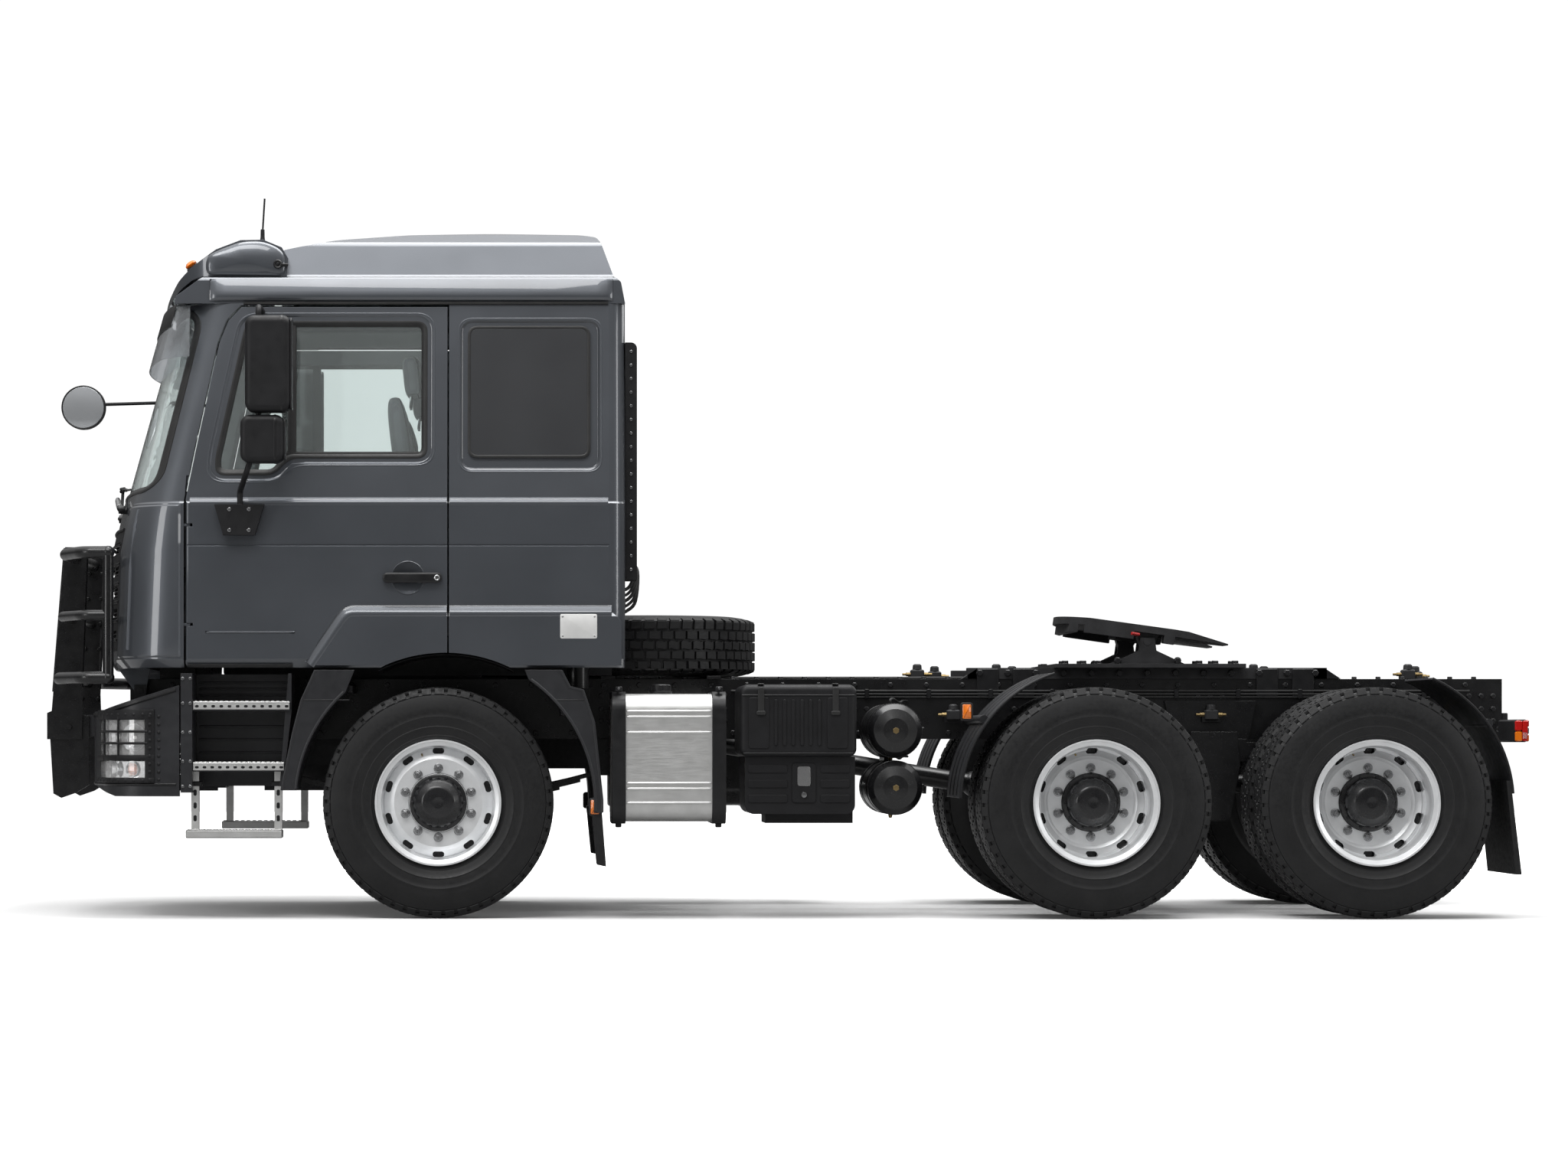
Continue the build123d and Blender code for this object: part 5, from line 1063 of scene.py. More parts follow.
@dataclass(frozen=True)
class CabForm:
    """The cab's outer skin in millimetres: rows of height, front, half width and corner radius."""

    rows: tuple[tuple[float, float, float, float], ...] = (
        (1213, -1655, 1192, 285), (1255, -1685, 1222, 300), (1800, -1665, 1225, 300),
        (2005, -1620, 1225, 280), (2014, -1618, 1217, 280), (2975, -1350, 1150, 250))
    sweep: float = 15.0

    def row(self, z: float) -> tuple[float, float, float]:
        """Find the skin's measures at a height.

        Args:
            z: The height.

        Returns:
            The front, half width and corner radius there.
        """
        spans = list(zip(self.rows, self.rows[1:]))
        low, high = next((span for span in spans if z <= span[1][0]), spans[-1])
        share = (z - low[0]) / (high[0] - low[0])
        return tuple(a + (b - a) * share for a, b in zip(low[1:], high[1:]))

    def side(self, z: float) -> float:
        """Return half the cab's width at a height."""
        return self.row(z)[1]

    def front(self, y: float, z: float) -> float:
        """Find the station of the front skin.

        Args:
            y: The place across.
            z: The height.

        Returns:
            The station behind the front axle.
        """
        front, half, corner = self.row(z)
        knee = half - corner * (1 - math.cos(math.radians(90 - self.sweep)))
        if abs(y) > knee:
            start = (front + knee * math.tan(math.radians(self.sweep / 2))
                     + corner * math.sin(math.radians(90 - self.sweep)))
            return start - math.sqrt(max(0, corner ** 2 - (abs(y) - half + corner) ** 2))
        round_r = knee / math.sin(math.radians(self.sweep))
        return front + round_r - math.sqrt(round_r ** 2 - y ** 2)

    def on_front(self, y: float, z: float, out: float = 0.0) -> Point:
        """Find a place on the front skin, or ahead of it.

        Args:
            y: The place across.
            z: The height.
            out: The distance from the skin along its normal.

        Returns:
            The place in metres.
        """
        x = self.front(y, z)
        slope_y = (self.front(y + 2, z) - self.front(y - 2, z)) / 4
        slope_z = (self.front(y, z + 2) - self.front(y, z - 2)) / 4
        normal = Vector((-1, slope_y, slope_z)).normalized()
        return spot(x + normal.x * out, y + normal.y * out, z + normal.z * out)

    def on_side(self, s: float, x: float, z: float, out: float) -> Point:
        """Return a place on one side's skin, or a distance outside it."""
        return spot(x, s * (self.side(z) + out), z)


CAB = CabForm()
CAB_HALF = 1225
FLARE_HALF = CAB_HALF + 18


def on_flank(half: float, s: float, x: float, z: float, out: float) -> Point:
    """Return a place on an upright plane along one side, or a distance outside it."""
    return spot(x, s * (half + out), z)


def grown(corners: Sequence[Flat], by: float) -> list[Flat]:
    """Move every edge of a closed outline outwards.

    Args:
        corners: The outline's corners.
        by: How far each edge moves.

    Returns:
        The moved outline.
    """
    count = len(corners)
    area = sum(corners[i - 1][0] * corners[i][1] - corners[i][0] * corners[i - 1][1] for i in range(count))
    turn = 1 if area > 0 else -1
    lines = []
    for i in range(count):
        a, b = Vector(corners[i]), Vector(corners[(i + 1) % count])
        along = (b - a).normalized()
        lines.append((a + Vector((along.y, -along.x)) * turn * by, along))
    moved: list[Flat] = []
    for i, (q, v) in enumerate(lines):
        p, u = lines[i - 1]
        cross = u.x * v.y - u.y * v.x
        straight = abs(cross) < 1e-9
        hit = q if straight else p + u * (((q.x - p.x) * v.y - (q.y - p.y) * v.x) / cross)
        moved.append((hit.x, hit.y))
    return moved


def moulding(shape: Shape, corners: Sequence[Flat], radius: float, profile: Sequence[Flat],
             place: Place, finish: Finish) -> None:
    """Add a closed moulding that follows an outline.

    Args:
        shape: The shape to add it to.
        corners: The outline's corners in millimetres.
        radius: How far each corner is rounded.
        profile: Pairs of distance outside the outline and height over the skin.
        place: The rule that turns the outline's two measures and a height into a place.
        finish: The moulding's finish.
    """
    lines = [eased(grown(corners, off), max(2, radius + off), steps=6) for off, _ in profile]
    rings = [[place(*lines[k][i], profile[k][1]) for k in range(len(profile))] for i in range(len(lines[0]))]
    shape.rings(rings, finish, looped=True)


@dataclass(frozen=True)
class TyreSizes:
    """A tyre's sizes in metres."""

    radius: float = 0.5595
    tread_depth: float = 0.013
    bead: float = 0.287
    pitches: int = 54
    taper: float = 0.0012


@dataclass
class Tyres:
    """The treaded tyres that stand for the CAD's plain ones."""

    sizes: TyreSizes = field(default_factory=TyreSizes)
    twin_gap: float = 0.345
    twin_turn: float = 0.03

    def outline(self) -> list[Flat]:
        """Draw the carcass's closed section.

        Returns:
            Pairs of place across and radius.
        """
        base = self.sizes.radius - self.sizes.tread_depth
        half = [(0, base), (0.045, base), (0.1, base - 0.0015), (0.1215, base - 0.006),
                (0.1325, base - 0.019), (0.1335, base - 0.0235), (0.1375, base - 0.026),
                (0.1445, base - 0.05), (0.1495, base - 0.082), (0.1512, 0.452), (0.1515, 0.44),
                (0.1505, 0.421), (0.1517, 0.4185), (0.1517, 0.4155), (0.1503, 0.413),
                (0.1485, 0.394), (0.1455, 0.372), (0.1465, 0.3698), (0.1465, 0.3665), (0.1448, 0.364),
                (0.1395, 0.345), (0.1345, 0.329), (0.1355, 0.3265), (0.1352, 0.323), (0.131, 0.3195),
                (0.1275, 0.313), (0.1215, 0.3045), (0.1185, 0.294), (0.1155, self.sizes.bead)]
        inside = [(0.1, 0.29), (0.098, 0.33), (0.112, 0.39), (0.112, 0.45), (0.1, 0.505), (0.05, 0.516),
                  (0, 0.518)]
        right = half + inside
        left = [(-a, r) for a, r in reversed(right)]
        return right[:-1] + left[:-1]

    def lug(self, corners: Sequence[Flat], low: float, high: float) -> bpy.types.Mesh:
        """Make one tread block, standing on the axle's line, with its top drawn in.

        Args:
            corners: The block's outline at its base.
            low: The radius of its base.
            high: The radius of its top.

        Returns:
            The block's mesh.
        """
        shape, taper = Shape(), self.sizes.taper
        shape.rings([[(x, y, math.sqrt(max(0, r * r - x * x))) for x, y in grown(corners, by)]
                     for by, r in ((0, low), (-taper * 0.5, high - taper), (-taper, high))])
        return shape.mesh("lug")

    def round_tyre(self, block: bpy.types.Mesh, name: str, shift: float) -> bpy.types.Mesh:
        """Set a block round the whole tyre.

        Args:
            block: The block, standing on the axle's line.
            name: A word for the row.
            shift: How far the row is turned, in pitches.

        Returns:
            The row's mesh.
        """
        turns = [2 * math.pi * (n + shift) / self.sizes.pitches for n in range(self.sizes.pitches)]
        spots = [((0, 0, 0), (math.sin(a), 0, math.cos(a))) for a in turns]
        return Repeat(f"tread_{name}", "", TYRE).mesh(block, spots, pivot=Axis.Y)

    def tread(self) -> list[bpy.types.Mesh]:
        """Make the tread's rows of blocks, each set round the tyre by a Geometry Nodes tree.

        Returns:
            The rows' meshes.
        """
        s = self.sizes
        low, high = s.radius - s.tread_depth - 0.002, s.radius
        step = 2 * math.pi * s.radius / s.pitches
        b = step * 0.43
        centre = [(-b, -0.0225), (-b * 0.62, -0.017), (b * 0.62, -0.0225), (b, -0.017), (b, 0.0225),
                  (b * 0.62, 0.017), (-b * 0.62, 0.0225), (-b, 0.017)]
        inner = [(-b, -0.0185), (b * 0.7, -0.0215), (b, -0.0165), (b, 0.021), (-b * 0.7, 0.0175),
                 (-b, 0.0215)]
        outer = [(-b * 1.02, -0.0195), (b * 0.86, -0.0165), (b * 0.94, 0.02), (-b * 0.94, 0.02)]
        rows = []
        for name, corners, across, flip, lower, shift in (
                ("centre", centre, 0, 1, 0, 0), ("inner", inner, 0.0495, 1, 0, 0.5),
                ("inner_far", inner, -0.0495, -1, 0, 0.25), ("outer", outer, 0.0985, 1, 0.0012, 0.1),
                ("outer_far", outer, -0.0985, -1, 0.0012, 0.6)):
            block = self.lug([(x, flip * y + across) for x, y in corners], low, high - lower)
            rows.append(self.round_tyre(block, name, shift))
        r0, r1 = s.radius - 0.036, s.radius - 0.0035
        section = [(0.1175, r1), (0.1255, r1 - 0.002), (0.1372, r0 + 0.004), (0.1362, r0),
                   (0.128, r0 + 0.004), (0.1135, r1 - 0.012)]
        for k in (1, -1):
            bar = Shape()
            bar.rings([[(x, k * a, r) for a, r in section] for x in (-step * 0.34, step * 0.34)])
            rows.append(self.round_tyre(bar.mesh("bar"), "shoulder", 0.1))
        return rows

    def pattern(self) -> bpy.types.Mesh:
        """Make one whole tyre about the origin, its axle along Y.

        Returns:
            The tyre's mesh.
        """
        shape = Shape()
        shape.spin(self.outline(), (0, 0, 0), Axis.Y, 120, TYRE)
        for row in self.tread():
            shape.bm.from_mesh(row)
            bpy.data.meshes.remove(row)
        return shape.mesh("tyre_pattern", merge=0)

    def build(self) -> None:
        """Make every tyre from the one pattern and put it where its CAD node is."""
        pattern = self.pattern()
        for side in Side:
            self.set(pattern, f"tyre_front_{side}", f"wheel_front_{side}", [Matrix.Identity(4)])
            for axle in (1, 2):
                turns = [Matrix.Translation((0, k * self.twin_gap / 2, 0))
                         @ Matrix.Rotation(k * self.twin_turn, 4, "Y") for k in (-1, 1)]
                self.set(pattern, f"tyres_rear{axle}_{side}", f"wheels_rear{axle}_{side}", turns)
        self.set(pattern, "spare_tyre", "chassis", [Matrix.Rotation(math.radians(90), 4, "X")])
        bpy.data.meshes.remove(pattern)

    def set(self, pattern: bpy.types.Mesh, node: str, body: str, turns: Sequence[Matrix]) -> None:
        """Put copies of the pattern at a CAD node's middle, and let them stand for it.

        Args:
            pattern: The whole tyre about the origin.
            node: The CAD node that it stands for.
            body: The body that it rides on.
            turns: The moves that set each copy out.
        """
        whole = bmesh.new()
        here = Matrix.Translation(middle(node))
        for turn in turns:
            copy = pattern.copy()
            copy.transform(here @ turn)
            whole.from_mesh(copy)
            bpy.data.meshes.remove(copy)
        mesh = bpy.data.meshes.new(node)
        whole.to_mesh(mesh)
        whole.free()
        piece = placed(f"treaded_{node}", mesh, TYRE, body, 30)
        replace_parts(piece, node)


@dataclass(frozen=True)
class WheelSizes:
    """The sizes in metres of what is bolted to a disc wheel."""

    nut_ring: float = 0.1675
    nuts: int = 10
    nut_across: float = 0.03
    face: float = 0.096
    disc: float = 0.014
    hub_radius: float = 0.1425
    cap_radius: float = 0.087
    small_ring: float = 0.126
    small_bolts: int = 10
    # the radii of the dark ring of painted shade behind the disc's slots
    shade_in: float = 0.15
    shade_out: float = 0.2655
    front_depths: Flat = (0.052, 0.07)
    rear_depths: Flat = (0.018, 0.02)
    valve_angle: float = 1.9
    twin_middle: float = 0.1525
    twin_hub: float = 0.105


@dataclass
class WheelTrim:
    """Nuts, hub covers, valves, and the dark ring behind each disc's slots that paints the shade seen through
    them, on every wheel.
    """

    sizes: WheelSizes = field(default_factory=WheelSizes)

    def hub(self, shape: Shape, x: float, y: float, s: float, high: float) -> None:
        """Add a ribbed hub cover with its cap.

        Args:
            shape: The shape to add it to.
            x: The axle's place.
            y: The face that it stands on.
            s: The way out, -1 or 1.
            high: How far it stands out.
        """
        r, cap = self.sizes.hub_radius, self.sizes.cap_radius
        profile = [(0, r + 0.001), (0.006, r + 0.0015), (0.0075, r - 0.003), (0.0175, r - 0.003),
                   (0.019, r - 0.006), (0.0215, r - 0.013), (0.0225, r - 0.021), (0.026, r - 0.0225),
                   (high - 0.031, 0.1145), (high - 0.027, 0.1115), (high - 0.018, 0.098),
                   (high - 0.007, cap - 0.003), (high - 0.001, cap - 0.012), (high, cap - 0.018),
                   (high, 0.03), (high + 0.0004, 0.026), (high - 0.0008, 0.02), (high - 0.0008, 0.0005)]
        shape.spin([(s * a, b) for a, b in profile], (x, y, HUB_Z), Axis.Y, 64, HUB_BLACK, closed=False)

    def shade(self, shape: Shape, x: float, y: float, s: float) -> None:
        """Add the dark ring behind the disc's slots: painted shade, seen through the slots.

        Args:
            shape: The shape to add it to.
            x: The axle's place.
            y: The ring's inner face.
            s: The way out, -1 or 1.
        """
        profile = [(0, self.sizes.shade_in), (0, self.sizes.shade_out), (s * 0.004, self.sizes.shade_out),
                   (s * 0.004, self.sizes.shade_in)]
        shape.spin(profile, (x, y, HUB_Z), Axis.Y, 64, HUB_BLACK)

    def valve(self, shape: Shape, x: float, y: float, s: float, angle: float) -> None:
        """Add a tyre valve that leans out through one slot.

        Args:
            shape: The shape to add it to.
            x: The axle's place.
            y: The face that it leans from.
            s: The way out, -1 or 1.
            angle: Its place round the wheel, in radians.
        """
        c, k = math.cos(angle), math.sin(angle)
        path = [(x + c * r, y + s * out, HUB_Z + k * r)
                for r, out in ((0.262, 0.01), (0.252, 0.03), (0.243, 0.062))]
        shape.tube(path, 0.0045, BRASS, 8)

    def wheel(self, side: Side, name: str, body: str, x: float, face: float, high: float,
              depths: Flat) -> None:
        """Build one wheel end's nuts, hub cover, dark ring of painted shade behind the slots, and valve.

        Args:
            side: The side that it is on.
            name: A word for the wheel end.
            body: The body that turns.
            x: The axle's place.
            face: How far out the nuts' face lies.
            high: How far the hub cover stands out from the disc.
            depths: How far behind the face the ring of painted shade and the valve start.
        """
        s = side.value
        size = self.sizes
        studs = self.ring(x, s * face, size.nut_ring, size.nuts, 0.5)
        Repeat(f"wheel_nuts_{name}_{side}", body, NUT).on(wheel_nut(size.nut_across),
                                                          [(p, (0, s, 0)) for p in studs])
        trim = Shape()
        self.hub(trim, x, s * (face - 0.0005), s, high)
        # a dark ring behind the slots paints the shade seen through them
        self.shade(trim, x, s * (face - depths[0]), s)
        for place in studs:
            trim.spin([(0, 0.0105), (s * 0.034, 0.0105), (s * 0.036, 0.008), (s * 0.036, 0.0003)], place,
                      Axis.Y, 10, NUT, closed=False)
        self.valve(trim, x, s * (face - depths[1]), s, size.valve_angle)
        trim.piece(f"hub_trim_{name}_{side}", body, HUB_BLACK)
        heads = self.ring(x, s * (face + 0.021), size.small_ring, size.small_bolts, 0)
        Repeat(f"hub_bolts_{name}_{side}", body, HUB_BLACK).on(hex_bolt(0.014, 0.009),
                                                               [(p, (0, s, 0)) for p in heads])

    def ring(self, x: float, y: float, radius: float, count: int, shift: float) -> list[Point]:
        """Set places out round an axle.

        Args:
            x: The axle's place.
            y: The ring's place across.
            radius: The ring's radius.
            count: How many places there are.
            shift: How far the first is turned, in steps.

        Returns:
            The places.
        """
        turns = [2 * math.pi * (n + shift) / count for n in range(count)]
        return [(x + math.cos(a) * radius, y, HUB_Z + math.sin(a) * radius) for a in turns]

    def build(self) -> None:
        """Trim all six wheel ends."""
        for side in Side:
            centre = middle(f"tyre_front_{side}")
            cap = max(abs(v.y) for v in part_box(f"rim_front_{side}"))
            face = abs(centre.y) + self.sizes.face
            self.wheel(side, "front", f"wheel_front_{side}", centre.x, face, cap - face + 0.0015,
                       self.sizes.front_depths)
            for axle in (1, 2):
                low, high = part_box(f"tyres_rear{axle}_{side}")
                x = (low.x + high.x) / 2
                outer = max(abs(low.y), abs(high.y)) - self.sizes.twin_middle
                face = outer - self.sizes.face + self.sizes.disc
                self.wheel(side, f"rear{axle}", f"wheels_rear{axle}_{side}", x, face, self.sizes.twin_hub,
                           self.sizes.rear_depths)


def wheel_nut(across: float) -> bpy.types.Mesh:
    """Make a flanged wheel nut with a conical skirt, standing on its origin.

    Args:
        across: Its width across the flats.

    Returns:
        The mesh.
    """
    shape = Shape()
    flat, corner = across / 2, across / math.sqrt(3)
    shape.rings([around(flat * k, 18, z) for z, k in ((0, 1.55), (0.004, 1.55), (0.0065, 1.15))])
    shape.rings([around(corner * k, 6, z) for z, k in ((0.0055, 1), (0.024, 1), (0.0265, 0.82))])
    return shape.mesh("wheel_nut", merge=0)


@dataclass(frozen=True)
class WindowSizes:
    """The door window's outline and the mouldings round it, in millimetres."""

    corners: tuple[Flat, ...] = ((-1062, 2150), (-792, 2150), (-722, 2232), (-60, 2232), (-60, 2882),
                                 (-922, 2882), (-1068, 2215))
    radius: float = 45.0
    seal: tuple[Flat, ...] = ((9.5, -7.2), (8.5, -3.6), (1, -2.4), (-6, -4.5), (-16, -13), (-20, -17.6),
                              (-19, -18.4), (0, -19))
    bar: Flat = (-728, -684)
    rear_low: Flat = (145.0, 2225.0)
    rear_high: Flat = (735.0, 2865.0)


@dataclass
class CabSides:
    """Mouldings, seals, gutters and handles on both sides of the cab."""

    window: WindowSizes = field(default_factory=WindowSizes)
    roof_half: float = 1150.0
    seal_step: float = 45.0

    def door(self, side: Side) -> None:
        """Build one door's window seal, divider bar, handle, lock and edge trim.

        Args:
            side: The side that it is on.
        """
        s = side.value
        body = f"door_{side}"
        seal = Shape()
        place = partial(CAB.on_side, s)
        moulding(seal, self.window.corners, self.window.radius, self.window.seal, place, SEAL)
        low, high = self.window.bar
        bar = ((low, -17.6), (low + 3, -12), (low + 8, -10), (high - 8, -10), (high - 3, -12), (high, -17.6),
               (high, -18.4), (low, -18.4))
        seal.rings([[place(x, z, out) for x, out in bar] for z in (2225, 2450, 2680, 2890)], SEAL)
        shelf = [[place(x, z, out) for z, out in ((2228, -17.6), (2232, -11), (2240, -9), (2252, -11),
                                                  (2256, -17.6))]
                 for x in (-735, -400, -50)]
        seal.rings(shelf, SEAL)
        seal.piece(f"window_seal_{side}", body, SEAL)
        self.handle(side, body)
        self.moulding_line(side, body)

    def handle(self, side: Side, body: str) -> None:
        """Build the pull handle's black cover, its lock and the dished surround.

        Args:
            side: The side that it is on.
            body: The door that carries them.
        """
        s = side.value
        shape = Shape()
        outline = rounded((-265.4, 1619.6), (21.4, 1670.4), 24, 8)
        inner = rounded((-259, 1626), (15, 1664), 18, 8)
        centre = rounded((-250, 1632), (6, 1658), 12, 8)
        levels = ((outline, 5), (outline, 22), (grown(outline, -2), 27), (inner, 29.6), (centre, 30.2))
        shape.rings([[on_flank(CAB_HALF, s, x, z, out) for x, z in line] for line, out in levels], SATIN)
        lock = ((28, 13), (31.5, 13), (32.5, 11), (31, 9), (31, 0.2))
        shape.spin([(s * out * MM, r * MM) for out, r in lock], spot(-3, s * CAB_HALF, 1645), Axis.Y, 28,
                   CHROME, closed=False)
        dish = ((0, 75), (1.6, 77), (1.6, 80.5), (0, 82))
        shape.spin([(s * out * MM, r * MM) for out, r in dish], spot(-144, s * CAB_HALF, 1645), Axis.Y, 64,
                   PAINT)
        shape.piece(f"door_handle_{side}", body, SATIN)

    def moulding_line(self, side: Side, body: str) -> None:
        """Build the bright crease above the handle line and the door's foot trim.

        Args:
            side: The side that it is on.
            body: The door that carries them.
        """
        s = side.value
        shape = Shape()
        crease = ((-1120, 0), (-1100, 2.6), (-720, 2.6), (-690, 0))
        shape.rings([[spot(x, s * (CAB_HALF - 0.5 + out), z)
                      for z, out in ((1378, 0), (1383, high), (1388, 0))]
                     for x, high in crease], PAINT)
        foot = ((1213, 2), (1213, 10), (1224, 20), (1229, 22), (1229, 8))
        shape.rings([[spot(x, s * (1192 + out), z) for z, out in foot] for x in (-1208, -700)], SATIN)
        shape.piece(f"door_lines_{side}", body, PAINT)

    def strip(self, shape: Shape, path: Sequence[Flat], profile: Sequence[Flat], s: float,
              base: float | None = None) -> None:
        """Add an open strip of paint along a path on the side.

        Args:
            shape: The shape to add it to.
            path: The path's points, with the strip's outer side on its left.
            profile: Pairs of distance to the outer side and height.
            s: Which side of the cab, -1 or 1.
            base: The half width the heights stand on, or None for the cab's own skin.
        """
        rows = []
        for i, (x, z) in enumerate(path):
            before, after = Vector(path[max(0, i - 1)]), Vector(path[min(len(path) - 1, i + 1)])
            along = (after - before).normalized()
            row = []
            for off, out in profile:
                xx, zz = x - along.y * off, z + along.x * off
                level = CAB.side(zz) if base is None else base
                if base is None and out > 2:
                    level += (CAB_HALF - level) * min(1, out / 18)
                row.append(spot(xx, s * (level + out), zz))
            rows.append(row)
        shape.rings(rows)

    def creases(self, side: Side, body: str) -> None:
        """Build the soft skins over the belt ledge, the flare's edge and the pressed window surround.

        Args:
            side: The side that it is on.
            body: The body that carries the skins, the door or the cab.
        """
        s = side.value
        shape = Shape()
        shape.number(PAINT)
        belt = ((-11, -0.4), (-8, 0.4), (0, 0.5), (4, 2.9), (9, 4.9), (14, 3), (19, 1.5), (25, 0.7),
                (31, -0.4))
        edge = ((-19, 17.6), (-17, 18.4), (0, 18.4), (8, 16.2), (16, 11.5), (24, 6), (32, 1.6), (37, -0.4))
        place = partial(CAB.on_side, s)
        if body == "cab":
            self.strip(shape, [(x, 2005) for x in (56, 300, 560, 822)], belt, s)
            self.strip(shape, [(x, 1476) for x in (56, 300, 560, 838)], edge, s)
            profile = ((-13, -12.4), (-7, -9.4), (0, -3), (4, 0.3), (9, 0.9), (14, -0.4), (9, -2),
                       (-13, -13.5))
            moulding(shape, [(109, 2165), (783, 2165), (783, 2893), (109, 2893)], 60, profile, place, PAINT)
        else:
            self.strip(shape, [(x, 2005) for x in (-1196, -800, -400, 44)], belt, s)
            corner = [(-437 - 0.569 * t, 1476 - 0.8225 * t) for t in (308, 200, 100, 40)]
            corner += [(-453, 1450), (-443, 1461.5), (-430, 1470), (-414, 1475), (-396, 1476), (-200, 1476),
                       (44, 1476)]
            self.strip(shape, corner, edge, s)
            profile = ((26, -7.4), (30, -6), (36, -2.2), (40, 0.4), (45, 0.9), (50, -0.4), (45, -2),
                       (26, -8.5))
            moulding(shape, self.window.corners, self.window.radius, profile, place, PAINT)
        shape.piece(f"{'door' if body != 'cab' else 'quarter'}_creases_{side}", body, PAINT, 50)

    def fenders(self, side: Side) -> None:
        """Build the lips and split lines on the fixed front mudguards.

        Args:
            side: The side that it is on.
        """
        s = side.value
        shape = Shape()
        shape.number(GRAPHITE)
        lip = ((-14, -0.6), (-9, 4.4), (-3, 5.2), (1, 3), (1.6, -9))
        for start, end in ((132.4, 174.6), (-3.2, 55.2)):
            self.strip(shape, arc((36, 560), 718, start, end, 18), lip, s, FLARE_HALF)
        ahead = [(-756, 623), (-700, 900), (-660, 1054), (-594, 1200)]
        behind = [(600, 1200), (640, 1121), (703, 1106), (757, 950), (797, 575), (797, 515)]
        for path in (ahead, behind):
            self.strip(shape, path, lip, s, FLARE_HALF)
        for (x0, z0), (x1, z1) in (((-655, 1056), (-424, 1056)), ((560, 1056), (716, 1056))):
            shape.box(spot(x0, s * (FLARE_HALF - 3), z0 - 3), spot(x1, s * (FLARE_HALF + 1.4), z1 + 3),
                      SATIN, 0.001)
        shape.piece(f"fender_lips_{side}", "chassis", GRAPHITE, 50)

    def quarter(self, side: Side) -> None:
        """Build the rear quarter's blank window trim and, on the left, the lower blank plate.

        Args:
            side: The side that it is on.
        """
        s = side.value
        place = partial(CAB.on_side, s)
        (a, b), (c, d) = self.window.rear_low, self.window.rear_high
        corners = [(a, b), (c, b), (c, d), (a, d)]
        shape = Shape()
        profile = ((1.5, -12), (1, 1), (-3, 2.6), (-9, 2.8), (-13, 1.6), (-15, 0.2), (-14, -1))
        moulding(shape, corners, 48, profile, place, SEAL)
        shape.piece(f"quarter_seal_{side}", "cab", SEAL)
        panel = Shape()
        panel.stack(eased(grown(corners, -14), 36, 6), ((-1, 0), (0.8, 0)), place, DARK_PANEL)
        panel.piece(f"quarter_panel_{side}", "cab", DARK_PANEL)
        if side is Side.LEFT:
            plate = Shape()
            edge = rounded((590, 1352), (768, 1470), 8, 4)
            plate.stack(edge, ((0.2, 0), (1.6, 0), (2, -1)), partial(on_flank, FLARE_HALF, s), PLATE)
            screw = [(s * out * MM, r * MM) for out, r in ((2, 5), (3.4, 4), (3.8, 0.2))]
            for x, z in ((602, 1364), (756, 1364), (602, 1458), (756, 1458)):
                plate.spin(screw, spot(x, s * FLARE_HALF, z), Axis.Y, 14, STEEL, closed=False)
            plate.piece("blank_plate", "cab", PLATE)

    def gutters(self) -> None:
        """Build the black drip strips under the roof and the windscreen's seal."""
        shape = Shape()
        section = ((-3, -9), (8, -9), (13, -5), (13, 2), (9, 5), (-3, 5))
        for _, s in SIDES:
            shape.rings([[spot(x, s * (self.roof_half + out), z + up) for out, up in section]
                         for x, z in ((-940, 2977), (-700, 2978), (-200, 2978), (400, 2978), (822, 2978))],
                        SEAL)
        shape.piece("gutter_strips", "cab", SEAL)
        glass = Shape()
        line = self.dense([(-1165, 2070), (1165, 2070), (1100, 2945), (-1100, 2945)], 110)
        profile = ((12, -1), (10, 3.2), (3, 4.2), (-6, 2), (-18, -6), (-24, -9.6), (-24, -11), (2, -11))
        glass.rings([[CAB.on_front(y + ny * off, z + nz * off, out) for off, out in profile]
                     for (y, z), (ny, nz) in line], SEAL, looped=True)
        glass.piece("windscreen_seal", "cab", SEAL)

    def dense(self, corners: Sequence[Flat], radius: float) -> list[tuple[Flat, Flat]]:
        """Set close points along a rounded outline.

        Args:
            corners: The outline's corners.
            radius: How far each is rounded.

        Returns:
            Pairs of a point and the outward direction there.
        """
        base = eased(corners, radius, 8)
        points: list[Flat] = []
        for i, here in enumerate(base):
            there = base[(i + 1) % len(base)]
            gap = math.dist(here, there)
            parts = max(1, round(gap / self.seal_step))
            points += [(here[0] + (there[0] - here[0]) * k / parts,
                        here[1] + (there[1] - here[1]) * k / parts)
                       for k in range(parts)]
        out = []
        for i, here in enumerate(points):
            a, b = Vector(points[i - 1]), Vector(points[(i + 1) % len(points)])
            along = (b - a).normalized()
            out.append((here, (along.y, -along.x)))
        return out

    def build(self) -> None:
        """Build both sides and what runs round the cab."""
        for side in Side:
            self.door(side)
            self.quarter(side)
            self.creases(side, f"door_{side}")
            self.creases(side, "cab")
            self.fenders(side)
        self.gutters()


@dataclass(frozen=True)
class LampSizes:
    """The headlamps' places in millimetres: the inner edge, the rear edge and the two rows."""

    inner: float = 906.0
    rear: float = -1413.0
    rows: tuple[Flat, ...] = ((791, 961), (681, 763))


BUMPER = CabForm(rows=((592, -1760, 1222, 230), (1128, -1760, 1222, 230)))
CORNER = (-1399.4, 992)


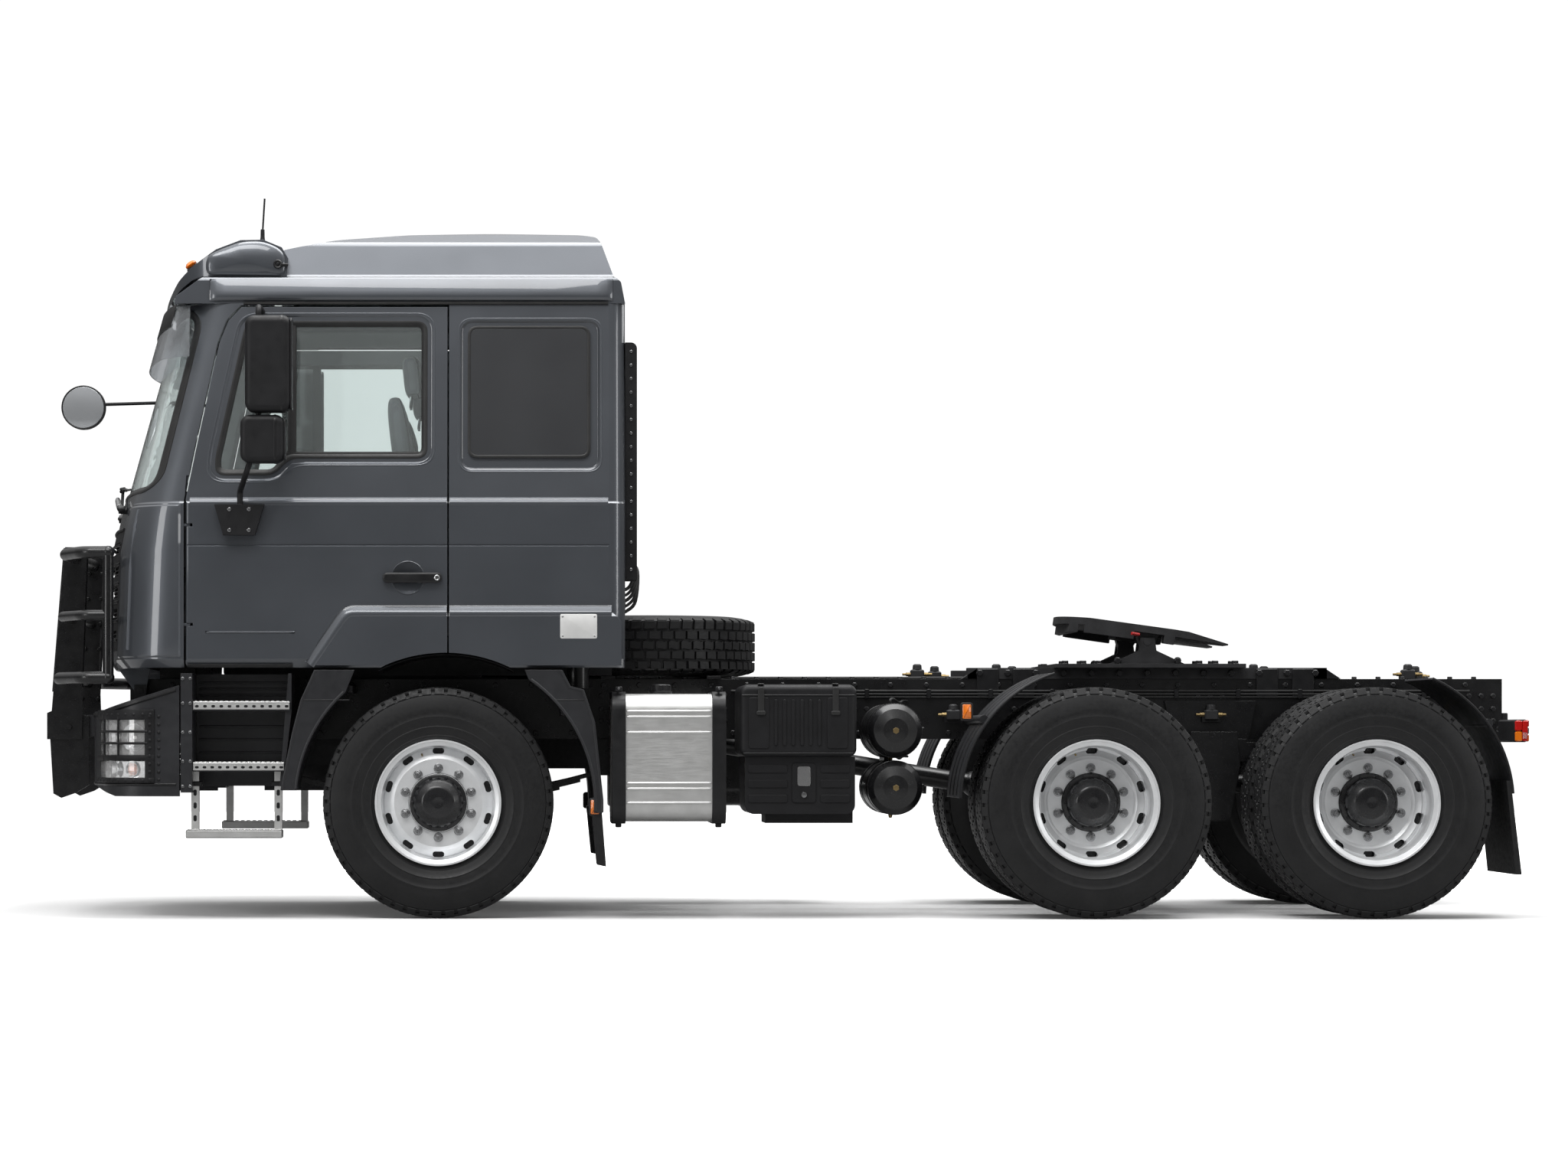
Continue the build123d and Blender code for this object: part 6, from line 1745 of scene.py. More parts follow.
def wrapped(form: CabForm, inner: float, rear: float, z: float, out: float, steps: int = 14) -> list[Flat]:
    """Follow a form round its corner, from the front to the side.

    Args:
        form: The form that is followed.
        inner: The offset from the middle at which the line starts.
        rear: The station at which it ends on the side.
        z: The height.
        out: How far outside the skin it runs.
        steps: Facets round the corner.

    Returns:
        Pairs of station and offset.
    """
    front, half, corner = form.row(z)
    full = 90 - form.sweep
    knee = half - corner * (1 - math.cos(math.radians(full)))
    start = front + knee * math.tan(math.radians(form.sweep / 2))
    centre = (start + corner * math.sin(math.radians(full)), half - corner)
    line = []
    for k in range(3):
        y = inner + (knee - inner) * k / 3
        line.append((form.front(y, z) - out, y + out * math.sin(math.radians(form.sweep * y / knee))))
    last = math.degrees(math.asin(min(1, max(0, (centre[0] - rear) / (corner + out)))))
    for k in range(steps + 1):
        angle = math.radians(full + (last - full) * k / steps)
        line.append((centre[0] - (corner + out) * math.sin(angle),
                     centre[1] + (corner + out) * math.cos(angle)))
    line.append((max(rear, line[-1][0]), line[-1][1]))
    return line


@dataclass
class Headlamps:
    """Main and turn lamps in the bumper's corners, and the tail lamps, in place of the CAD's blocks."""

    sizes: LampSizes = field(default_factory=LampSizes)

    def shell(self, shape: Shape, s: float, low: float, high: float, out: float, finish: Finish, inner: float,
              rear: float, crown: float = 0.0, thick: float = 2.5) -> None:
        """Add a wrapped sheet round the bumper's corner.

        Args:
            shape: The shape to add it to.
            s: -1 for left and 1 for right.
            low: The lower edge.
            high: The upper edge.
            out: How far outside the bumper's skin it lies.
            finish: Its finish.
            inner: The offset from the middle at which it starts.
            rear: The station at which it ends on the side.
            crown: How far its middle bulges.
            thick: Its thickness.
        """
        rows = []
        heights = [low + (high - low) * k / 6 for k in range(7)]
        for z in heights:
            t = (z - low) / (high - low)
            bulge = crown * 4 * t * (1 - t)
            rows.append([spot(x, s * y, z) for x, y in wrapped(BUMPER, inner, rear, z, out + bulge)])
        back = [[spot(x, s * y, z) for x, y in wrapped(BUMPER, inner, rear, z, out - thick)]
                for z in reversed(heights)]
        shape.rings(rows + back + rows[:1], finish, closed=False, capped=False)
        for end in (0, -1):
            line = [row[end] for row in rows] + [row[end] for row in back]
            shape.add(line, [tuple(range(len(line)))], finish)

    def bowl(self, shape: Shape, s: float, angle: float, z: float, radius: float, depth: float,
             bulb: Finish = BULB, thick: float = 0.009) -> None:
        """Add a reflector bowl with its bulb, facing out of the corner.

        Args:
            shape: The shape to add it to.
            s: -1 for left and 1 for right.
            angle: The way it faces, in degrees from the side.
            z: The height of its middle.
            radius: Its mouth's radius.
            depth: Its depth.
            bulb: The bulb's finish.
            thick: The bulb's radius in metres.
        """
        centre = Vector((*CORNER, z))
        aim = Vector((-math.sin(math.radians(angle)), math.cos(math.radians(angle)), 0))
        mouth = centre + aim * 196
        across = Vector((aim.y, -aim.x, 0))

        def ring(share: float, wall: float) -> list[Point]:
            """Make one faceted ring of the bowl.

            Args:
                share: Its place, from the foot at 0 to the mouth at 1.
                wall: How far behind the inner face it lies.

            Returns:
                The ring's points.
            """
            r = (radius * math.sqrt(share) if share else 2) + wall
            points = []
            for n in range(28):
                turn, facet = 2 * math.pi * n / 28, 1 - 0.04 * (n % 2)
                p = mouth - aim * (depth * (1 - share) + wall) + across * (r * facet * math.cos(turn))
                points.append(spot(p.x, s * p.y, p.z + r * facet * math.sin(turn)))
            return points

        shape.rings([ring(k / 8, 0) for k in range(9)] + [ring(k / 8, 1.5) for k in (8, 4, 1, 0)], REFLECTOR)
        tip, base = mouth - aim * depth * 0.25, mouth - aim * depth
        shape.tube([spot(p.x, s * p.y, p.z) for p in (base, tip)], thick, bulb, 12)

    def side(self, side: Side) -> None:
        """Build one corner's lamps with their frame.

        Args:
            side: The side that it is on.
        """
        s = side.value
        size = self.sizes
        lens, inside, frame_part = Shape(), Shape(), Shape()
        for row, (low, high) in enumerate(size.rows):
            self.shell(lens, s, low, high, -4, CLEAR_LENS, size.inner, size.rear, 2)
            self.shell(inside, s, low + 2, high - 2, -52, REFLECTOR if row else LAMP_DARK, size.inner + 4,
                       size.rear, 0, 2)
            for z in (low + 1, high - 3):
                self.floor(inside, s, z, size)
        self.bowl(inside, s, 62, 876, 70, 55)
        self.bowl(inside, s, 21, 876, 66, 50)
        self.bowl(inside, s, 60, 722, 34, 26)
        self.bowl(inside, s, 24, 722, 34, 26, AMBER_BULB, 0.016)
        for z0, z1 in ((962.5, 1010), (764.5, 789.5), (656, 679.5)):
            self.shell(frame_part, s, z0, z1, 9, PLASTIC, size.inner - 38, -1366, 2, 12)
        post = ((-1411, 1222), (-1411, 1229), (-1407, 1231.5), (-1370, 1231.5), (-1366, 1229), (-1366, 1222))
        frame_part.rings([[spot(x, s * y, z) for x, y in post] for z in (657, 1009)], PLASTIC)
        bar = 0.006
        for z in (848, 905):
            line = wrapped(BUMPER, size.inner, -1400, z, 7)
            frame_part.tube([spot(x, s * y, z) for x, y in line], bar, PLASTIC, 8)
        for n in (4, 10):
            x, y = wrapped(BUMPER, size.inner, -1400, 800, 7)[n]
            frame_part.tube([spot(x, s * y, z) for z in (765, 990)], bar, PLASTIC, 8)
        inside.piece(f"lamp_inside_{side}", "chassis", LAMP_DARK)
        lens.piece(f"lamp_lens_{side}", "chassis", CLEAR_LENS)
        frame_part.piece(f"lamp_frame_{side}", "chassis", PLASTIC)
        self.studs(side)

    def floor(self, shape: Shape, s: float, z: float, size: LampSizes) -> None:
        """Close a lamp's inside above or below with a thin sheet.

        Args:
            shape: The shape to add it to.
            s: -1 for left and 1 for right.
            z: The sheet's height.
            size: The lamps' sizes.
        """
        outer = wrapped(BUMPER, size.inner, size.rear, z, -6.5)
        inner = wrapped(BUMPER, size.inner + 4, size.rear, z, -54)
        shape.rings([[spot(x, s * y, h) for (x, y), h in ((a, z), (b, z), (b, z + 1), (a, z + 1))]
                     for a, b in zip(outer, inner)], LAMP_DARK)

    def studs(self, side: Side) -> None:
        """Set round stud heads along the lamp frame and down the bumper's corner.

        Args:
            side: The side that it is on.
        """
        s = side.value
        spots = []
        for z in (986, 668):
            line = wrapped(BUMPER, 875, -1385, z, 9)
            for n in range(0, len(line), 2):
                x, y = line[n]
                way = (x - CORNER[0], y - CORNER[1]) if n > 3 else (-1, 0.2)
                spots.append((spot(x, s * y, z), (way[0], s * way[1], 0)))
        spots += [(spot(x, s * y, 672 + k * 38), (0, s, 0)) for x, y in ((-1388, 1231.5), (-1345, 1222))
                  for k in range(9)]
        Repeat(f"lamp_studs_{side}", "chassis", PLASTIC).on(stud_head(0.0085, 0.005), spots)

    def tails(self) -> None:
        """Build the tail bar, its brackets and the lens clusters."""
        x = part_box("lamps")[1].x
        bar = Shape()
        bar.box((x - 0.0295, -0.45, 0.905), (x - 0.0005, 0.45, 0.935), SATIN, 0.004)
        for _, s in SIDES:
            bar.box((x - 0.0297, s * 0.38, 0.9), (x, s * 0.425, 1), SATIN, 0.003)
            bar.tube([(x - 0.015, s * 0.43, 0.92), (x - 0.03, s * 0.56, 0.92), (x - 0.11, s * 0.7, 0.918),
                      (x - 0.115, s * 0.83, 0.915)], 0.014, SATIN, 12)
            near, far = x - 0.155, x - 0.0805
            bar.box((near + 0.012, s * 0.821, 0.853), (far, s * 1.1745, 0.963), PLASTIC, 0.008)
            for z0, z1, finish in ((0.856, 0.89, AMBER_LENS), (0.892, 0.925, CLEAR_LENS),
                                   (0.927, 0.96, RED_LENS)):
                bar.box((far - 0.004, s * 0.84, z0), (far + 0.011, s * 1.16, z1), finish, 0.004)
            for z0, z1, finish in ((0.857, 0.905, AMBER_LENS), (0.907, 0.958, RED_LENS)):
                bar.box((near + 0.012, s * 1.172, z0), (far - 0.028, s * 1.187, z1), finish, 0.005)
            bar.box((far - 0.027, s * 1.172, 0.857), (far - 0.001, s * 1.187, 0.958), RED_LENS, 0.005)
            bar.box((far - 0.026, s * 1.1865, 0.87), (far - 0.006, s * 1.189, 0.9), CLEAR_LENS, 0.002)
        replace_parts(bar.piece("tail_lamps", "chassis", SATIN), "lamps")

    def build(self) -> None:
        """Build both front corners and the tail lamps."""
        for side in Side:
            self.side(side)
        self.tails()


def stud_head(radius: float, high: float) -> bpy.types.Mesh:
    """Make a low domed stud head, standing on its origin.

    Args:
        radius: Its radius.
        high: Its height.

    Returns:
        The mesh.
    """
    shape = Shape()
    shape.rings([around(radius * k, 12, z * high) for z, k in ((0, 1), (0.35, 0.97), (0.8, 0.7), (1, 0.3))])
    return shape.mesh("stud_head", merge=0)


@dataclass
class FrontTrim:
    """Corner panels, the bumper's ledge, the guard's rails and the marker lamps."""

    bead_y: float = 427.3
    bolt_y: float = 423.3

    def corner_panels(self) -> None:
        """Build the raised painted panels that wrap the cab's lower corners."""
        for side, s in SIDES:
            shape = Shape()
            rows = []
            for z, out in ((1262, 1), (1270, 7), (1300, 9), (1780, 9), (1950, 8), (1992, 6), (2000, 0.6)):
                back = wrapped(CAB, 950, -1238, z, -1, 12)[::-1]
                rows.append([spot(x, s * y, z) for x, y in wrapped(CAB, 960, -1250, z, out, 12) + back])
            shape.rings(rows, PAINT)
            ridge = []
            for z, out in ((1300, 9), (1500, 9), (1700, 9), (1900, 9), (1980, 6)):
                (x0, y0), (x1, y1) = wrapped(CAB, 960, -1250, z, out, 12)[6:8]
                peak = ((x0 + x1) / 2 - 5.5, (y0 + y1) / 2 + 5.5)
                ridge.append([spot(x, s * y, z) for x, y in ((x0, y0 - 0.5), peak, (x1 + 0.5, y1))])
            shape.rings(ridge, PAINT)
            shape.piece(f"corner_panel_{side}", "cab", PAINT, 25)

    def bumper_lines(self) -> None:
        """Build the bumper's top ledge and lower lip."""
        shape = Shape()
        ledge = ((0, 0, -3), (7, 5, -2), (8, 7, -14), (0, 0, -22))
        lip = ((0, 0, 1), (4, 4, 8), (4, 4, 12), (0, 0, 16))
        for _, s in SIDES:
            for base, climb, section in ((1000, 122 / 394, ledge), (640, 0, lip)):
                rows = []
                for x, y in wrapped(BUMPER, 420, -1262, base, 0, 12):
                    level, ahead = base + max(0, x + 1640) * climb, x < -1500
                    rows.append([spot(x - dx * ahead, s * (y + dy), level + dz) for dx, dy, dz in section])
                shape.rings(rows, SATIN)
        shape.piece("bumper_lines", "chassis", SATIN)

    def guard(self) -> None:
        """Build the front guard's rolled plate edges, gussets and bolts."""
        front = ((-1885, 1826), (-1942.5, 1106))
        back = ((-1800, 1826), (-1777, 1790), (-1803, 1130))
        shape, spots = Shape(), []
        for _, s in SIDES:
            for line, radius in ((front, 0.009), (back, 0.008)):
                shape.tube([spot(x, s * self.bead_y, z) for x, z in line], radius, CHASSIS, 10)
            spots += [(spot(x, s * self.bolt_y, z), (0, -s, 0)) for z in (1080, 1210, 1340, 1470, 1600, 1730)
                      for x in (-1960 + z * 0.06, -1845 + z * 0.03)]
        shape.piece("guard_edges", "front_guard", CHASSIS)
        Repeat("guard_bolts", "front_guard", CHASSIS).on(hex_bolt(0.017, 0.01), spots)

    def markers(self) -> None:
        """Build amber lenses over the roof visor's lamps, the visor's latch and the antenna's sleeve."""
        shape = Shape()
        for share in (-1, -0.5, 0, 0.5, 1):
            lamp = Shape()
            lamp.box((-0.033, -0.048, -0.0175), (0.033, 0.048, 0.02), SATIN, 0.006)
            lamp.box((-0.029, -0.044, 0.018), (0.029, 0.044, 0.046), AMBER_LENS, 0.012)
            part = lamp.mesh("marker")
            lean = Matrix.Rotation(math.radians(-35), 4, "Y")
            part.transform(Matrix.Translation(spot(-1200, share * 860, 3168)) @ lean)
            shape.number(SATIN)
            shape.number(AMBER_LENS)
            shape.bm.from_mesh(part)
            bpy.data.meshes.remove(part)
        shape.piece("marker_lenses", "cab", AMBER_LENS)
        sleeve = Shape()
        x, y = -860, -980
        sleeve.spin([(0, 0.02), (0.008, 0.02), (0.02, 0.0135), (0.05, 0.0105), (0.085, 0.0098),
                     (0.088, 0.0045)],
                    spot(x, y, 3268), Axis.Z, 20, SATIN, closed=False)
        sleeve.tube([spot(x, y, 3340), spot(x + 10, y, 3504)], 0.0046, SATIN, 8)
        latch = ((1086, 24), (1106, 22), (1110, 18), (1106, 12), (1106, 8), (1112, 6), (1112, 0.2))
        for _, s in SIDES:
            sleeve.spin([(s * out * MM, r * MM) for out, r in latch], spot(-778, 0, 3171), Axis.Y, 28, SATIN,
                        closed=False)
            sleeve.box(spot(-774, s * 1086, 3160), spot(-728, s * 1104, 3176), SATIN, 0.004)
        sleeve.piece("antenna_sleeve", "cab", SATIN)

    def visor(self) -> None:
        """Build the dark top band of the clear sun visor."""
        shape = Shape()
        section = ((2966, 67.5), (2966, 69), (2860, 69), (2856, 67))
        shape.rings([[CAB.on_front(y, z, out) for z, out in section] for y in range(-1000, 1001, 100)], SATIN)
        shape.piece("visor_band", "cab", SATIN)

    def build(self) -> None:
        """Build every piece of the front trim."""
        self.corner_panels()
        self.bumper_lines()
        self.guard()
        self.markers()
        self.visor()


@dataclass
class Steps:
    """Alloy treads, the hanging step's bars and the step boxes' bolts."""

    treads: tuple[Flat, ...] = ((1047, -713), (753, -739))
    outer: float = 1205.0
    start: float = -1181.0

    def tread(self, shape: Shape, s: float, z: float, end: float) -> None:
        """Build one tread with its teeth, and dark pads on its front face that paint the shade inside its
        slots.

        Args:
            shape: The shape to add it to.
            s: -1 for left and 1 for right.
            z: The tread's height.
            end: The station of its rear end.
        """
        front = partial(on_flank, self.outer, s)
        face = [(self.start, z - 36), (end - 2, z - 36), (end - 2, z + 1.5), (self.start, z + 1.5)]
        shape.stack(face, ((-0.5, 0), (2.5, 0), (4, -2)), front, ALLOY)
        shape.box(spot(self.start, s * 960, z + 0.2), spot(end - 2, s * self.outer, z + 3), ALLOY, 0.001)
        for k in range(19):
            for y in (1000, 1060, 1120, 1180):
                shape.spin([(0, 0.011), (0.0035, 0.0095), (0.0035, 0.0075), (0, 0.0065)],
                           spot(-1170 + k * (end + 1160) / 18, s * y, z + 2.9), Axis.Z, 8, ALLOY)
        # dark satin pads stand for the slots: painted shade of the holes and of the dark step box behind them
        for k in range(12):
            x = -1162 + k * (end + 1146) / 11
            shape.stack(rounded((x - 9, z - 27), (x + 9, z - 14), 5.5, 3), ((3.6, 0), (4.4, 0)), front, SATIN)

    def hanger(self, shape: Shape, s: float, x: float) -> None:
        """Build one post that the lowest step hangs from, with dark pads that paint the shade in its slots.

        Args:
            shape: The shape to add it to.
            s: -1 for left and 1 for right.
            x: The post's station.
        """
        post = [(x - 1.5, 396), (x + 35.5, 396), (x + 35.5, 712), (x - 1.5, 712)]
        shape.rings([[spot(a, s * y, b) for a, b in post] for y in (1108.5, 1151.5)], ALLOY)
        shape.box(spot(x - 16, s * 1104, 640), spot(x + 50, s * 1156, 664), SATIN, 0.004)
        # dark satin pads stand for the post's slots: painted shade of the holes
        for k in range(3):
            slot = rounded((x + 9, 470 + k * 62), (x + 25, 500 + k * 62), 7, 3)
            shape.stack(slot, ((-0.5, 0), (0.8, 0)), partial(on_flank, 1151.5, s), SATIN)

    def build(self) -> None:
        """Build the steps on both sides."""
        for side, s in SIDES:
            shape = Shape()
            for z, end in self.treads:
                self.tread(shape, s, z, end)
            for x in (-1192, -790):
                self.hanger(shape, s, x)
            shape.box(spot(-1217, s * 1083, 389.5), spot(-751, s * 1207, 430), ALLOY, 0.005)
            for k in range(15):
                shape.spin([(0, 0.012), (0.004, 0.0105), (0.004, 0.008), (0, 0.007)],
                           spot(-1200 + k * 31, s * 1145, 429.9), Axis.Z, 8, ALLOY)
            shape.piece(f"step_treads_{side}", "chassis", ALLOY)
            panel = Shape()
            for z0, z1 in ((780, 1000), (1060, 1180)):
                for k in range(3):
                    z = z0 + 18 + k * (z1 - z0 - 30) / 3
                    panel.box(spot(-1170, s * 944, z), spot(-730, s * 949, z + 10), GRAPHITE, 0.002)
            panel.piece(f"step_panel_{side}", "chassis", GRAPHITE)
            spots = [(spot(x, s * 1215, z), (0, s, 0)) for x in (-1230, -1194)
                     for z in (640, 760, 900, 1040, 1160)]
            Repeat(f"step_bolts_{side}", "chassis", NUT).on(hex_bolt(0.013, 0.007), spots)


@dataclass
class CabTrim:
    """Mirror glasses, wiper blades, grille ribs, the arch liner and the hoses on the cab's back."""

    mirror_half: float = 1499.8
    back: float = 866.0
    back_skin: float = 904.5

    def mirrors(self) -> None:
        """Glaze both door mirrors and the kerb mirror."""
        for side, s in SIDES:
            shape = Shape()
            for x, low, high, top in ((-691, 2424, 2886, 1500), (-723, 2183, 2412, 1490)):
                ends = sorted((s * 1375, s * top))
                edge = rounded((ends[0], low), (ends[1], high), 34, 6)
                place = partial(self.on_mirror, x)
                shape.stack(edge, ((-4, -12), (2, -12), (4, -15), (4, -20), (0.6, -22)), place, SATIN,
                            looped=True)
                shape.stack(edge, ((0.4, -21), (1.4, -21)), place, MIRROR)
                shape.stack(edge, ((-52, 1.2), (-49, 2.2), (-43, 2.2), (-40, 1.2)), place, SATIN)
            bolt = [(s * a * MM, r * MM) for a, r in ((0, 10), (4, 9), (5.5, 5), (5, 0.2))]
            for z in (1872, 1972):
                for x in (-1000, -906):
                    shape.spin(bolt, spot(x, s * 1285, z), Axis.Y, 16, NUT, closed=False)
            shape.piece(f"mirror_trim_{side}", f"door_{side}", SATIN)
        disc = Shape()
        place = spot(-1946, 955, 2643)
        rim = [(0, 0.1178), (-0.004, 0.1178), (-0.006, 0.115), (-0.0055, 0.111), (-0.001, 0.1095)]
        glass = [(-0.001, 0.11), (-0.0052, 0.109), (-0.0085, 0.08), (-0.0105, 0.04), (-0.011, 0.0006)]
        back = [(0.039, 0.1178), (0.046, 0.112), (0.056, 0.085), (0.062, 0.045), (0.063, 0.0006)]
        disc.spin(rim, place, Axis.Y, 56, SATIN)
        disc.spin(glass, place, Axis.Y, 56, MIRROR, closed=False)
        disc.spin(back, place, Axis.Y, 40, SATIN, closed=False)
        disc.piece("kerb_mirror_glass", "cab", SATIN)

    def on_mirror(self, x: float, y: float, z: float, out: float) -> Point:
        """Return a place on a door mirror's face, kept inside the truck's widest point."""
        return spot(x + out, max(-self.mirror_half, min(self.mirror_half, y)), z)

    def wipers(self) -> None:
        """Build each wiper's rubber blade, its frame and the spindle's cover."""
        shape = Shape()
        for y0, y1 in ((-820, -240), (60, 640)):
            ends = [(y, 2102 + (y - y1 + 300) * 0.075) for y in (y1 - 310, y1 - 60, y1 + 190)]
            shape.tube([CAB.on_front(y, z, 12) for y, z in ends], 0.0055, SEAL, 8)
            shape.tube([CAB.on_front(y, z, 44) for y, z in ends], 0.0045, SATIN, 8)
            for t in (0.2, 0.5, 0.8):
                y = ends[0][0] + (ends[2][0] - ends[0][0]) * t
                z = ends[0][1] + (ends[2][1] - ends[0][1]) * t
                shape.tube([CAB.on_front(y, z, 11), CAB.on_front(y, z, 44)], 0.004, SATIN, 6)
            shape.spin([(-0.012, 0.021), (0.012, 0.021), (0.02, 0.016), (0.022, 0.0005)],
                       CAB.on_front(y0, 1990, 30), Axis.X, 20, SATIN, closed=False)
            a, b = Vector(CAB.on_front(y0, 1990, 38)), Vector(CAB.on_front(y0 + (y1 - y0) * 0.45, 2048, 42))
            shape.tube([tuple(a), tuple(b)], 0.0125, SATIN, 10)
            shape.tube([tuple(a.lerp(b, 0.2)), tuple(a.lerp(b, 0.9))], 0.0145, STEEL, 8)
        shape.piece("wiper_blades", "cab", SATIN)

    def grille(self) -> None:
        """Build the ribs behind the grille's slats, its top lip and the maker's blank pad."""
        shape = Shape()
        for k in range(27):
            shape.tube([CAB.on_front(y, 1325 + k * 21, -10) for y in range(-900, 901, 60)], 0.0035, SATIN, 6)
        lip = ((1884, 5.5), (1884, 13), (1890, 15), (1899, 12), (1899, 5.5))
        shape.rings([[CAB.on_front(y, z, out) for z, out in lip] for y in range(-925, 926, 50)], SATIN)
        for k in range(6):
            shape.rings([[CAB.on_front(y, 1345 + k * 93 + up, out)
                          for up, out in ((0, 5), (3, 11), (13, 12), (17, 5))]
                         for y in range(-915, 916, 45)], SATIN)
        pad = [(-62, 1925), (62, 1925), (70, 1975), (-70, 1975)]
        shape.stack(pad, ((-1, 0), (4, 0), (6, -4)), CAB.on_front, SATIN)
        shape.piece("grille_ribs", "cab", SATIN)

    def liner(self) -> None:
        """Build the wheel arch liner under the cab, with its inner walls."""
        shape = Shape()
        section = ((719, 588), (719, 1150), (716, 1150), (716, 588))
        wall = [(-300, 1184), (850, 1184), (850, 1290), (-300, 1290)]
        for _, s in SIDES:
            turns = [math.radians(63 + 54 * k / 16) for k in range(17)]
            shape.rings([[spot(36 + r * math.cos(a), s * y, 560 + r * math.sin(a)) for r, y in section]
                         for a in turns], PLASTIC)
            shape.rings([[spot(x, s * y, z) for x, z in wall] for y in (588, 591)], PLASTIC)
        shape.piece("arch_liner", "cab", PLASTIC)

    def hoses(self) -> None:
        """Build the clamped service hoses and their fittings on the cab's back wall."""
        back, shape = self.back, Shape()
        shape.box(spot(back - 6, -860, 1560), spot(back + 8, -560, 1800), SATIN, 0.004)
        fitting = [(0, 0.016), (0.012, 0.016), (0.014, 0.012), (0.03, 0.0115), (0.03, 0.0005)]
        for k, y in enumerate((-820, -760, -700, -640, -600)):
            low, high = 1640 - 26 * k, 1770 - 10 * k
            path = [spot(back + out, y + across, z) for out, across, z in (
                (8, 0, high), (40, 0, high + 6), (74, -6, 1745), (88 + 6 * k, -12, 1700),
                (86 + 4 * k, -20, low + 20), (60, -24, low - 30), (8, -26, low - 46))]
            shape.tube(self.smooth(path), 0.0085 - 0.001 * (k % 2), SEAL, 10)
            for p in (path[0], path[-1]):
                shape.spin(fitting, p, Axis.X, 6, NUT, closed=False)
        for z in (1500, 1900, 2300, 2620):
            for y0, y1 in ((-1108, -1098), (-922, -914)):
                shape.box(spot(back - 6, y0, z), spot(back + 42, y1, z + 40), SATIN, 0.002)
        shape.piece("cab_back_hoses", "cab", SEAL)
        rungs = [(spot(934, -1120.4, 1690 + k * 66), (0, -1, 0)) for k in range(17)]
        Repeat("intake_bolts", "cab", NUT).on(hex_bolt(0.012, 0.006), rungs)

    @staticmethod
    def smooth(path: Sequence[Point]) -> list[Point]:
        """Draw a fixed hose's line as a smooth curve through its clamps.

        Args:
            path: The clamps' places.

        Returns:
            The curve's points.
        """
        points = [Vector(p) for p in path]
        padded = [points[0] * 2 - points[1]] + points + [points[-1] * 2 - points[-2]]
        out, parts = [], 5
        for a, b, c, d in zip(padded, padded[1:], padded[2:], padded[3:]):
            for k in range(parts):
                t = k / parts
                out.append(tuple(0.5 * (2 * b + (c - a) * t + (2 * a - 5 * b + 4 * c - d) * t ** 2
                                        + (3 * b - a - 3 * c + d) * t ** 3)))
        return out + [tuple(points[-1])]

    def back_wall(self) -> None:
        """Build the pressed ribs, the seam and the vent on the cab's rear wall."""
        shape = Shape()
        for y0, y1 in ((-760, -420), (-330, 330), (420, 1040)):
            for z0, z1 in ((1930, 2330), (2420, 2820)):
                line = rounded((y0, z0), (y1, z1), 60, 6)
                shape.rings([[spot(self.back_skin + out, y, z) for y, z in grown(line, by)]
                             for out, by in ((0, 0), (7, -6), (8.5, -10), (8.5, -30), (7, -34), (1, -40))],
                            PAINT)
        for z in (1600, 1680, 1760):
            shape.rings([[spot(self.back_skin + out, y, z + up)
                          for out, up in ((0, -16), (high, -8), (high, 8), (0, 16))]
                         for y, high in ((-480, 0.4), (-455, 8), (1030, 8), (1055, 0.4))], PAINT)
        for k in range(9):
            shape.box(spot(903, 640, 1400 + k * 14), spot(912, 960, 1407 + k * 14), SATIN, 0.002)
        shape.piece("cab_back_ribs", "cab", PAINT, 40)

    def build(self) -> None:
        """Build every piece of the cab's trim."""
        self.back_wall()
        self.mirrors()
        self.wipers()
        self.grille()
        self.liner()
        self.hoses()


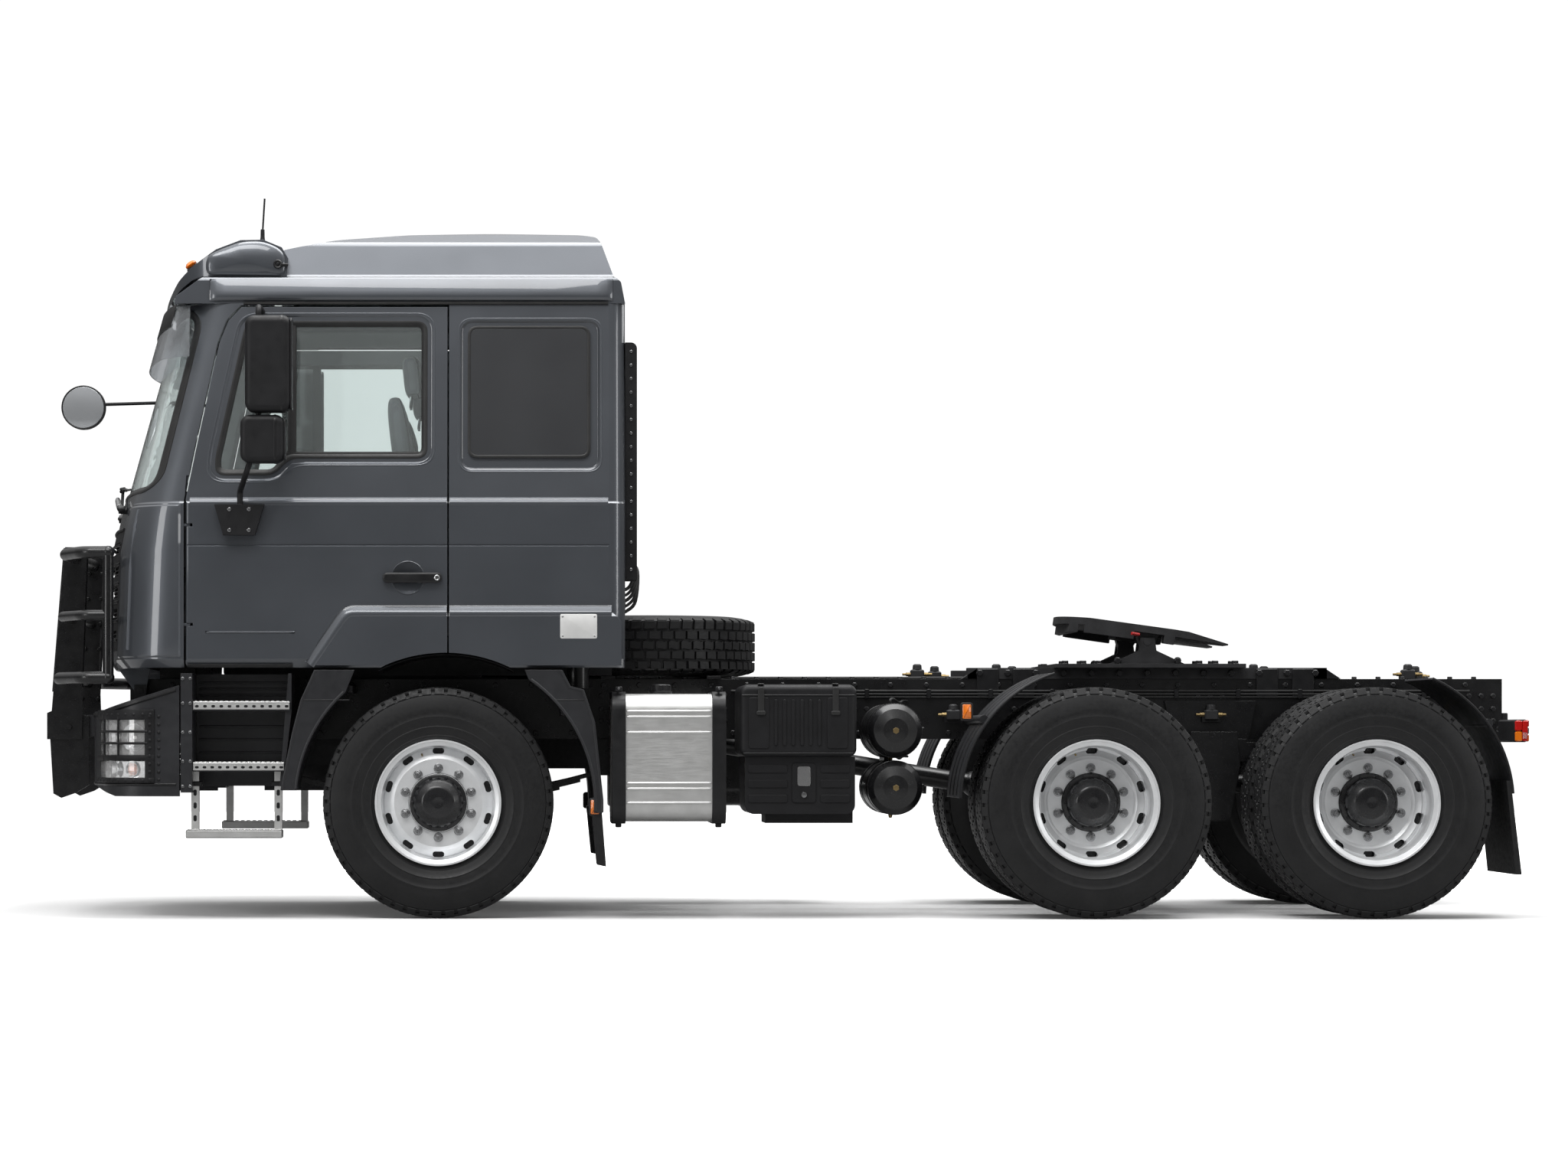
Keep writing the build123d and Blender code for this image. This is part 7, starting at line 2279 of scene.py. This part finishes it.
@dataclass
class ChassisSides:
    """Ribs, straps, lids, bolts, hoses and markers along the frame."""

    tank_face: float = -1205.0
    box_face: float = -1190.0
    low_face: float = -1150.0
    rail_web: float = 425.0
    plate_pivot: Point = (3537.0, 0.0, 1357.0)
    plate_tilt: float = 8.0

    def tank(self) -> None:
        """Build the tank's pressed ribs, dark straps, cap and feet."""
        shape = Shape()
        rib = ((0.5, -7), (-5.5, -2), (-5.5, 2), (0.5, 7))
        for z in (1002, 975, 900, 655, 628, 560):
            shape.rings([[spot(x, self.tank_face + (out if out > 0 else out * k), z + up) for out, up in rib]
                         for x, k in ((911, 0), (925, 1), (1306, 1), (1320, 0))], ALLOY)
        band = ((-1.2, -30), (-1.2, 1.5), (0.8, 3), (64.5, 3), (66, 1.5), (66, -7), (2, -7), (2, -30))
        for end, k in ((841, 1), (1390, -1)):
            shape.rings([[spot(end + k * x, a, b) for a, b in rounded((-1213 - off, 461 - off),
                                                                      (-592 + off, 1095 + off), 92, 8)]
                         for x, off in band], SATIN, looped=True)
            x = end + k * 32
            shape.tube([spot(x, -1190, 1112), spot(x, -1120, 1112)], 0.006, NUT, 8)
            shape.box(spot(x - 17, -1180, 1096), spot(x + 18, -1160, 1122), SATIN, 0.003)
            shape.box(spot(x - 15, -1120, 440), spot(x + 15, -1085, 462), SATIN, 0.004)
        cap = [(0, 0.056), (0.014, 0.057), (0.016, 0.05), (0.044, 0.0492), (0.048, 0.046), (0.049, 0.03),
               (0.046, 0.0005)]
        shape.spin(cap, spot(1080, -1000, 1086), Axis.Z, 36, SATIN, closed=False)
        for n in range(12):
            angle = math.radians(30 * n)
            x, y = 1080 + 50 * math.cos(angle), -1000 + 50 * math.sin(angle)
            shape.tube([spot(x, y, 1104), spot(x, y, 1128)], 0.003, SATIN, 6)
        shape.piece("tank_trim", "chassis", ALLOY)

    def boxes(self) -> None:
        """Build the battery cover's ribs, latches and lid line, and the lower box's window."""
        shape = Shape()
        face, low = self.box_face, self.low_face
        panels = [(x0, x1, 822, 1070, face, 5, PLASTIC, 14) for x0, x1 in ((1500, 1600), (1880, 1980))]
        panels += [(1624 + k * 42, 1640 + k * 42, 836, 1060, face, 7, PLASTIC, 7) for k in range(6)]
        panels += [(1466, 2015, 1076, 1084, face, 4, SATIN, 3.5), (1474, 2007, 796, 804, face, 4, SATIN, 3.5)]
        for x in (1560, 1920):
            panels += [(x - 15, x + 15, 990, 1118, face - 4, 7, SEAL, 8),
                       (x - 22, x + 22, 984, 1004, face - 8, 7, SEAL, 8)]
            shape.box(spot(x - 15, -1184, 1131), spot(x + 15, -1120, 1137), SEAL, 0.002)
        panels += [(x0, x1, 560 + k * 72, 600 + k * 72, low, 5, PLASTIC, 10)
                   for x0, x1 in ((1500, 1690), (1850, 1992))
                   for k in range(3)]
        panels += [(1712, 1828, 560, 752, low, 7, PLASTIC, 16),
                   (1738, 1802, 640, 736, low - 7, 3, CLEAR_LENS, 12)]
        for x0, x1, z0, z1, y, high, finish, r in panels:
            levels = ((-0.5, 0), (high - 1.5, -0.5), (high, -2.5))
            shape.stack(rounded((x0, z0), (x1, z1), r, 4), levels, partial(on_flank, -y, -1), finish)
        shape.spin([(0, 0.014), (-0.012, 0.013), (-0.013, 0.0005)], spot(1770, low - 2, 598), Axis.Y, 20, NUT,
                   closed=False)
        shape.piece("battery_trim", "chassis", PLASTIC)

    def reservoirs(self) -> None:
        """Build the air reservoirs' bosses, seams, straps, drains and pipes."""
        shape = Shape()
        boss = [(-1.1505, 0.016), (-1.159, 0.016), (-1.1595, 0.012), (-1.1595, 0.0005)]
        seam = ((-0.003, 0.1305), (-0.002, 0.1328), (0.002, 0.1328), (0.003, 0.1305))
        strap = ((-0.017, 0.1308), (-0.017, 0.1335), (0.017, 0.1335), (0.017, 0.1308))
        drain = [(-0.131, 0.011), (-0.143, 0.01), (-0.15, 0.007), (-0.152, 0.0005)]
        for x, z in ((2215, 909), (2215, 632)):
            place = spot(x, 0, z)
            shape.spin(boss, place, Axis.Y, 6, BRASS, closed=False)
            for y in (-1.094, -0.562):
                shape.spin([(y + a, r) for a, r in seam], place, Axis.Y, 48, CHASSIS)
            for y in (-0.98, -0.68):
                shape.spin([(y + a, r) for a, r in strap], place, Axis.Y, 48, SATIN)
                shape.box(spot(x + 118, y / MM - 16, z - 18), spot(x + 152, y / MM + 16, z + 18), SATIN,
                          0.004)
            top = min(z + 150, 1090)
            shape.tube(CabTrim.smooth([spot(x, -830, z + 130), spot(x, -830, z + 152),
                                       spot(x + 20, -780, z + 156), spot(x + 60, -640, z + 140),
                                       spot(x + 90, -500, top), spot(x + 120, -430, top)]), 0.006, SEAL, 8)
            shape.spin(drain, spot(x, -830, z), Axis.Z, 12, BRASS, closed=False)
        shape.piece("reservoir_trim", "chassis", CHASSIS)

    def rails(self) -> None:
        """Set bolts along the rails and lay the pipes and valves that are clipped to them."""
        spots = []
        stations = range(-1440, 5260, 90)
        for _, s in SIDES:
            places = [(x, 1140) for x in stations if x % 180]
            places += [(x + 20, 900) for x in stations if (x // 90) % 3]
            places += [(x + dx, z) for x in (-1080, 860, 1360, 2070, 2930, 3190, 3850, 4520, 4780, 5210)
                       for dx in (-60, 0, 60) for z in (960, 1020, 1085)]
            spots += [(spot(x, s * self.rail_web, z), (0, s, 0)) for x, z in places]
            spots += [(spot(x, s * 395, 1170), (0, 0, 1)) for x in range(980, 5200, 120)]
        Repeat("rail_bolts", "chassis", NUT_BLACK).on(hex_bolt(0.022, 0.012), spots)
        shape = Shape()
        for k, (y, z) in enumerate(((-436, 1110), (-436, 1094), (-434, 1079))):
            shape.tube([spot(1450 + 60 * k, y, z), spot(5150 - 90 * k, y, z)], 0.006 - 0.0008 * k, SEAL, 8)
        for k, y in enumerate((-330, -305, 300)):
            shape.tube([spot(1400, y, 1176), spot(3040 - 40 * k, y, 1176)], 0.0075, SEAL, 8)
        for x in range(1500, 5150, 310):
            shape.box(spot(x, -446, 1070), spot(x + 22, -425, 1120), SATIN, 0.003)
        for x in (2400, 2800, 4100, 4880):
            self.valve(shape, x, -250, 1190)
            self.valve(shape, x + 130, 190, 1188)
        for x in (2560, 3850, 5060):
            self.valve(shape, x, -470, 985)
        shape.piece("frame_pipes", "chassis", SEAL)

    def valve(self, shape: Shape, x: float, y: float, z: float) -> None:
        """Add one air valve with its ports and its bracket.

        Args:
            shape: The shape to add it to.
            x: Its station.
            y: Its place across.
            z: Its height.
        """
        shape.box(spot(x - 34, y - 26, z - 22), spot(x + 34, y + 26, z + 30), IRON, 0.006)
        shape.box(spot(x - 46, y - 4, z - 34), spot(x + 46, y + 4, z + 6), SATIN, 0.002)
        shape.spin([(0.03, 0.024), (0.052, 0.022), (0.058, 0.014), (0.058, 0.0005)], spot(x, y, z), Axis.Z,
                   16, IRON, closed=False)
        port = ((0.034, 0.011), (0.056, 0.011), (0.057, 0.0075), (0.075, 0.007), (0.075, 0.0005))
        for k in (-1, 1):
            shape.spin([(k * a, r) for a, r in port], spot(x, y, z + 6), Axis.X, 6, BRASS, closed=False)

    def on_plate(self, x: float, y: float, z: float) -> Point:
        """Return a place on the tilted plate from millimetres about its pivot."""
        tilt = Matrix.Rotation(math.radians(self.plate_tilt), 4, "Y")
        return tuple(Vector(spot(*self.plate_pivot)) + tilt @ Vector((x * MM, y * MM, z * MM)))

    def coupling(self) -> None:
        """Build the fifth wheel's grease grooves, jaw, release handle and bolts."""
        shape, at = Shape(), self.on_plate
        lip, crest = 77.6, 79.3
        for r, wide in ((150, 7), (205, 5)):
            groove = ((-wide, lip), (-wide / 2, crest), (wide / 2, crest), (wide, lip))
            turns = [math.radians(220 + 280 * k / 39) for k in range(40)]
            shape.rings([[at(-20 + (r + d) * math.cos(a), (r + d) * math.sin(a), h) for d, h in groove]
                         for a in turns], IRON)
        groove = ((-7, lip), (-3, crest), (3, crest), (7, lip))
        for _, s in SIDES:
            shape.rings([[at(x, s * (340 + d), h) for d, h in groove] for x in (-300, -120, 60, 200)], IRON)
            jaw = arc((40, 0), 46, 0, 180, 15) + arc((40, 0), 30, 180, 0, 15)
            ring = [at(x, s * y, 60) for x, y in jaw]
            shape.rings([ring, [(x, y, z + 0.012) for x, y, z in ring]], RED_ENAMEL)
        shape.tube([at(-80, -200, 28), at(-60, -420, 26), at(-60, -505, 26), at(-96, -522, 26)], 0.008,
                   RED_ENAMEL, 10)
        for _, s in SIDES:
            for x in (-34, 34):
                shape.tube([at(x, s * 300, 34), at(x, s * 300, 60)], 0.009, NUT, 6)
        shape.piece("coupling_trim", "fifth_wheel", IRON)
        self.subframe()

    def subframe(self) -> None:
        """Set the bolts and the plates that hold the coupling on the rails."""
        spots, plates = [], Shape()
        middle_x = self.plate_pivot[0]
        for _, s in SIDES:
            spots += [(spot(middle_x + x, s * y, 1245), (0, 0, 1)) for x in (-420, -330, -250, 250, 330, 430)
                      for y in (485, 372)]
            spots += [(spot(middle_x + x, s * 430, 1200), (0, s, 0)) for x in range(-840, 841, 140)]
            spots += [(spot(middle_x + x, s * 440, 1262), (0, s, 0)) for x in (-150, 150)]
            for x in (-800, -620, 600, 780):
                plates.box(spot(middle_x + x - 55, s * self.rail_web, 1080),
                           spot(middle_x + x + 55, s * 439, 1222), SATIN, 0.004)
            for x, lean in ((middle_x - 860, 40), (middle_x + 900, -40)):
                wedge = [(x - 70, 1171), (x + 70, 1171), (x + lean + 30, 1224), (x + lean - 30, 1224)]
                plates.rings([[spot(a, s * y, b) for a, b in wedge] for y in (352, 430)], SATIN)
        Repeat("coupling_bolts", "chassis", NUT_BLACK).on(hex_bolt(0.03, 0.016), spots)
        plates.piece("subframe_plates", "chassis", SATIN)

    def guards(self) -> None:
        """Build the mudguards' edge beads, the amber side markers and the guards' ribs."""
        shape = Shape()
        for _, s in SIDES:
            for x, start, end in ((3175, 108, 178), (4525, 4, 66)):
                for y in (604, 1236):
                    shape.tube([spot(a, s * y, b) for a, b in arc((x, 560), 656.5, start, end, 22)], 0.007,
                               PLASTIC, 10)
                foot = arc((x, 560), 661.5, start + 1, end - 1, 22)
                crest = arc((x, 560), 664.5, start + 1, end - 1, 22)
                for y in (760, 920, 1080):
                    shape.rings([[spot(a, s * (y - 9), b), spot(c, s * (y - 4), d), spot(c, s * (y + 4), d),
                                  spot(a, s * (y + 9), b)] for (a, b), (c, d) in zip(foot, crest)], PLASTIC)
            for x, y, z in ((2548, 1240, 1000), (758, 1216, 540)):
                body, face = rounded((x - 26, z - 40), (x + 26, z + 40), 10, 4), partial(on_flank, y, s)
                shape.stack(body, ((-14, 4), (1, 4), (3, 0)), face, SATIN)
                shape.stack(body, ((2.5, -5), (10, -6), (14, -12)), face, AMBER_LENS)
        shape.piece("mudguard_trim", "chassis", PLASTIC)

    def build(self) -> None:
        """Build everything along the frame."""
        self.tank()
        self.boxes()
        self.reservoirs()
        self.rails()
        self.coupling()
        self.guards()


@dataclass
class Offside:
    """Silencer, air filter and reagent tank details, brake chambers and the roof band's crown."""

    def band(self, shape: Shape, low: Flat, high: Flat, radius: float, levels: Sequence[Flat], finish: Finish,
             steps: int) -> None:
        """Add a band round a box with rounded edges.

        Args:
            shape: The shape to add it to.
            low: The box's low corner, across and up.
            high: Its high corner.
            radius: The radius of its edges.
            levels: Pairs of a station and how far the band stands out there.
            finish: The band's finish.
            steps: Facets in each corner.
        """
        rows = []
        for x, by in levels:
            edge = rounded((low[0] - by, low[1] - by), (high[0] + by, high[1] + by), radius + by, steps)
            rows.append([spot(x, a, b) for a, b in edge])
        shape.rings(rows, finish)

    def silencer(self) -> None:
        """Build the silencer's seams, straps, heat shield and outlet lip."""
        shape = Shape()
        for x0, x1, off, finish in ((858, 872, 3, CHASSIS), (1548, 1562, 3, CHASSIS), (965, 1010, 2.5, STEEL),
                                    (1405, 1450, 2.5, STEEL)):
            levels = ((x0, -0.5), (x0 + 2, off), (x1 - 2, off), (x1, -0.5))
            self.band(shape, (610, 520), (1190, 1080), 90, levels, finish, 8)
        shield = rounded((1040, 610), (1378, 990), 22, 5)
        shape.stack(shield, ((8, 0), (11, 0), (12, -2)), partial(on_flank, 1190, 1), STEEL)
        for x in (1060, 1358):
            for z in (640, 960):
                shape.tube([spot(x, 1188, z), spot(x, 1204, z)], 0.008, NUT, 6)
        outlet = [(-0.002, 0.057), (-0.05, 0.057), (-0.054, 0.06), (-0.058, 0.057), (-0.058, 0.052),
                  (-0.002, 0.052)]
        shape.spin(outlet, spot(1300, 900, 521), Axis.Z, 32, STEEL)
        shape.piece("silencer_trim", "chassis", CHASSIS)
        holes = [(spot(1068 + 28 * i, 1202, 652 + 28 * k), (0, 1, 0)) for i in range(11) for k in range(11)]
        Repeat("shield_dimples", "chassis", STEEL).on(stud_head(0.008, 0.0025), holes)

    def filters(self) -> None:
        """Build the air filter's ribs, lid and clamps, and the reagent tank's cap and bands."""
        shape = Shape()
        place = spot(0, 860, 880)
        rib = ((-4, 189.5), (-2, 193.5), (2, 193.5), (4, 189.5))
        for x in (1700, 1730, 1760, 1790, 1950, 1980, 2010):
            shape.spin([((x + a) * MM, r * MM) for a, r in rib], place, Axis.X, 56, PLASTIC)
        lid = ((-30, 189.5), (-26, 196), (0, 194), (8, 170), (6, 100), (12, 92), (12, 0.5))
        for x, way in ((1680, -1), (2060, 1)):
            shape.spin([((x + way * a) * MM, r * MM) for a, r in lid], place, Axis.X, 56, PLASTIC,
                       closed=False)
        for n in range(4):
            angle = math.radians(45 + 90 * n)
            y, z = 860 + 197 * math.cos(angle), 880 + 197 * math.sin(angle)
            shape.tube([spot(2024, y, z), spot(2058, y, z)], 0.006, STEEL, 8)
        for x in (1760, 2000):
            levels = ((x - 15, -0.5), (x - 15, 2.5), (x + 15, 2.5), (x + 15, -0.5))
            self.band(shape, (640, 480), (1150, 680), 50, levels, STEEL, 6)
        shape.spin([(0, 0.036), (0.02, 0.035), (0.026, 0.03), (0.026, 0.0005)], spot(1880, 1080, 680),
                   Axis.Z, 24, BLUE_CAP, closed=False)
        shape.piece("filter_trim", "chassis", PLASTIC)

    def brakes(self) -> None:
        """Build the rear axles' spring-brake chambers on their brackets, with their air hoses."""
        shape = Shape()
        chamber = [(-0.105, 0.012), (-0.13, 0.03), (-0.135, 0.062), (-0.15, 0.078), (-0.185, 0.08),
                   (-0.188, 0.088), (-0.198, 0.088), (-0.201, 0.08), (-0.235, 0.07), (-0.24, 0.066),
                   (-0.245, 0.076), (-0.25, 0.083), (-0.262, 0.083), (-0.266, 0.076), (-0.31, 0.072),
                   (-0.33, 0.055), (-0.334, 0.018), (-0.342, 0.014), (-0.342, 0.0005)]
        for x in (3175, 4525):
            for _, s in SIDES:
                a, b, c = spot(x, s * 335, 575)
                shape.spin(chamber, (a, b, c), Axis.X, 32, CHASSIS, closed=False)
                shape.tube([(a - 0.11, b, c), (a - 0.04, b, c - 0.01)], 0.009, STEEL, 10)
                shape.box((a - 0.135, b - 0.05, c - 0.055), (a - 0.12, b + 0.05, c + 0.055), CHASSIS, 0.003)
                shape.box((a - 0.13, b - 0.012, c - 0.06), (a - 0.02, b + 0.012, c - 0.035), CHASSIS, 0.003)
                path = [(a - 0.16, b, c + 0.078), (a - 0.16, b, c + 0.14), (a - 0.2, b + s * 0.02, c + 0.24),
                        (a - 0.24, s * 0.395, c + 0.32), (a - 0.24, s * 0.415, c + 0.36)]
                shape.tube(CabTrim.smooth(path), 0.008, SEAL, 8)
        shape.piece("brake_chambers", "chassis", CHASSIS)

    def roof_band(self) -> None:
        """Build the crowned skin on the roof's gutter band, and the hood's side cheeks."""
        shape = Shape()
        profile = ((2986, 0.2), (2988, 8), (2994, 15), (3003, 18.5), (3015, 18.8), (3035, 15.5), (3060, 9.5),
                   (3082, 3.5), (3094, -1))
        ends = ((-1105, 0), (-1095, 0.5), (-1070, 0.9), (-1030, 1), (-400, 1), (200, 1), (770, 1), (815, 0.9),
                (838, 0.5), (846, 0))
        cheek = eased([(-745, 3112), (-738, 3198), (-768, 3250), (-852, 3285), (-955, 3283), (-1075, 3238),
                       (-1128, 3207), (-1128, 3118)], 40, 5)
        levels = ((1, 0.2), (0.97, 7), (0.9, 13), (0.75, 19.5), (0.5, 25), (0.25, 28), (0.05, 28.6))
        mx, mz = -930, 3190
        for _, s in SIDES:
            shape.rings([[spot(x, s * (1150 + out * k), z) for z, out in profile] for x, k in ends], PAINT)
            shape.rings([[spot(mx + (x - mx) * k, s * (1085 + out), mz + (z - mz) * k) for x, z in cheek]
                         for k, out in levels], PAINT)
        shape.piece("roof_band", "cab", PAINT, 60)

    def build(self) -> None:
        """Build everything on the offside and under the frame, and the roof band."""
        self.silencer()
        self.filters()
        self.brakes()
        self.roof_band()


@dataclass(frozen=True)
class Cushion:
    """One upholstered piece in millimetres: its middle, its size and how its cover is drawn.

    Attributes:
        name: The piece's name.
        middle: The station, offset and height of its middle.
        size: Its length, width and thickness.
        lean: How far it leans back from level, in degrees.
        channels: Places along it of sewn channels, from -1 to 1.
        bolsters: Whether its sides are raised.
        crown: How far its face rises in the middle.
        fill: How tightly it is filled, from 0 to 1.
    """

    name: str
    middle: Point
    size: Point
    lean: float = 0.0
    channels: tuple[float, ...] = ()
    bolsters: bool = False
    crown: float = 14.0
    fill: float = 0.75


@dataclass
class Interior:
    """Seats, bunk and dashboard fittings."""

    seat_y: float = 700.0
    channel_depth: float = 11.0
    channel_width: float = 0.028
    bolster_high: float = 20.0
    seam_depth: float = 9.0

    def face(self, item: Cushion, u: float, v: float) -> float:
        """Work out how far a cushion's face stands out from its plain form.

        Args:
            item: The cushion.
            u: The place along it, from -1 to 1.
            v: The place across it, from -1 to 1.

        Returns:
            The height in millimetres.
        """
        high = item.crown * (1 - u * u) * (1 - v * v)
        fade = min(1, 3 * (1 - abs(v)))
        for channel in item.channels:
            high -= self.channel_depth * math.exp(-((u - channel) / self.channel_width) ** 2) * fade
        if item.bolsters:
            high += self.bolster_high * math.exp(-((abs(v) - 0.82) / 0.13) ** 2) * (1 - u * u)
            high -= self.seam_depth * math.exp(-((abs(v) - 0.62) / 0.035) ** 2) * (1 - u ** 4)
        return high

    def cushion(self, item: Cushion) -> bpy.types.Object:
        """Build one cushion: a crowned form with pulled-in sides, sewn channels and piping.

        Args:
            item: The cushion's place, sizes and seams.

        Returns:
            The finished piece.
        """
        length, width, thick = item.size
        turn = Matrix.Translation(spot(*item.middle)) @ Matrix.Rotation(math.radians(-item.lean), 4, "Y")
        rings, piping = [], ([], [])
        steps, sides = 44, 48
        for i in range(steps + 1):
            u = math.sin(math.radians(-90 + 180 * i / steps))
            end = max(0, 1 - abs(u) ** 5) ** (1 / 3)
            half = width / 2 * (0.86 + 0.14 * end) * (1 - 0.02 * math.cos(math.pi * u / 2))
            ring = []
            for k in range(sides):
                c, s = math.cos(2 * math.pi * k / sides), math.sin(2 * math.pi * k / sides)
                v, w = math.copysign(abs(c) ** 0.42, c), math.copysign(abs(s) ** 0.55, s)
                out = thick / 2 * (0.25 + 0.75 * end) * w + self.face(item, u, v) * max(0, w)
                ring.append(tuple(turn @ Vector((u * length / 2 * MM, v * half * MM, out * MM))))
            rings.append(ring)
            if 2 < i < steps - 2:
                for line, place in zip(piping, (5, sides // 2 - 5)):
                    line.append(ring[place])
        shape = Shape()
        shape.rings(rings, CLOTH)
        shape.tube(piping[0] + piping[1][::-1] + piping[0][:1], 0.0032, PIPING, 8)
        piece = shape.piece(item.name, "cab", CLOTH, 60)
        return piece

    def seats(self) -> None:
        """Build both seats on their pedestals, and the bunk."""
        made = []
        frame_part = Shape()
        for side, s in SIDES:
            y = s * self.seat_y
            made += [self.cushion(item) for item in (
                Cushion(f"seat_cushion_{side}", (-452, y, 1892), (500, 486, 88), 2, (-0.35, 0.1, 0.5), True,
                        9),
                Cushion(f"seat_back_{side}", (-184, y, 2238), (610, 470, 92), -83,
                        (-0.55, -0.15, 0.25, 0.6), True, 9),
                Cushion(f"headrest_{side}", (-137, y, 2652), (185, 290, 86), -84, (), False, 8))]
            for dy in (-62, 62):
                frame_part.tube([spot(-146, y + dy, 2500), spot(-138, y + dy, 2610)], 0.006, CHROME, 10)
            frame_part.box(spot(-600, y - 190, 1690), spot(-240, y + 190, 1722), SATIN, 0.006)
            for k in range(6):
                z, pull = 1724 + k * 15, 14 * (k % 2)
                frame_part.box(spot(-585 + pull, y - 176 + pull, z),
                               spot(-255 - pull, y + 176 - pull, z + 14), SEAL, 0.004)
            frame_part.box(spot(-640, y - 215, 1815), spot(-205, y + 215, 1850), SATIN, 0.01)
            for k in (-1, 1):
                frame_part.box(spot(-300, y + k * 235, 1850), spot(-120, y + k * 222, 1930), SATIN, 0.006)
            frame_part.box(spot(-262, y + 205, 2040), spot(-60, y + 232, 2066), TRIM, 0.01)
        frame_part.box(spot(192, -1086, 1500), spot(857, 1086, 1772), TRIM, 0.008)
        for y0 in (-1060, -340, 380):
            frame_part.box(spot(186, y0, 1540), spot(194, y0 + 680, 1752), TRIM, 0.003)
        frame_part.piece("seat_frames", "cab", SATIN)
        self.mattress()
        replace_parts(made[0], "seats")

    def mattress(self) -> None:
        """Build the bunk's mattress across the cab with its quilted channels."""
        shape = Shape()
        rings, sides, steps = [], 40, 60
        half = 1082
        edge_low, edge_high = [], []
        for i in range(steps + 1):
            u = math.sin(math.radians(-90 + 180 * i / steps))
            end = max(0, 1 - abs(u) ** 12) ** (1 / 3)
            ring = []
            for k in range(sides):
                angle = 2 * math.pi * k / sides
                c, s = math.cos(angle), math.sin(angle)
                v, w = math.copysign(abs(c) ** 0.3, c), math.copysign(abs(s) ** 0.5, s)
                face = 60 * (0.4 + 0.6 * end) * w
                if w > 0:
                    face += 6 * (1 - v * v) * (1 - u ** 4) * w
                    for n in range(-4, 5):
                        face -= 9 * math.exp(-((u - n * 0.2) / 0.014) ** 2) * min(1, 3 * (1 - abs(v))) * w
                ring.append(spot(524 + v * 330 * (0.94 + 0.06 * end), u * half, 1832 + face))
            rings.append(ring)
            if 1 < i < steps - 1:
                edge_low.append(ring[4])
                edge_high.append(ring[sides // 2 - 4])
        shape.rings(rings, CLOTH)
        shape.tube(edge_low + edge_high[::-1] + edge_low[:1], 0.0035, PIPING, 8)
        shape.piece("bunk_mattress", "cab", CLOTH, 60)

    def dashboard(self) -> None:
        """Build the instrument glass, dials, vents, knobs and the floor's controls."""
        shape = Shape()
        y = -self.seat_y
        shape.box(spot(-1112, y - 172, 2006), spot(-1106, y + 172, 2078), SATIN, 0.003)
        for dy in (-110, -40, 40, 110):
            shape.spin([(0, 0.03), (0.004, 0.03), (0.005, 0.027), (0.003, 0.026), (0.003, 0.0005)],
                       spot(-1106, y + dy, 2042), Axis.X, 28, CHROME, closed=False)
        for dy in (-560, -160, 190, 500, 900):
            at_y = y + dy + 120
            for k in range(5):
                shape.box(spot(-1112, at_y, 1906 + k * 13), spot(-1072, at_y + 120, 1912 + k * 13), SATIN,
                          0.002)
        for k in range(6):
            shape.spin([(0, 0.015), (0.014, 0.013), (0.016, 0.0005)], spot(-1100, -330 + k * 60, 1868),
                       Axis.X, 16, SATIN, closed=False)
        for dy, wide in ((-120, 45), (0, 45), (110, 60)):
            shape.box(spot(-1330, y + dy - wide / 2, 1500), spot(-1300, y + dy + wide / 2, 1600), SEAL, 0.006)
        shape.tube([spot(-820, -260, 1560), spot(-800, -260, 1900)], 0.009, SATIN, 10)
        shape.spin([(0, 0.012), (0.02, 0.026), (0.045, 0.024), (0.055, 0.0005)], spot(-800, -260, 1895),
                   Axis.Z, 20, SATIN, closed=False)
        shape.piece("dashboard_trim", "cab", SATIN)

    def build(self) -> None:
        """Build the whole interior."""
        self.seats()
        self.dashboard()


def main() -> None:
    """Build the studio, the finishes and every added piece, in order."""
    logging.basicConfig(level=logging.INFO, format="%(name)s %(message)s")
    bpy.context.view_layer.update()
    for part in (Studio(), CadFinishes(), Tyres(), WheelTrim(), CabSides(), Headlamps(), FrontTrim(), Steps(),
                 CabTrim(), ChassisSides(), Offside(), Interior()):
        part.build()
        LOG.info("%s built", type(part).__name__)


if __name__ == "__main__":
    main()
